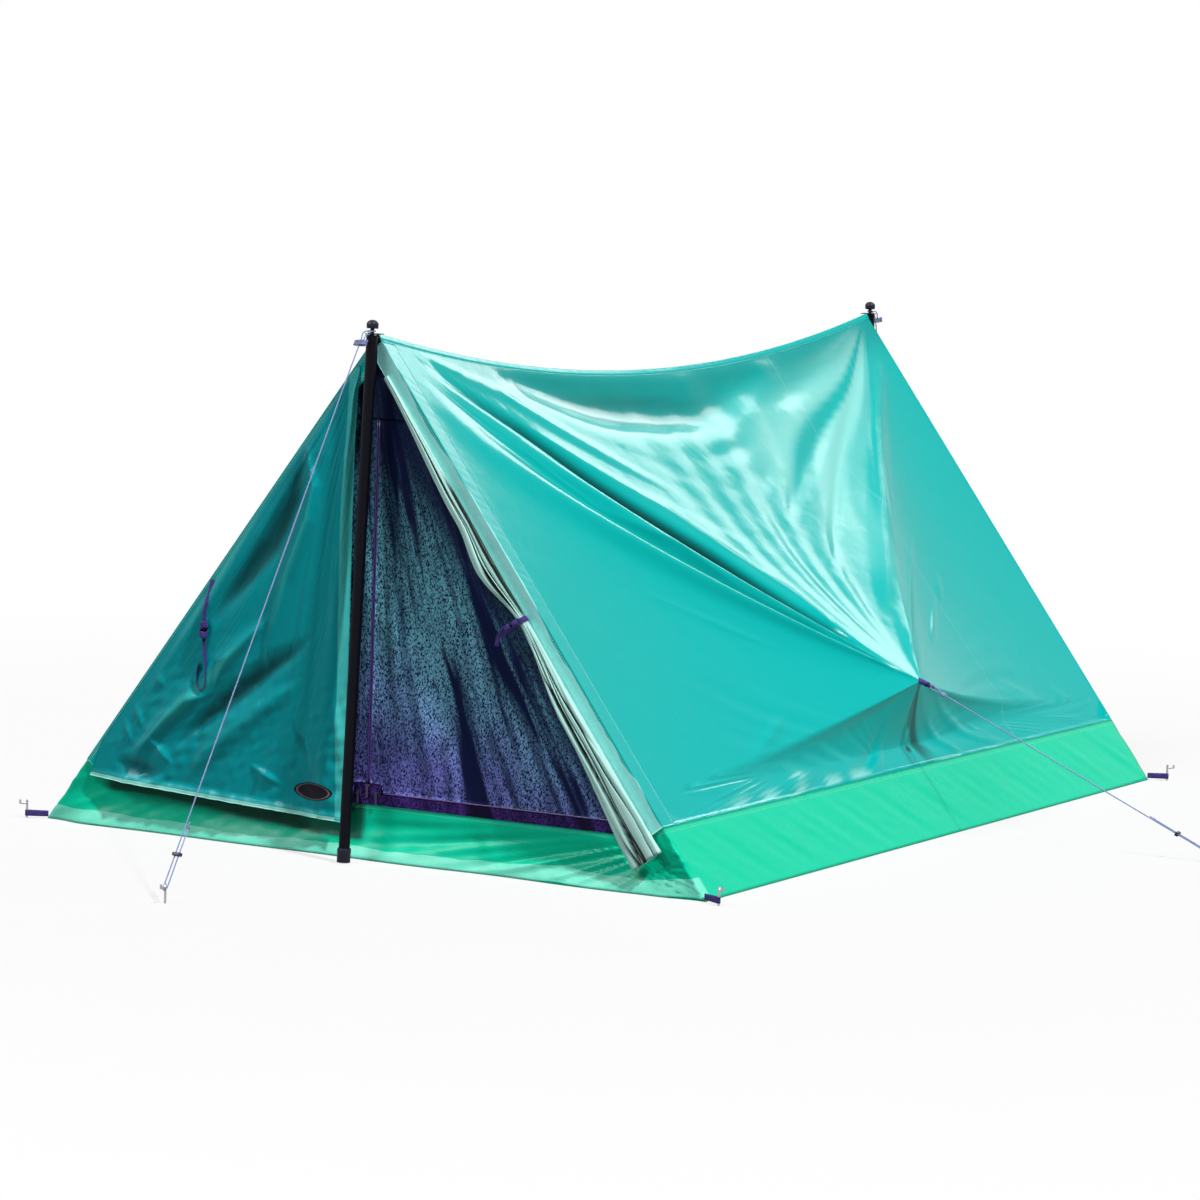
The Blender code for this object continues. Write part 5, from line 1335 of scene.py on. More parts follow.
def tub():
    """The floor and its turned-up sides in one cloth, slumped in folds at the foot of the doorway."""
    base, rim, out = tub_lines()
    around = walked(base)[None]
    up = np.linspace(1.0, 0.0, 22)[:, None]
    grid = rim[None] * up[..., None] + base[None] * (1.0 - up[..., None])
    at_front = (1.0 - eased(base[:, 1], -HALF_LENGTH + 0.001, -HALF_LENGTH + 0.02))[None]
    x = base[None, :, 0]
    corner = eased(0.76 - np.abs(x), 0.02, 0.10)
    uneven = 0.75 + 0.35 * ripple(around, 91, 6, 0.8, 3.0)
    slump = -0.0040 * bump(up - 0.66, 0.16) + 0.0200 * (1.0 - eased(up, -0.08, 0.52))
    bulge = slump * uneven * at_front * corner * (1.0 - eased(up, 0.88, 1.0))
    wave = np.sin(math.pi * up) ** 0.8
    lean = around + 0.35 * up * (x - 0.2)
    small = 0.0036 * wave * ripple(lean, 92, 12, 4.0, 22.0)
    fan = np.arctan2(0.135 - up * 0.10, 0.80 - x)
    drawn = 0.0065 * wave * at_front * ripple(fan * 2.6, 93, 7, 3.0, 9.0) * eased(x, -0.45, 0.30)
    grid = grid + out[None] * (bulge + small + drawn)[..., None]
    grid[..., 2] += 0.0012 * wave * ripple(around + 3.0 * up, 94, 8, 6.0, 20.0)
    edge = np.linalg.norm(base, axis=1).max()
    shares = np.array([0.992, 0.96, 0.86, 0.68, 0.46, 0.24, 0.08, 0.0])[:, None, None]
    floor = grid[-1][None] * shares
    floor[..., 2] = 0.0
    drop = 0.132
    depth = np.concatenate([(1.0 - up) * drop, drop + (1.0 - shares[..., 0]) * edge])
    grid = np.concatenate([grid, floor])
    grid[..., 2] = np.maximum(grid[..., 2], 0.0)
    facing = np.concatenate([np.broadcast_to(out[None], (len(up), len(base), 3)), np.broadcast_to(-UP, floor.shape)])
    # Painted shadow of the shut flap on the front of the tub, below its hem
    under_flap = eased(x, -0.66, -0.60) * (1.0 - eased(x, -0.012, 0.004))
    reach_down = 0.72 - 0.36 * eased(x, -0.62, 0.0)
    under_flap = under_flap * eased(up, reach_down - 0.07, reach_down + 0.02) * at_front * 0.88
    shaded = np.concatenate([under_flap, np.zeros((len(floor), len(base)))])
    return merged(cloth_mesh(grid, facing, stacked(around, depth), wrap=True, shaded=shaded))


# Doorway


def cut_cloth(outline):
    """A flat piece of cloth across the doorway, cut to an outline of (x, z) and split into small faces."""
    gauge = cloth_gauge()
    spacing = 0.03
    cage = bmesh.new()
    verts = []
    for (x, z), (x_1, z_1) in zip(outline, outline[1:] + outline[:1]):
        count = max(1, int(math.dist((x, z), (x_1, z_1)) / spacing))
        verts += [cage.verts.new((x + (x_1 - x) * n / count, -GABLE_PLANE, z + (z_1 - z) * n / count))
                  for n in range(count)]
    for near, far in zip(verts, verts[1:] + verts[:1]):
        cage.edges.new((near, far))
    bmesh.ops.triangle_fill(cage, edges=cage.edges[:], use_beauty=True, use_dissolve=False)
    bmesh.ops.recalc_face_normals(cage, faces=cage.faces)
    if sum(face.normal.y for face in cage.faces) > 0.0:
        bmesh.ops.reverse_faces(cage, faces=cage.faces)
    bmesh.ops.translate(cage, vec=(0.0, -gauge / 2, 0.0), verts=cage.verts)
    front = list(cage.faces)
    made = bmesh.ops.duplicate(cage, geom=cage.verts[:] + cage.edges[:] + cage.faces[:])
    back = [item for item in made["geom"] if isinstance(item, bmesh.types.BMFace)]
    bmesh.ops.reverse_faces(cage, faces=back)
    for vert in {vert for face in back for vert in face.verts}:
        vert.co.y += gauge
    twins = made["vert_map"]
    for edge in [edge for face in front for edge in face.edges if edge.is_boundary]:
        loop = edge.link_loops[0]
        near, far = loop.vert, loop.link_loop_next.vert
        cage.faces.new((far, near, twins[near], twins[far]))
    layer = cage.loops.layers.uv.new("cut")
    for face in cage.faces:
        for loop in face.loops:
            loop[layer].uv = (loop.vert.co.x, loop.vert.co.z)
    mesh = bpy.data.meshes.new("flat_cloth")
    cage.to_mesh(mesh)
    cage.free()
    return mesh


def both_sides(right):
    """An outline of (x, z) points of the right half, with its mirror image."""
    return right + [(-x, z) for x, z in reversed(right)]


def sill_cover():
    """The dark strip on the doorway's sill, slotted where the parked sliders straddle it."""
    half = SILL_WIDTH / 2
    recess = half - 0.017
    side_slot = 0.0108
    corner = TUB_HEIGHT + 0.004
    corner_top = DOOR_FOOT + 0.024
    return cut_cloth(both_sides([
        (half, SILL_FOOT), (inner_x(corner, SEAM_GAP), corner), (inner_x(corner_top, SEAM_GAP), corner_top),
        (recess, DOOR_FOOT + 0.008), (recess, ZIP_LINE - ZIP_SLOT), (side_slot, ZIP_LINE - ZIP_SLOT),
        (side_slot, ZIP_LINE + ZIP_SLOT), (PARK_HALF, ZIP_LINE + ZIP_SLOT), (PARK_HALF, PARK_TOP),
        (ZIP_SLOT, PARK_TOP), (ZIP_SLOT, ZIP_LINE + 0.0045),
    ]))


def gusset():
    """The mesh corner that stays fixed above the doors, slotted where the slider ends its run."""
    return cut_cloth(both_sides([
        (ZIP_SLOT, GUSSET_FOOT + 0.0123), (ZIP_SLOT, GUSSET_FOOT), (inner_x(GUSSET_FOOT, SEAM_GAP), GUSSET_FOOT),
        (inner_x(GUSSET_TOP, SEAM_GAP), GUSSET_TOP),
    ]))


def door_folds(share, up, z, seed):
    """How far a mesh door stands out of its plane: long slanting folds and small puckers."""
    wave = np.sin(math.tau * (3.2 * share + 1.1 * up))
    calm = np.minimum(np.minimum(5.0 * (1.0 - share), 5.0 * up), 4.0 * (1.0 - up))
    calm = np.clip(calm, 0.0, 1.0) * eased(share, 0.06, 0.13)
    slant = share * 0.62 - 0.55 * up
    fine = 0.0022 * ripple(slant, seed, 9, 4.0, 15.0)
    small = 0.0006 * ripple(slant + 0.2 * np.sin(9.0 * z), seed + 1, 9, 20.0, 60.0)
    return calm * (DOOR_FOLD * wave * 0.85 + fine + small)


def mesh_door(side):
    """Half of the insect mesh, hung from the slope seam."""
    foot_width = inner_x(DOOR_FOOT, DOOR_SEAM_GAP) - DOOR_INNER_EDGE
    notch = (PARK_HALF + PARK_CLEAR - DOOR_INNER_EDGE) / foot_width
    share = np.concatenate([np.linspace(0.0, notch, 5), np.linspace(notch + 0.006, 1.0, 96)])[None]
    up = np.linspace(0.0, 1.0, 130)[:, None]
    foot = np.where(share <= notch + 0.0001, PARK_TOP + PARK_CLEAR, DOOR_FOOT)
    foot = foot + 0.030 * np.clip((share - 0.84) / 0.16, 0.0, 1.0)
    z = foot + (DOOR_TOP - foot) * up
    x = side * (DOOR_INNER_EDGE + share * (inner_x(z, DOOR_SEAM_GAP) - DOOR_INNER_EDGE))
    y = -GABLE_PLANE + door_folds(share, up, z, 60 + side) - cloth_gauge() / 2
    return cloth_mesh(stacked(x, y, z), AHEAD, stacked(x, z))


# Storm flaps


# Each fold of the shut storm flap: its line as (x, z), its depth, width and sharpness
FLAP_CRESTS = [
    ([(-0.150, 0.800), (-0.125, 0.719), (-0.137, 0.653), (-0.185, 0.532), (-0.210, 0.441), (-0.231, 0.354)],
     0.0065, 0.013, 1.7),
    ([(-0.150, 0.800), (-0.180, 0.690), (-0.228, 0.600), (-0.280, 0.535), (-0.330, 0.480), (-0.370, 0.425)],
     -0.0065, 0.024, 2.0),
    ([(-0.215, 0.740), (-0.259, 0.660), (-0.361, 0.498), (-0.440, 0.390), (-0.512, 0.285)], 0.0065, 0.018, 1.7),
    ([(-0.225, 0.450), (-0.275, 0.406), (-0.354, 0.328), (-0.438, 0.252), (-0.542, 0.149)], 0.0080, 0.017, 1.6),
    ([(-0.130, 0.420), (-0.157, 0.396), (-0.222, 0.355), (-0.331, 0.272), (-0.448, 0.176)], -0.0060, 0.020, 2.0),
    ([(-0.150, 0.330), (-0.240, 0.270), (-0.330, 0.200), (-0.400, 0.130)], 0.0045, 0.020, 2.0),
    ([(-0.493, 0.315), (-0.473, 0.299)], 0.0030, 0.010, 2.0),
    ([(-0.548, 0.256), (-0.520, 0.212)], 0.0030, 0.007, 2.0),
    ([(-0.571, 0.223), (-0.548, 0.177)], 0.0030, 0.006, 2.0),
    ([(-0.589, 0.139), (-0.471, 0.120)], -0.0040, 0.018, 2.0),
    ([(-0.495, 0.188), (-0.452, 0.146)], 0.0035, 0.007, 2.0),
    ([(-0.256, 0.159), (-0.184, 0.126)], 0.0030, 0.006, 2.0),
    ([(-0.173, 0.157), (-0.101, 0.105)], 0.0030, 0.006, 2.0),
    ([(-0.060, 0.300), (-0.045, 0.190)], 0.0030, 0.012, 2.0),
    ([(-0.160, 0.250), (-0.120, 0.170)], -0.0030, 0.010, 2.0),
]


def flap_edges(up):
    """The free edge and the seam edge of the shut storm flap, at a share of its height."""
    free_z = FLAP_FOOT + (FLAP_TOP - FLAP_FOOT) * up
    seam_foot = FLAP_FOOT + FLAP_SLANT
    seam_z = seam_foot + (FLAP_TOP - seam_foot) * up
    tuck = 0.005 + 0.026 * np.clip(1.0 - up * 12.0, 0.0, 1.0)
    return free_z, seam_z, slope_x(seam_z) - tuck


def flap_depth(share, up, x, z):
    """How far the shut storm flap stands in front of its seam."""
    wave = 0.5 + 0.5 * np.sin(math.tau * (2.6 * share - 1.4 * up) + 0.6)
    calm = np.minimum(1.0, 3.0 * (1.0 - share)) * np.minimum(1.0, 4.0 * share + 0.15)
    calm = calm * np.minimum(1.0, 3.0 * (1.0 - up))
    seam = np.clip(6.0 * (1.0 - share), 0.0, 1.0) * np.clip(5.0 * (1.0 - up), 0.0, 1.0)
    folds = creases(x, z, FLAP_CRESTS)
    slant = share + 0.10 * up
    folds = folds + 0.0010 * ripple(slant + 0.05 * np.sin(7.0 * up), 103, 9, 6.0, 22.0)
    folds = folds + 0.0007 * ripple(slant + up * 0.3, 104, 9, 24.0, 70.0) * (0.4 + 0.6 * (1.0 - up))
    crinkle = ripple(share * 3.0 + 2.0 * up, 105, 6, 2.0, 7.0) * ripple(up * 4.0 - share, 106, 6, 2.0, 6.0)
    folds = folds + 0.0030 * crinkle * (1.0 - eased(up, 0.10, 0.45))
    turned = 0.0110 * bump(share - 0.085, 0.055) * (1.0 - eased(up, 0.93, 1.0)) * eased(up, 0.0, 0.05)
    height = z - (FLAP_FOOT + FLAP_SLANT * share)
    hem = 0.0050 * (1.0 - eased(height, 0.004, 0.022)) * (1.0 + 0.8 * ripple(share, 107, 9, 6.0, 24.0))
    seam = seam * (1.0 - 0.85 * bump(np.hypot(x + 0.122, (z - 0.130) * 1.3), 0.055))
    depth = FLAP_FOLD * wave * calm * 0.25 + (2.3 * folds * seam + 0.012 * seam) + turned + hem * seam
    by_tie = bump(x + 0.374, 0.040) * eased(z, 0.26, 0.31) * (1.0 - eased(z, 0.53, 0.58))
    return np.clip(depth, 0.0, 0.032 - 0.014 * np.clip(1.6 * by_tie, 0.0, 1.0))


def flap_grid():
    """The shut storm flap's points: their shares across and up, their places, and how far forward they are."""
    share = np.concatenate([np.linspace(0.0, 0.03, 5)[:-1], np.linspace(0.03, 1.0, 130)])[None]
    up = np.concatenate([np.linspace(0.0, 0.03, 10)[:-1], np.linspace(0.03, 1.0, 190)])[:, None]
    free_z, seam_z, seam_x = flap_edges(up)
    x = -(FLAP_EDGE + share * (seam_x - FLAP_EDGE))
    z = free_z + share * (seam_z - free_z)
    return share, up, x, z, flap_depth(share, up, x, z)


def storm_flap():
    """The storm flap that hangs shut, sewn to the left slope, with a double hem round it."""
    share, _, x, z, depth = flap_grid()
    uv = stacked(-x - FLAP_EDGE, z - (FLAP_FOOT + FLAP_SLANT * share))
    # Painted shade in the valleys of the folds, and painted highlight on their crests
    folds = creases(x, z, FLAP_CRESTS)
    shaded = 0.72 * eased(-folds, 0.0002, 0.0058)
    rubbed = 0.30 * eased(folds, 0.0030, 0.0075)
    return cloth_mesh(stacked(x, -FLAP_BACK - cloth_gauge() - depth, z), AHEAD, uv, shaded=shaded, rubbed=rubbed)


def flap_front(x, z):
    """How far forward the outer face of the shut flap is at some places."""
    _, _, grid_x, grid_z, depth = flap_grid()
    near = (np.abs(grid_x - np.mean(x)) < 0.06) & (np.abs(grid_z - np.mean(z)) < 0.05)
    spots = stacked(grid_x[near], grid_z[near])
    gap = np.linalg.norm(stacked(np.ravel(x), np.ravel(z))[:, None] - spots, axis=-1)
    weight = 1.0 / (gap + 0.0008) ** 3
    reading = (weight * depth[near]).sum(axis=1) / weight.sum(axis=1)
    return -FLAP_BACK - cloth_gauge() - reading.reshape(np.shape(x))


def oval_label():
    """A blank oval label sewn on the shut flap, a little proud of it."""
    turn = np.linspace(0.0, math.tau, 48, endpoint=False)[None]
    share = np.array([0.0, 0.15, 0.3, 0.42, 0.52, 0.62, 0.72, 0.80, 0.86, 0.93, 1.0])[:, None]
    x = -0.110 + 0.047 * share * np.cos(turn)
    z = 0.1225 + 0.017 * share * np.sin(turn)
    y = flap_front(x, z) - 0.0011 - 0.0003 * bump(share - 0.93, 0.06)
    grid = stacked(x, y, z)
    grid[0] = grid[0].mean(axis=0)
    border = eased(share, 0.80, 0.86) - eased(share, 0.86, 0.93)
    return merged(cloth_mesh(grid, AHEAD, gauge=0.0006, wrap=True, border=border))


def level(pairs, share):
    """Value on a line drawn through (share, value) pairs, eased at each pair."""
    total = np.full(np.shape(share), pairs[-1][1], dtype=float)
    for (start, low), (end, high) in reversed(list(zip(pairs, pairs[1:]))):
        total = np.where(share <= end, low + (high - low) * eased(share, start, end), total)
    return total


def roll_section(distance):
    """Half width, half depth and stand-off of the tied-back flap, at a distance down the slope."""
    past = distance - TIE_DISTANCE
    start = ROLL_START - TIE_DISTANCE
    end = ROLL_END - TIE_DISTANCE
    half_width = [(start, 0.006), (-0.23, 0.015), (-0.13, 0.021), (0.0, 0.009), (0.22, 0.022), (end, 0.036)]
    half_depth = [(start, 0.004), (-0.23, 0.009), (-0.13, 0.013), (0.0, 0.009), (0.22, 0.017), (end, 0.012)]
    stand_off = [(start, 0.0), (-0.21, 0.0), (0.0, 0.003), (0.25, 0.0), (end, 0.0)]
    return [level(pairs, past) for pairs in (half_width, half_depth, stand_off)]


def roll_centre(distance):
    """Middle of the tied-back flap."""
    half_width, half_depth, stand_off = roll_section(distance)
    inward = ROLL_INSET + half_width
    x = distance * SIN_SLOPE - inward * COS_SLOPE
    z = APEX_HEIGHT - distance * COS_SLOPE - inward * SIN_SLOPE
    return stacked(x, -FLAP_BACK - stand_off - half_depth, z)


def rolled_flap():
    """The other storm flap, gathered back along the slope: layers of cloth with slits between them, darkened by painted
    shade.
    """
    upper = TIE_DISTANCE - ROLL_START
    lower = ROLL_END - TIE_DISTANCE
    above = ROLL_START + upper * (1.0 - (1.0 - np.linspace(0.0, 1.0, 90)) ** 1.15)
    below = ROLL_END - lower * (1.0 - np.linspace(0.0, 1.0, 110)[1:] ** 1.15)
    distance = np.concatenate([above, below])[:, None]
    past = distance - TIE_DISTANCE
    angle = np.linspace(0.0, math.tau, 150, endpoint=False)[None]
    half_width, half_depth, _ = roll_section(distance)
    open_up = 1.0 - bump(past, 0.035)
    lobe = 1.0 - 0.14 * np.maximum(0.0, np.sin(angle)) * (1.0 - np.cos(3 * angle + 5.0 * distance)) * open_up
    slits = np.zeros(np.broadcast(distance, angle).shape)
    # Each slit: its middle and how that turns down the roll, its depth and width, and where it starts and ends
    layers = (
        (0.95, 0.9, 0.62, 0.11, -1.0, 1.0), (1.55, -0.8, 0.50, 0.09, -1.0, 1.0), (2.20, 0.6, 0.60, 0.11, -1.0, 1.0),
        (1.25, 0.5, 0.42, 0.07, 0.03, 0.55), (1.90, -0.5, 0.42, 0.07, 0.03, 0.55), (2.65, -0.3, 0.40, 0.10, -0.5, 0.3),
        (0.50, 0.5, 0.50, 0.12, -0.2, 0.6), (1.45, -0.8, 0.62, 0.26, -0.13, -0.015),
    )
    for middle, drift, depth, width, low, high in layers:
        inside = eased(past, low - 0.02, low + 0.04) * (1.0 - eased(past, high - 0.05, high + 0.02))
        gap = angle - (middle + drift * past + 0.07 * np.sin(past * 31.0 + middle * 9.0))
        slits = slits + depth * inside * bump(gap, width) * (0.35 + 0.65 * open_up)
    creased = 0.05 * ripple(angle * 0.8 + past * 0.6, 111, 8, 1.0, 4.0)
    creased = creased + 0.03 * ripple(past + angle * 0.02, 112, 10, 9.0, 40.0)
    flared = 1.0 + 0.10 * eased(past, 0.30, 0.50) * ripple(angle * 0.5 + past, 113, 6, 1.0, 3.0)
    slits = slits * np.maximum(0.0, np.sin(angle))
    size = np.clip(lobe - slits + creased * open_up, 0.30, 1.08) * flared
    centre = roll_centre(distance[:, 0])[:, None]
    rings = centre + INWARD * (half_width * size * np.cos(angle))[..., None]
    rings = rings + AHEAD * (half_depth * size * np.sin(angle))[..., None]
    rings[..., 1] = np.minimum(rings[..., 1], -FLAP_BACK - 0.0001)
    # Painted shade in the slits, and a painted shadow along the roll's outer side above the tie, where it meets the
    # binding
    shaded = eased(slits, 0.10, 0.32)
    beside = eased(-np.cos(angle), 0.72, 0.94) * eased(past, -0.34, -0.28) * (1.0 - eased(past, -0.02, 0.02))
    return loft_mesh(rings, shaded=np.maximum(shaded, beside))


def roll_tie():
    """The tape round the gathered flap: the points of its line, and its mesh."""
    half_width, half_depth, _ = roll_section(TIE_DISTANCE)
    middle = roll_centre(TIE_DISTANCE)
    clear = 2 * SEAM_GAP + 0.0005
    path = [middle + INWARD * inward + AHEAD * (half_depth + ahead)
            for inward, ahead in ((0.052, 0.001), (0.040, 0.004), (0.026, 0.005), (0.012, 0.0045))]
    for angle in np.radians(np.arange(100, 401, 25)):
        path.append(middle + INWARD * ((half_width + clear) * math.cos(angle))
                    + AHEAD * ((half_depth + clear) * math.sin(angle)))
    return path, tape_mesh(path, (SIN_SLOPE, 0.0, -COS_SLOPE), 0.011, 0.0010, 5)


def tie_knot(middle, along, size, out=AHEAD):
    """A small overhand knot of narrow tape, as a wound strip."""
    along = unit(along)
    cross = unit(np.cross(along, out))
    angle = np.linspace(0.0, math.tau * 1.9, 46)[:, None]
    radius = size * (0.62 + 0.10 * np.sin(1.5 * angle))
    path = middle + along * (size * 0.9 * np.sin(angle * 0.5 + 0.4))
    path = path + cross * (radius * np.cos(angle)) + out * (radius * 0.75 * np.sin(angle))
    return tape_mesh(path, along, size * 1.1, 0.0012, 2)


def shut_flap_tie():
    """The loose tape of the shut flap with the open loop at its end: the points of its line, and its mesh."""
    front = -FLAP_BACK - THIN_CLOTH - SEAM_GAP - 0.004
    ahead = front - FLAP_FOLD
    path = [(-0.3640, front, 0.5200), (-0.3670, front - 0.004, 0.4950), (-0.3715, ahead, 0.4600),
            (-0.3730, ahead, 0.4200), (-0.3710, ahead, 0.3800), (-0.3670, ahead, 0.3500)]
    for step in range(9):
        angle = math.radians(-22.5 * step)
        path.append((-0.3770 + 0.0105 * math.cos(angle), ahead, 0.3160 + 0.0150 * math.sin(angle)))
    path += [(-0.3872, ahead, 0.3380), (-0.3820, ahead - 0.001, 0.3520)]
    path = [np.array(point) for point in path]
    across = []
    for number in range(len(path)):
        twist = 0.55 * math.sin(number / (len(path) - 1) * 5.0)
        held = (math.cos(twist) * 0.95, math.sin(twist), 0.12)
        across.append(held if number < 3 else (math.sin(twist) * 0.8, 1.0, 0.1))
    return path, tape_mesh(path, across, 0.009, 0.0010, 8)


# Rear gable


def window_outline(inset, readings):
    """The window's outline as evenly spread (x, z) points, its corners rounded, drawn in by an inset."""
    bend = WINDOW_CORNER
    corners = [(WINDOW_FOOT_HALF - bend, WINDOW_FOOT + bend, -90.0, 24.0),
               (WINDOW_TOP_HALF - bend, WINDOW_TOP - bend, 15.0, 90.0)]
    points = []
    for x, z, start, end in corners:
        for angle in np.radians(np.linspace(start, end, 12)):
            points.append((x + (bend - inset) * math.cos(angle), z + (bend - inset) * math.sin(angle)))
    loop = both_sides(points)
    loop = np.array(loop + loop[:1])
    reach = walked(loop)
    spots = np.linspace(0.0, reach[-1], readings, endpoint=False)
    return np.stack([np.interp(spots, reach, loop[:, k]) for k in (0, 1)], axis=1)


def gable_outline(window):
    """Where lines from the window's middle through its outline meet the rear wall's edge."""
    corner = TUB_HEIGHT + 0.004
    edge = both_sides([(SILL_WIDTH / 2, SILL_FOOT), (inner_x(corner, SEAM_GAP), corner),
                       (inner_x(GUSSET_TOP, SEAM_GAP), GUSSET_TOP)])
    spots = []
    for x, z in window:
        way = np.array([x, z]) - WINDOW_MIDDLE
        best = 1e9
        for (x_0, z_0), (x_1, z_1) in zip(edge, edge[1:] + edge[:1]):
            side = np.array([x_1 - x_0, z_1 - z_0])
            cross = way[0] * side[1] - way[1] * side[0]
            if abs(cross) < 1e-12:
                continue
            gap = np.array([x_0, z_0]) - WINDOW_MIDDLE
            far = (gap[0] * side[1] - gap[1] * side[0]) / cross
            part = (gap[0] * way[1] - gap[1] * way[0]) / cross
            if far > 0.0 and -1e-9 <= part <= 1.0 + 1e-9:
                best = min(best, far)
        spots.append(WINDOW_MIDDLE + way * best)
    spots = np.array(spots)
    for corner_spot in edge:
        spots[np.argmin(np.linalg.norm(spots - corner_spot, axis=1))] = corner_spot
    return spots


def rear_cloth():
    """The rear wall round its window, drawn tight between its seams."""
    window = window_outline(0.0, 300)
    edge = gable_outline(window)
    share = np.linspace(0.0, 1.0, 44)[:, None, None]
    flat = window[None] + share * (edge - window)[None]
    x = flat[..., 0]
    z = flat[..., 1]
    calm = np.sin(math.pi * share[..., 0]) ** 0.7
    angle = np.arctan2(x, APEX_HEIGHT - z)
    folds = 0.0035 * ripple(angle * 2.2, 121, 8, 1.5, 8.0) * eased(APEX_HEIGHT - z, 0.08, 0.30)
    folds = folds + 0.0016 * ripple(x * 2.0 + z * 1.2, 122, 9, 2.0, 9.0)
    y = GABLE_PLANE + cloth_gauge() / 2 + np.maximum(folds * calm, -0.003)
    return cloth_mesh(stacked(x, y, z), -AHEAD, flat, wrap=True)


def window_binding():
    """The tape bound round the rear window."""
    line = window_outline(0.0, 260)
    way = unit(line - WINDOW_MIDDLE)
    puckers = 0.0002 * ripple(np.arange(260) / 260.0 * 2.0, 131, 8, 8.0, 40.0)
    face = GABLE_PLANE + cloth_gauge() / 2 + 0.0008
    rings = []
    for out, proud in ((-0.002, 0.0), (-0.0015, 0.0016), (0.004, 0.0022), (0.012, 0.0021), (0.0135, 0.0012),
                       (0.0135, 0.0007)):
        spot = line + way * out
        rings.append(stacked(spot[:, 0], face + proud + puckers, spot[:, 1]))
    return cloth_mesh(np.array(rings), -AHEAD, gauge=0.0006, wrap=True)


def window_mesh():
    """The insect mesh in the rear window, slack by a few millimetres."""
    share = np.linspace(1.0, 0.0, 40)[:, None, None]
    flat = WINDOW_MIDDLE + share * (window_outline(SEAM_GAP, 200) - WINDOW_MIDDLE)
    x = flat[..., 0]
    z = flat[..., 1]
    slack = 0.0030 * (1.0 - share[..., 0] ** 2) * ripple(x * 3.0 + z * 2.0, 141, 7, 0.8, 4.0)
    return merged(cloth_mesh(stacked(x, GABLE_PLANE + 0.0005 + slack, z), -AHEAD, flat, 0.0007, wrap=True))


def window_flap():
    """The cloth that hangs over the window inside, held along its top."""
    overlap = 0.022
    foot = WINDOW_FOOT - overlap
    up = np.linspace(0.0, 1.0, 70)[:, None]
    across = np.linspace(0.0, 1.0, 90)[None]
    z = foot + (WINDOW_TOP + overlap - foot) * up
    half = WINDOW_FOOT_HALF + (WINDOW_TOP_HALF - WINDOW_FOOT_HALF) * up + overlap / 2
    x = half * (2 * across - 1)
    fold = 0.006 * np.abs(np.sin(math.pi * 3 * across)) * (1.0 - up)
    fold = fold + 0.0012 * (1.0 + ripple(across + 0.2 * up, 151, 8, 4.0, 14.0)) * (1.0 - up ** 3)
    y = GABLE_PLANE - THIN_CLOTH / 2 - SEAM_GAP - THIN_CLOTH - fold
    return cloth_mesh(stacked(x, y, z), -AHEAD, stacked(x + 0.3, z - foot))


# Poles, zips, webbing


def drawn_round(name, profile, closed=False):
    """A round piece drawn up through rings of (radius, height); a closed one joins its last ring to its first."""
    deselect()
    radius, height = profile[0]
    fill = "NOTHING" if closed else "NGON"
    bpy.ops.mesh.primitive_circle_add(vertices=40, radius=radius, fill_type=fill, location=(0.0, 0.0, height))
    piece = named(name)
    applied()
    bpy.context.view_layer.objects.active = piece
    bpy.ops.object.mode_set(mode="EDIT")
    bpy.ops.mesh.select_mode(type="EDGE")
    bpy.ops.mesh.select_all(action="SELECT")
    for next_radius, next_height in profile[1:]:
        extrude(0.0, 0.0, next_height - height)
        grow = next_radius / radius
        bpy.ops.transform.resize(value=(grow, grow, 1.0), center_override=(0.0, 0.0, next_height))
        radius, height = next_radius, next_height
    if closed:
        bpy.ops.mesh.select_all(action="DESELECT")
        bpy.ops.mesh.select_non_manifold()
        bpy.ops.mesh.bridge_edge_loops()
    finish_edit(38.0)
    return piece


def pole_stand(end):
    """Where a pole stands and leans, with its length from the ground to its shoulder."""
    lean = math.atan2(POLE_FOOT_OUT - HOLE_OUT, TAB_FOOT)
    lift = (POLE_RADIUS + POLE_FIT + FOOT_WALL) * math.sin(lean)
    length = (TAB_FOOT - lift) / math.cos(lean) - POLE_FIT - POLE_RADIUS * math.tan(lean)
    turn = Matrix.Rotation(end * lean, 4, "X")
    return Matrix.Translation((0.0, end * (HALF_LENGTH + POLE_FOOT_OUT), lift)) @ turn, length


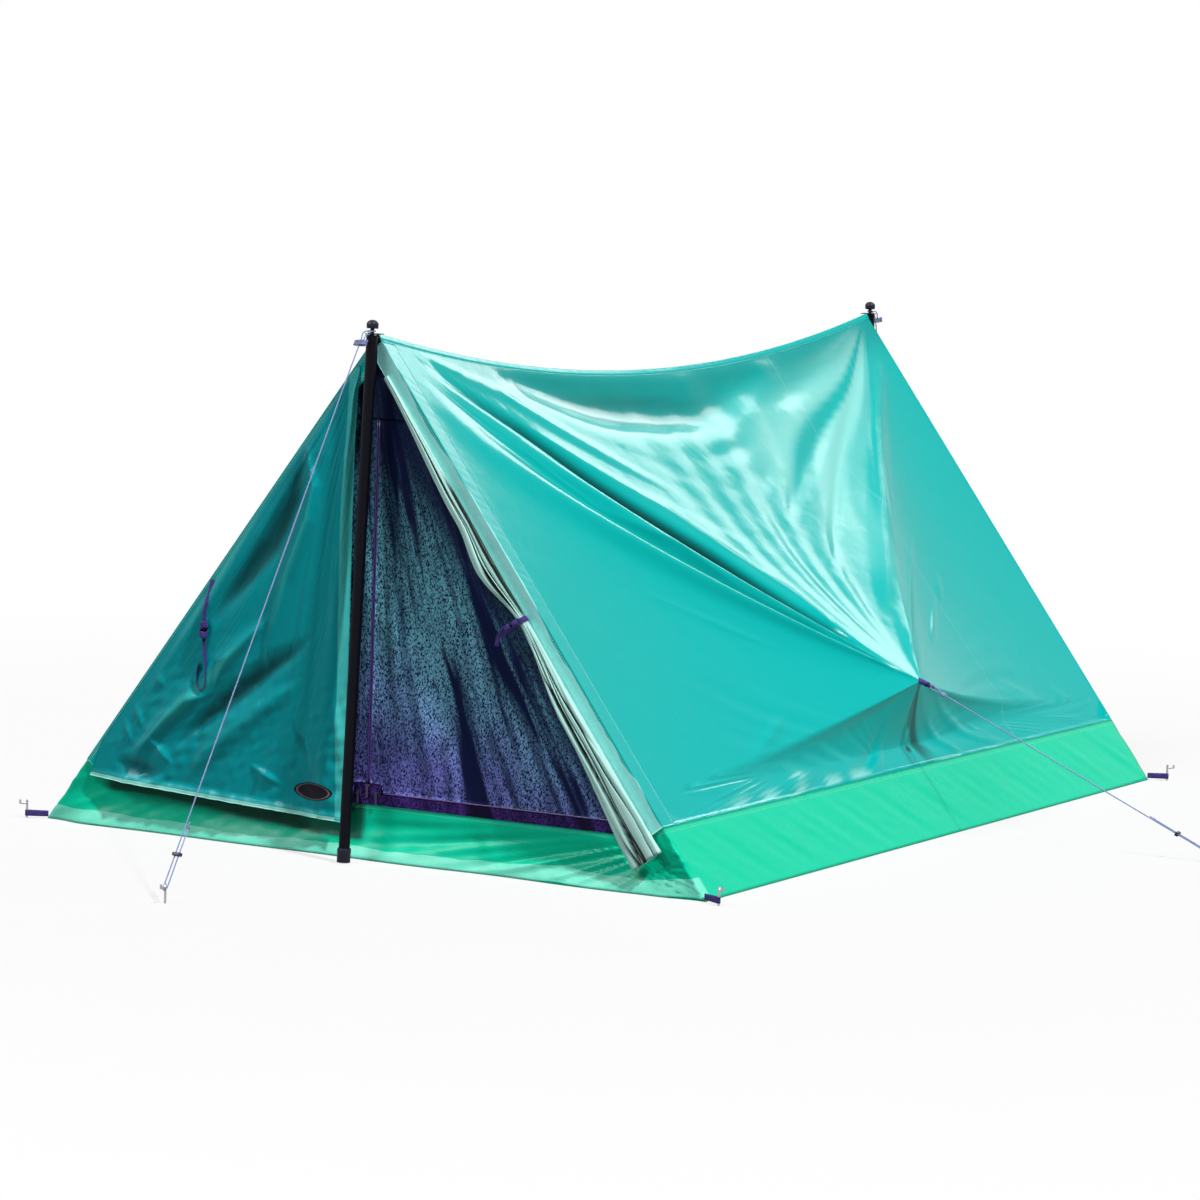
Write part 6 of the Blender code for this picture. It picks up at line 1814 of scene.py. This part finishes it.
def pole_patterns(length):
    """One of each round piece of a pole at the origin, with its height up the pole and its finish."""
    section = (length - TIP_COLLAR - FOOT_SEAT) / 3
    tall = section - POLE_FIT
    cup = [(0.0118, 0.0), (0.0128, 0.0004), (0.0133, 0.0016), (0.0133, 0.0200), (0.0136, 0.0206), (0.0136, 0.0258),
           (0.0131, 0.0275), (0.0124, 0.0280), (0.0116, 0.0277), (0.0113, 0.0268), (0.0113, 0.0064), (0.0111, 0.0060)]
    top = [(0.0110, tall - 0.0003), (0.0107, tall), (0.0103, tall), (0.0100, tall - 0.0004)]
    lower = [(0.0107, 0.0), (0.0110, 0.0003)] + top + [(0.0100, 0.0004), (0.0103, 0.0)]
    upper = [(0.0087, -0.0500), (0.0093, -0.0498), (0.0097, -0.0490), (0.0097, -0.0001), (0.0106, 0.0),
             (0.0110, 0.0004)] + top + [(0.0100, 0.0016), (0.0087, 0.0010)]
    tip = [(0.0090, -0.0300), (0.0097, -0.0293), (0.0097, -0.0018), (0.0108, -0.0017), (0.0110, -0.0014),
           (0.0110, -0.0003), (0.0107, 0.0), (0.0042, 0.0), (0.0040, 0.0003), (0.0040, 0.0210), (0.0030, 0.0220)]
    cap = [(0.0043, 0.0100), (0.0043, 0.0), (0.0104, 0.0), (0.0110, 0.0003), (0.0113, 0.0010), (0.0118, 0.0078)]
    for step in range(1, 9):
        turn = math.radians(90.0 - 10.6 * step)
        cap.append((0.0118 * math.sin(turn), 0.0080 + 0.0090 * math.cos(turn)))
    cap.append((0.0004, 0.0170))
    patterns = {"foot": (drawn_round("foot_cup", cup), 0.0, "plastic")}
    for number, (part, profile) in enumerate((("lower", lower), ("middle", upper), ("upper", upper))):
        patterns[part] = (drawn_round(f"{part}_tube", profile, closed=True), FOOT_SEAT + number * section, "pole")
    patterns["tip"] = (drawn_round("tip_plug", tip), length, "pole")
    patterns["cap"] = (drawn_round("tip_cap", cap), length + PIN_LENGTH - CAP_BORE + POLE_FIT, "plastic")
    return patterns


def coil_tooth():
    """One turn of a zip's coil at the origin, its loop towards +X: a bar with its end drawn over and bevelled."""
    deselect()
    bpy.ops.mesh.primitive_cube_add(size=1.0, location=(0.0, 0.0, 0.0))
    piece = named("coil_tooth")
    piece.scale = (0.0011, 0.0016, 0.0009)
    applied()
    edit(piece)
    pick_faces(piece, lambda middle, way: way.x > 0.9)
    extrude(0.0005, 0.0, 0.0)
    bpy.ops.transform.resize(value=(1.0, 0.62, 0.75), center_override=(0.00105, 0.0, 0.0))
    finish_edit(50.0)
    return piece


def zip_chain(tooth, start, end, toothed):
    """A strip of zip tape with its row of teeth, which point the way of toothed, between the strip's two ends."""
    start = np.array(start)
    way = np.array(end) - start
    along = unit(way)
    length = float(np.linalg.norm(way))
    toothed = np.array(toothed)
    frame_x = Vector(toothed)
    frame_z = Vector(along)
    turn = Matrix((frame_x, frame_z.cross(frame_x), frame_z)).transposed().to_4x4()
    count = int(length / TOOTH_PITCH)

    def add_teeth(cage):
        for number in range(count):
            spot = start + along * (length * (number + 0.5) / count) + toothed * 0.0001
            before = len(cage.verts)
            cage.from_mesh(tooth.data)
            cage.verts.ensure_lookup_table()
            bmesh.ops.transform(cage, matrix=Matrix.Translation(Vector(spot)) @ turn, verts=cage.verts[before:])
        faced_out(cage)

    path = [start + along * length * k / 40 for k in range(41)]
    return remade(tape_mesh(path, toothed, 0.0028, 0.0009, 1), add_teeth)


def hairpin(start, away, normal, length, radius):
    """A narrow loop: out along away, round an eye of the given radius, and back."""
    leg_gap = 0.001
    start = np.array(start)
    away = unit(away)
    normal = unit(normal)
    out = [(0.0, leg_gap), (length * 0.25, leg_gap * 1.02 + radius * 0.1), (length * 0.5, (leg_gap + radius) * 0.5)]
    eye = [math.radians(90 - 22.5 * step) for step in range(9)]
    spots = out + [(length + radius * math.cos(angle), radius * math.sin(angle)) for angle in eye]
    spots += [(reach, -aside) for reach, aside in reversed(out)]
    return [start + away * reach + normal * aside for reach, aside in spots]


def pull_loop(side, peg):
    """The webbing loop at a side wall's pull-out, on the line to its stake."""
    tip = wall_points(side, *pull_foot(), PULL_STANDOFF)
    away = unit(np.array([*peg, STAKE_EYE]) - tip)
    normal = np.cross(away, [0.0, 1.0, 0.0])
    return hairpin(tip + away * 2 * SEAM_GAP, away, normal, 0.028, 0.0026)


def ridge_tab(end):
    """The stiff tab at the ridge's end, with the hole for the pole's pin, its edge softened."""
    near = HALF_LENGTH + SEAM_GAP
    hole_at = HALF_LENGTH + HOLE_OUT
    turn = np.linspace(0.0, math.tau, 48, endpoint=False)
    hole = stacked(0.0046 * np.cos(turn), hole_at + 0.0046 * np.sin(turn))
    rim = []
    for angle in turn:
        way = np.array([math.cos(angle), math.sin(angle)])
        if way[1] >= 0.0:
            rim.append((0.015 * way[0], hole_at + 0.0095 * way[1]))
        else:
            far = min(0.015 / max(abs(way[0]), 1e-9), (hole_at - near) / max(-way[1], 1e-9))
            rim.append((way[0] * far, hole_at + way[1] * far))
    rim = np.array(rim)
    share = np.array([0.0, 0.03, 0.10, 0.35, 0.60, 0.85, 0.95, 1.0])[:, None, None]
    flat = hole[None] + share * (rim - hole)[None]
    crown = np.array([0.0007, 0.0009, 0.0010, 0.0010, 0.0010, 0.0010, 0.0008, 0.0004])[:, None]
    top, low = (stacked(flat[..., 0], end * flat[..., 1], TAB_FOOT + 0.001 + rise) for rise in (crown, -crown))
    return cloth_mesh(top, UP, flat, wrap=True, inner=low)


class RIDGE_TENT_OT_stage(bpy.types.Operator):
    """Plain pale floor, soft lights and the camera"""

    bl_idname = "ridge_tent.stage"
    bl_label = "Stage"

    def execute(self, context):
        settings = context.scene.tent_stage
        deselect()
        bpy.ops.mesh.primitive_grid_add(x_subdivisions=2, y_subdivisions=2, size=60.0, location=(0.0, 0.0, -0.0005))
        floor = named("studio_floor")
        applied()
        floor.data.materials.append(floor_finish())
        light_world(settings.fill_level)
        sun = lamp("key_sun", "SUN", settings.sun_strength, (0.56, -0.14, 0.81), (1.0, 0.99, 0.97))
        sun.data.angle = math.radians(3.0)
        front = lamp("front_sun", "SUN", settings.front_strength, (-0.35, -0.55, 0.76), (1.0, 1.0, 1.0))
        front.data.angle = math.radians(20.0)
        lamp_panel("rear_sheen_panel", settings.sheen_level, (-0.02, 0.857, 0.515), 2.0, 2.1)
        lamp_panel("front_sheen_panel", settings.front_sheen_level, (-0.45, -0.72, 0.50), 3.0, 1.5)
        place_camera(settings.lens)
        return {"FINISHED"}


def floor_finish():
    """Pale floor: nearly white to the camera with the tent's shadow on it, and white further out."""
    finish = Finish("studio_floor")
    at = finish.place()
    x, y, _ = finish.parts(at)
    mottle = finish.noise(at, 3.0, 3.0)
    rays = finish.add("ShaderNodeLightPath").outputs
    seen = Value(finish, rays["Is Camera Ray"])
    pale = finish.mix(mottle, (0.80, 0.80, 0.80), (0.84, 0.84, 0.84))
    finish.done(Base_Color=finish.mix(seen, (0.22, 0.22, 0.22), pale), Roughness=0.9, Specular_IOR_Level=0.1)
    far = x.math("SQRT", x * x + y * y).above(1.6, 4.2)
    glow = finish.add("ShaderNodeEmission", None, {"Color": (1.0, 1.0, 1.0), "Strength": 1.0})
    share = seen * (far * 0.28 + 0.72)
    share = share.math("MAXIMUM", share, Value(finish, rays["Is Glossy Ray"]) * 0.5)
    joined = finish.add("ShaderNodeMixShader", None, {0: share, 1: finish.shader.outputs[0], 2: glow.outputs[0]})
    finish.feed(finish.tree.nodes["Material Output"].inputs["Surface"], joined.outputs[0])
    return finish.material


def light_world(level):
    """Surroundings that light the tent at a plain level and look white to the camera and in gloss."""
    world = bpy.data.worlds.new("studio_world")
    bpy.context.scene.world = world
    world.use_nodes = True
    nodes = Nodes(world.node_tree)
    rays = nodes.add("ShaderNodeLightPath").outputs
    seen = Value(nodes, rays["Is Camera Ray"])
    seen = seen.math("MAXIMUM", seen, rays["Is Transmission Ray"])
    seen = seen.math("MAXIMUM", seen, rays["Is Glossy Ray"])
    reach = nodes.add("ShaderNodeMapRange", None, {"Value": seen, "To Min": level, "To Max": 1.0})
    background = world.node_tree.nodes["Background"].inputs
    nodes.feed(background["Strength"], reach.outputs["Result"])
    nodes.feed(background["Color"], (1.0, 1.0, 1.0))


def lamp(name, kind, strength, direction, colour, distance=6.0):
    """A light shining from a direction at the middle of the tent."""
    data = bpy.data.lights.new(name, kind)
    data.energy = strength
    data.color = colour
    made = bpy.data.objects.new(name, data)
    bpy.context.scene.collection.objects.link(made)
    way = Vector(direction).normalized()
    made.location = Vector((0.0, 0.0, 0.5)) + way * distance
    made.rotation_euler = way.to_track_quat("Z", "Y").to_euler()
    return made


def lamp_panel(name, radiance, direction, wide, high):
    """A soft panel that only the gloss of the cloth shows."""
    panel = lamp(name, "AREA", radiance * math.pi * wide * high, direction, (1.0, 1.0, 1.0), 7.0)
    panel.data.shape = "RECTANGLE"
    panel.data.size = wide
    panel.data.size_y = high
    panel.visible_camera = False
    panel.visible_diffuse = False


def place_camera(lens):
    """The camera of the photograph: in front and to the right, a little above, slightly rolled."""
    turn, rise, roll, distance = 0.5125, 0.1028, 0.0336, 9.7353
    back = Vector((math.sin(turn) * math.cos(rise), -math.cos(turn) * math.cos(rise), math.sin(rise)))
    level = (-back).cross(Vector((0.0, 0.0, 1.0))).normalized()
    upright = level.cross(-back)
    right = level * math.cos(roll) + upright * math.sin(roll)
    up = upright * math.cos(roll) - level * math.sin(roll)
    data = bpy.data.cameras.new("photo_camera")
    data.lens = lens
    data.sensor_width = 36.0
    data.clip_end = 200.0
    made = bpy.data.objects.new("photo_camera", data)
    bpy.context.scene.collection.objects.link(made)
    place = level * -0.0766 + Vector((0.0, 0.0, 0.4264)) + back * distance
    made.matrix_world = Matrix.Translation(place) @ Matrix((right, up, back)).transposed().to_4x4()
    bpy.context.scene.camera = made
    bpy.context.scene.view_settings.view_transform = "Standard"


class RIDGE_TENT_OT_guylines(bpy.types.Operator):
    """The four guylines with their knots and runners"""

    bl_idname = "ridge_tent.guylines"
    bl_label = "Guylines"

    def execute(self, context):
        for word, (route, wraps_from) in GUYLINES.items():
            guyline(word, route, wraps_from)
        return {"FINISHED"}


class RIDGE_TENT_OT_stakes(bpy.types.Operator):
    """Eight wire stakes, one modelled and the others copied"""

    bl_idname = "ridge_tent.stakes"
    bl_label = "Stakes"

    def execute(self, context):
        pattern = wire_stake()
        places = {f"{word}_guy_stake": place for word, place in STAKES.items()}
        for side, hand in SIDES:
            for end, word in ENDS:
                corner, away = corner_place(side, end)
                eye = corner + away * CORNER_REACH
                places[f"{word}_{hand}_corner_stake"] = ((eye.x, eye.y), (away.x, away.y))
        for node, (spot, way) in places.items():
            turn = Matrix.Rotation(math.atan2(way[1], way[0]), 4, "Z")
            new_piece(f"{node}_wire", laid(pattern, Matrix.Translation((*spot, 0.0)) @ turn), "steel", node)
        bpy.data.objects.remove(pattern, do_unlink=True)
        return {"FINISHED"}


class RIDGE_TENT_OT_walls(bpy.types.Operator):
    """The two side walls, the tape on the ridge and the bindings of the front edges"""

    bl_idname = "ridge_tent.walls"
    bl_label = "Side walls"

    def execute(self, context):
        pieces = {}
        for side, word in SIDES:
            wall = new_piece(f"{word}_side_wall", side_wall(side, WALL_SEEDS[word]), "side", f"roof_{word}")
            finish = "lip" if side > 0 else "binding"
            hem = new_piece(f"{word}_binding", hem_binding(side), finish, f"front_hem_{word}")
            pieces[word] = (wall, [hem])
        pieces["right"][1].append(new_piece("ridge_cover", ridge_cover(), "wall", "ridge_tape"))
        return {"FINISHED"}


class RIDGE_TENT_OT_floor(bpy.types.Operator):
    """The tub floor"""

    bl_idname = "ridge_tent.floor"
    bl_label = "Tub floor"

    def execute(self, context):
        floor = new_piece("tub_floor", tub(), "tub", "floor_tub")
        return {"FINISHED"}


class RIDGE_TENT_OT_doorway(bpy.types.Operator):
    """The mesh doors with their zips, the fixed mesh above them and the dark strip on the sill"""

    bl_idname = "ridge_tent.doorway"
    bl_label = "Doorway"

    def execute(self, context):
        new_piece("sill_cover", sill_cover(), "band", "sill_band")
        new_piece("fixed_mesh", gusset(), "mesh", "apex_gusset")
        tooth = coil_tooth()
        for side, word in SIDES:
            body = f"{word}_door"
            door = new_piece(f"{word}_mesh", mesh_door(side), "mesh", f"{word}_mesh_door", body=body)
            x = side * ZIP_MIDDLE
            z = ZIP_LINE + ZIP_MIDDLE
            runs = {
                "centre": ((x, PARK_TOP + 0.003), (x, DOOR_TOP - 0.001), (-side, 0.0, 0.0)),
                "sill": ((side * 0.0335, z), (side * (SILL_WIDTH / 2 - 0.048), z), (0.0, 0.0, -1.0)),
            }
            for run, (start, end, toothed) in runs.items():
                chain = zip_chain(tooth, *((x, -GABLE_PLANE, z) for x, z in (start, end)), toothed)
                new_piece(f"{run}_zip_{word}_chain", chain, "zip", f"{run}_zip_{word}", body=body)
        bpy.data.objects.remove(tooth, do_unlink=True)
        for word in ("centre_zip_slider", "left_sill_slider", "right_sill_slider"):
            give_finish(word, "dark_metal")
        return {"FINISHED"}


class RIDGE_TENT_OT_storm_flaps(bpy.types.Operator):
    """The shut storm flap with its label and loose tie, and the one that is gathered back"""

    bl_idname = "ridge_tent.storm_flaps"
    bl_label = "Storm flaps"

    def execute(self, context):
        body = "left_flap"
        flap = new_piece("left_flap_cloth", storm_flap(), "flap", "left_storm_flap", body=body)
        label = new_piece("blank_label", oval_label(), "label", body=body)
        path, mesh = shut_flap_tie()
        tie = new_piece("shut_tie_tape", mesh, "tape", "left_flap_tie", body=body)
        knot = tie_knot(path[3] + AHEAD * 0.001, path[4] - path[3], 0.0120)
        knot = new_piece("shut_tie_knot", knot, "tape", body=body)
        roll = new_piece("right_flap_roll", rolled_flap(), "roll", "right_storm_flap")
        path, mesh = roll_tie()
        tie = new_piece("roll_tie_tape", mesh, "tape", "right_flap_tie")
        centre = path[3] + AHEAD * 0.002 + INWARD * 0.004
        knot = new_piece("roll_tie_knot", tie_knot(centre, path[3] - path[1], 0.0125), "tape")
        ways = np.array([(0.0, 0.0, 0.0), (-0.014, -0.004, -0.004), (-0.027, -0.004, -0.020), (-0.033, -0.002, -0.042)])
        spare = new_piece("roll_tie_end", tape_mesh(centre + ways, (0.5, 0.5, -0.5), 0.008, 0.0010, 6), "tape")
        return {"FINISHED"}


class RIDGE_TENT_OT_rear_gable(bpy.types.Operator):
    """The rear wall, its bound window and the cover inside it"""

    bl_idname = "ridge_tent.rear_gable"
    bl_label = "Rear gable"

    def execute(self, context):
        wall = new_piece("rear_wall_cloth", rear_cloth(), "wall", "rear_wall")
        binding = new_piece("window_binding", window_binding(), "binding")
        net = new_piece("rear_mesh", window_mesh(), "mesh", "rear_window_mesh")
        cover = new_piece("window_flap_cloth", window_flap(), "wall", "rear_window_flap", body="window_flap")
        return {"FINISHED"}


class RIDGE_TENT_OT_poles(bpy.types.Operator):
    """The two poles with their feet, tips and caps"""

    bl_idname = "ridge_tent.poles"
    bl_label = "Poles"

    def execute(self, context):
        patterns = pole_patterns(pole_stand(1)[1])
        kinds = {"foot": "cup", "tip": "plug", "cap": "dome"}
        for end, word in ENDS:
            stand, _ = pole_stand(end)
            for part, (pattern, height, finish) in patterns.items():
                node = f"{word}_pole_{part}"
                mesh = laid(pattern, stand @ Matrix.Translation((0.0, 0.0, height)))
                new_piece(f"{node}_{kinds.get(part, 'tube')}", mesh, finish, node)
        for pattern, _, _ in patterns.values():
            bpy.data.objects.remove(pattern, do_unlink=True)
        return {"FINISHED"}


class RIDGE_TENT_OT_webbing(bpy.types.Operator):
    """The tabs at the ridge's ends, the pull-outs and the loops at the floor's corners"""

    bl_idname = "ridge_tent.webbing"
    bl_label = "Webbing"

    def execute(self, context):
        for end, word in ENDS:
            new_piece(f"{word}_tab", ridge_tab(end), "dark_tape", f"{word}_apex_tab")
            for side, hand in SIDES:
                corner, away = corner_place(side, end)
                start = corner + away * 2 * SEAM_GAP
                path = hairpin(start, away, (-away.y, away.x, 0.0), CORNER_REACH - 2 * SEAM_GAP, 0.00315)
                loop = tape_mesh(path, UP, 0.012, 0.001)
                new_piece(f"{word}_{hand}_loop_tape", loop, "tape", f"{word}_{hand}_corner_loop")
        for side, word in SIDES:
            loop = pull_loop(side, STAKES[word][0])
            new_piece(f"{word}_pull_tape", tape_mesh(loop, -AHEAD, 0.012, 0.001), "tape", f"{word}_pull_out")
            knot = tie_knot((loop[1] + loop[-2]) / 2, loop[1] - loop[0], 0.0095, UP)
            new_piece(f"{word}_pull_knot", knot, "tape")
        return {"FINISHED"}


class RIDGE_TENT_PT_panel(bpy.types.Panel):
    """The tent's pieces, in the order that they are made"""

    bl_idname = "RIDGE_TENT_PT_panel"
    bl_label = "Ridge Tent"
    bl_space_type = "VIEW_3D"
    bl_region_type = "UI"
    bl_category = "Ridge Tent"

    def draw(self, context):
        for settings in (context.scene.tent_cloth, context.scene.tent_rigging, context.scene.tent_stage):
            for key in settings.bl_rna.properties.keys():
                if key not in ("rna_type", "name"):
                    self.layout.prop(settings, key)
        for operator in OPERATORS:
            self.layout.operator(operator.bl_idname)


GROUPS = (TentClothSettings, TentRiggingSettings, TentStageSettings)
OPERATORS = (
    RIDGE_TENT_OT_guylines,
    RIDGE_TENT_OT_stakes,
    RIDGE_TENT_OT_walls,
    RIDGE_TENT_OT_floor,
    RIDGE_TENT_OT_doorway,
    RIDGE_TENT_OT_storm_flaps,
    RIDGE_TENT_OT_rear_gable,
    RIDGE_TENT_OT_poles,
    RIDGE_TENT_OT_webbing,
    RIDGE_TENT_OT_stage,
)


def register():
    """Make the settings, the operators and the panel known."""
    for kind in (*GROUPS, *OPERATORS, RIDGE_TENT_PT_panel):
        bpy.utils.register_class(kind)
    bpy.types.Scene.tent_cloth = bpy.props.PointerProperty(type=TentClothSettings)
    bpy.types.Scene.tent_rigging = bpy.props.PointerProperty(type=TentRiggingSettings)
    bpy.types.Scene.tent_stage = bpy.props.PointerProperty(type=TentStageSettings)


def unregister():
    """Undo what register did."""
    for key in ("tent_cloth", "tent_rigging", "tent_stage"):
        delattr(bpy.types.Scene, key)
    for kind in reversed((*GROUPS, *OPERATORS, RIDGE_TENT_PT_panel)):
        bpy.utils.unregister_class(kind)


def main():
    """Make every piece in order."""
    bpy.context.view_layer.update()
    register()
    for operator in OPERATORS:
        group, name = operator.bl_idname.split(".")
        result = getattr(getattr(bpy.ops, group), name)()
        if "FINISHED" not in result:
            raise RuntimeError(f"{operator.bl_label} was not made")


if __name__ == "__main__":
    main()
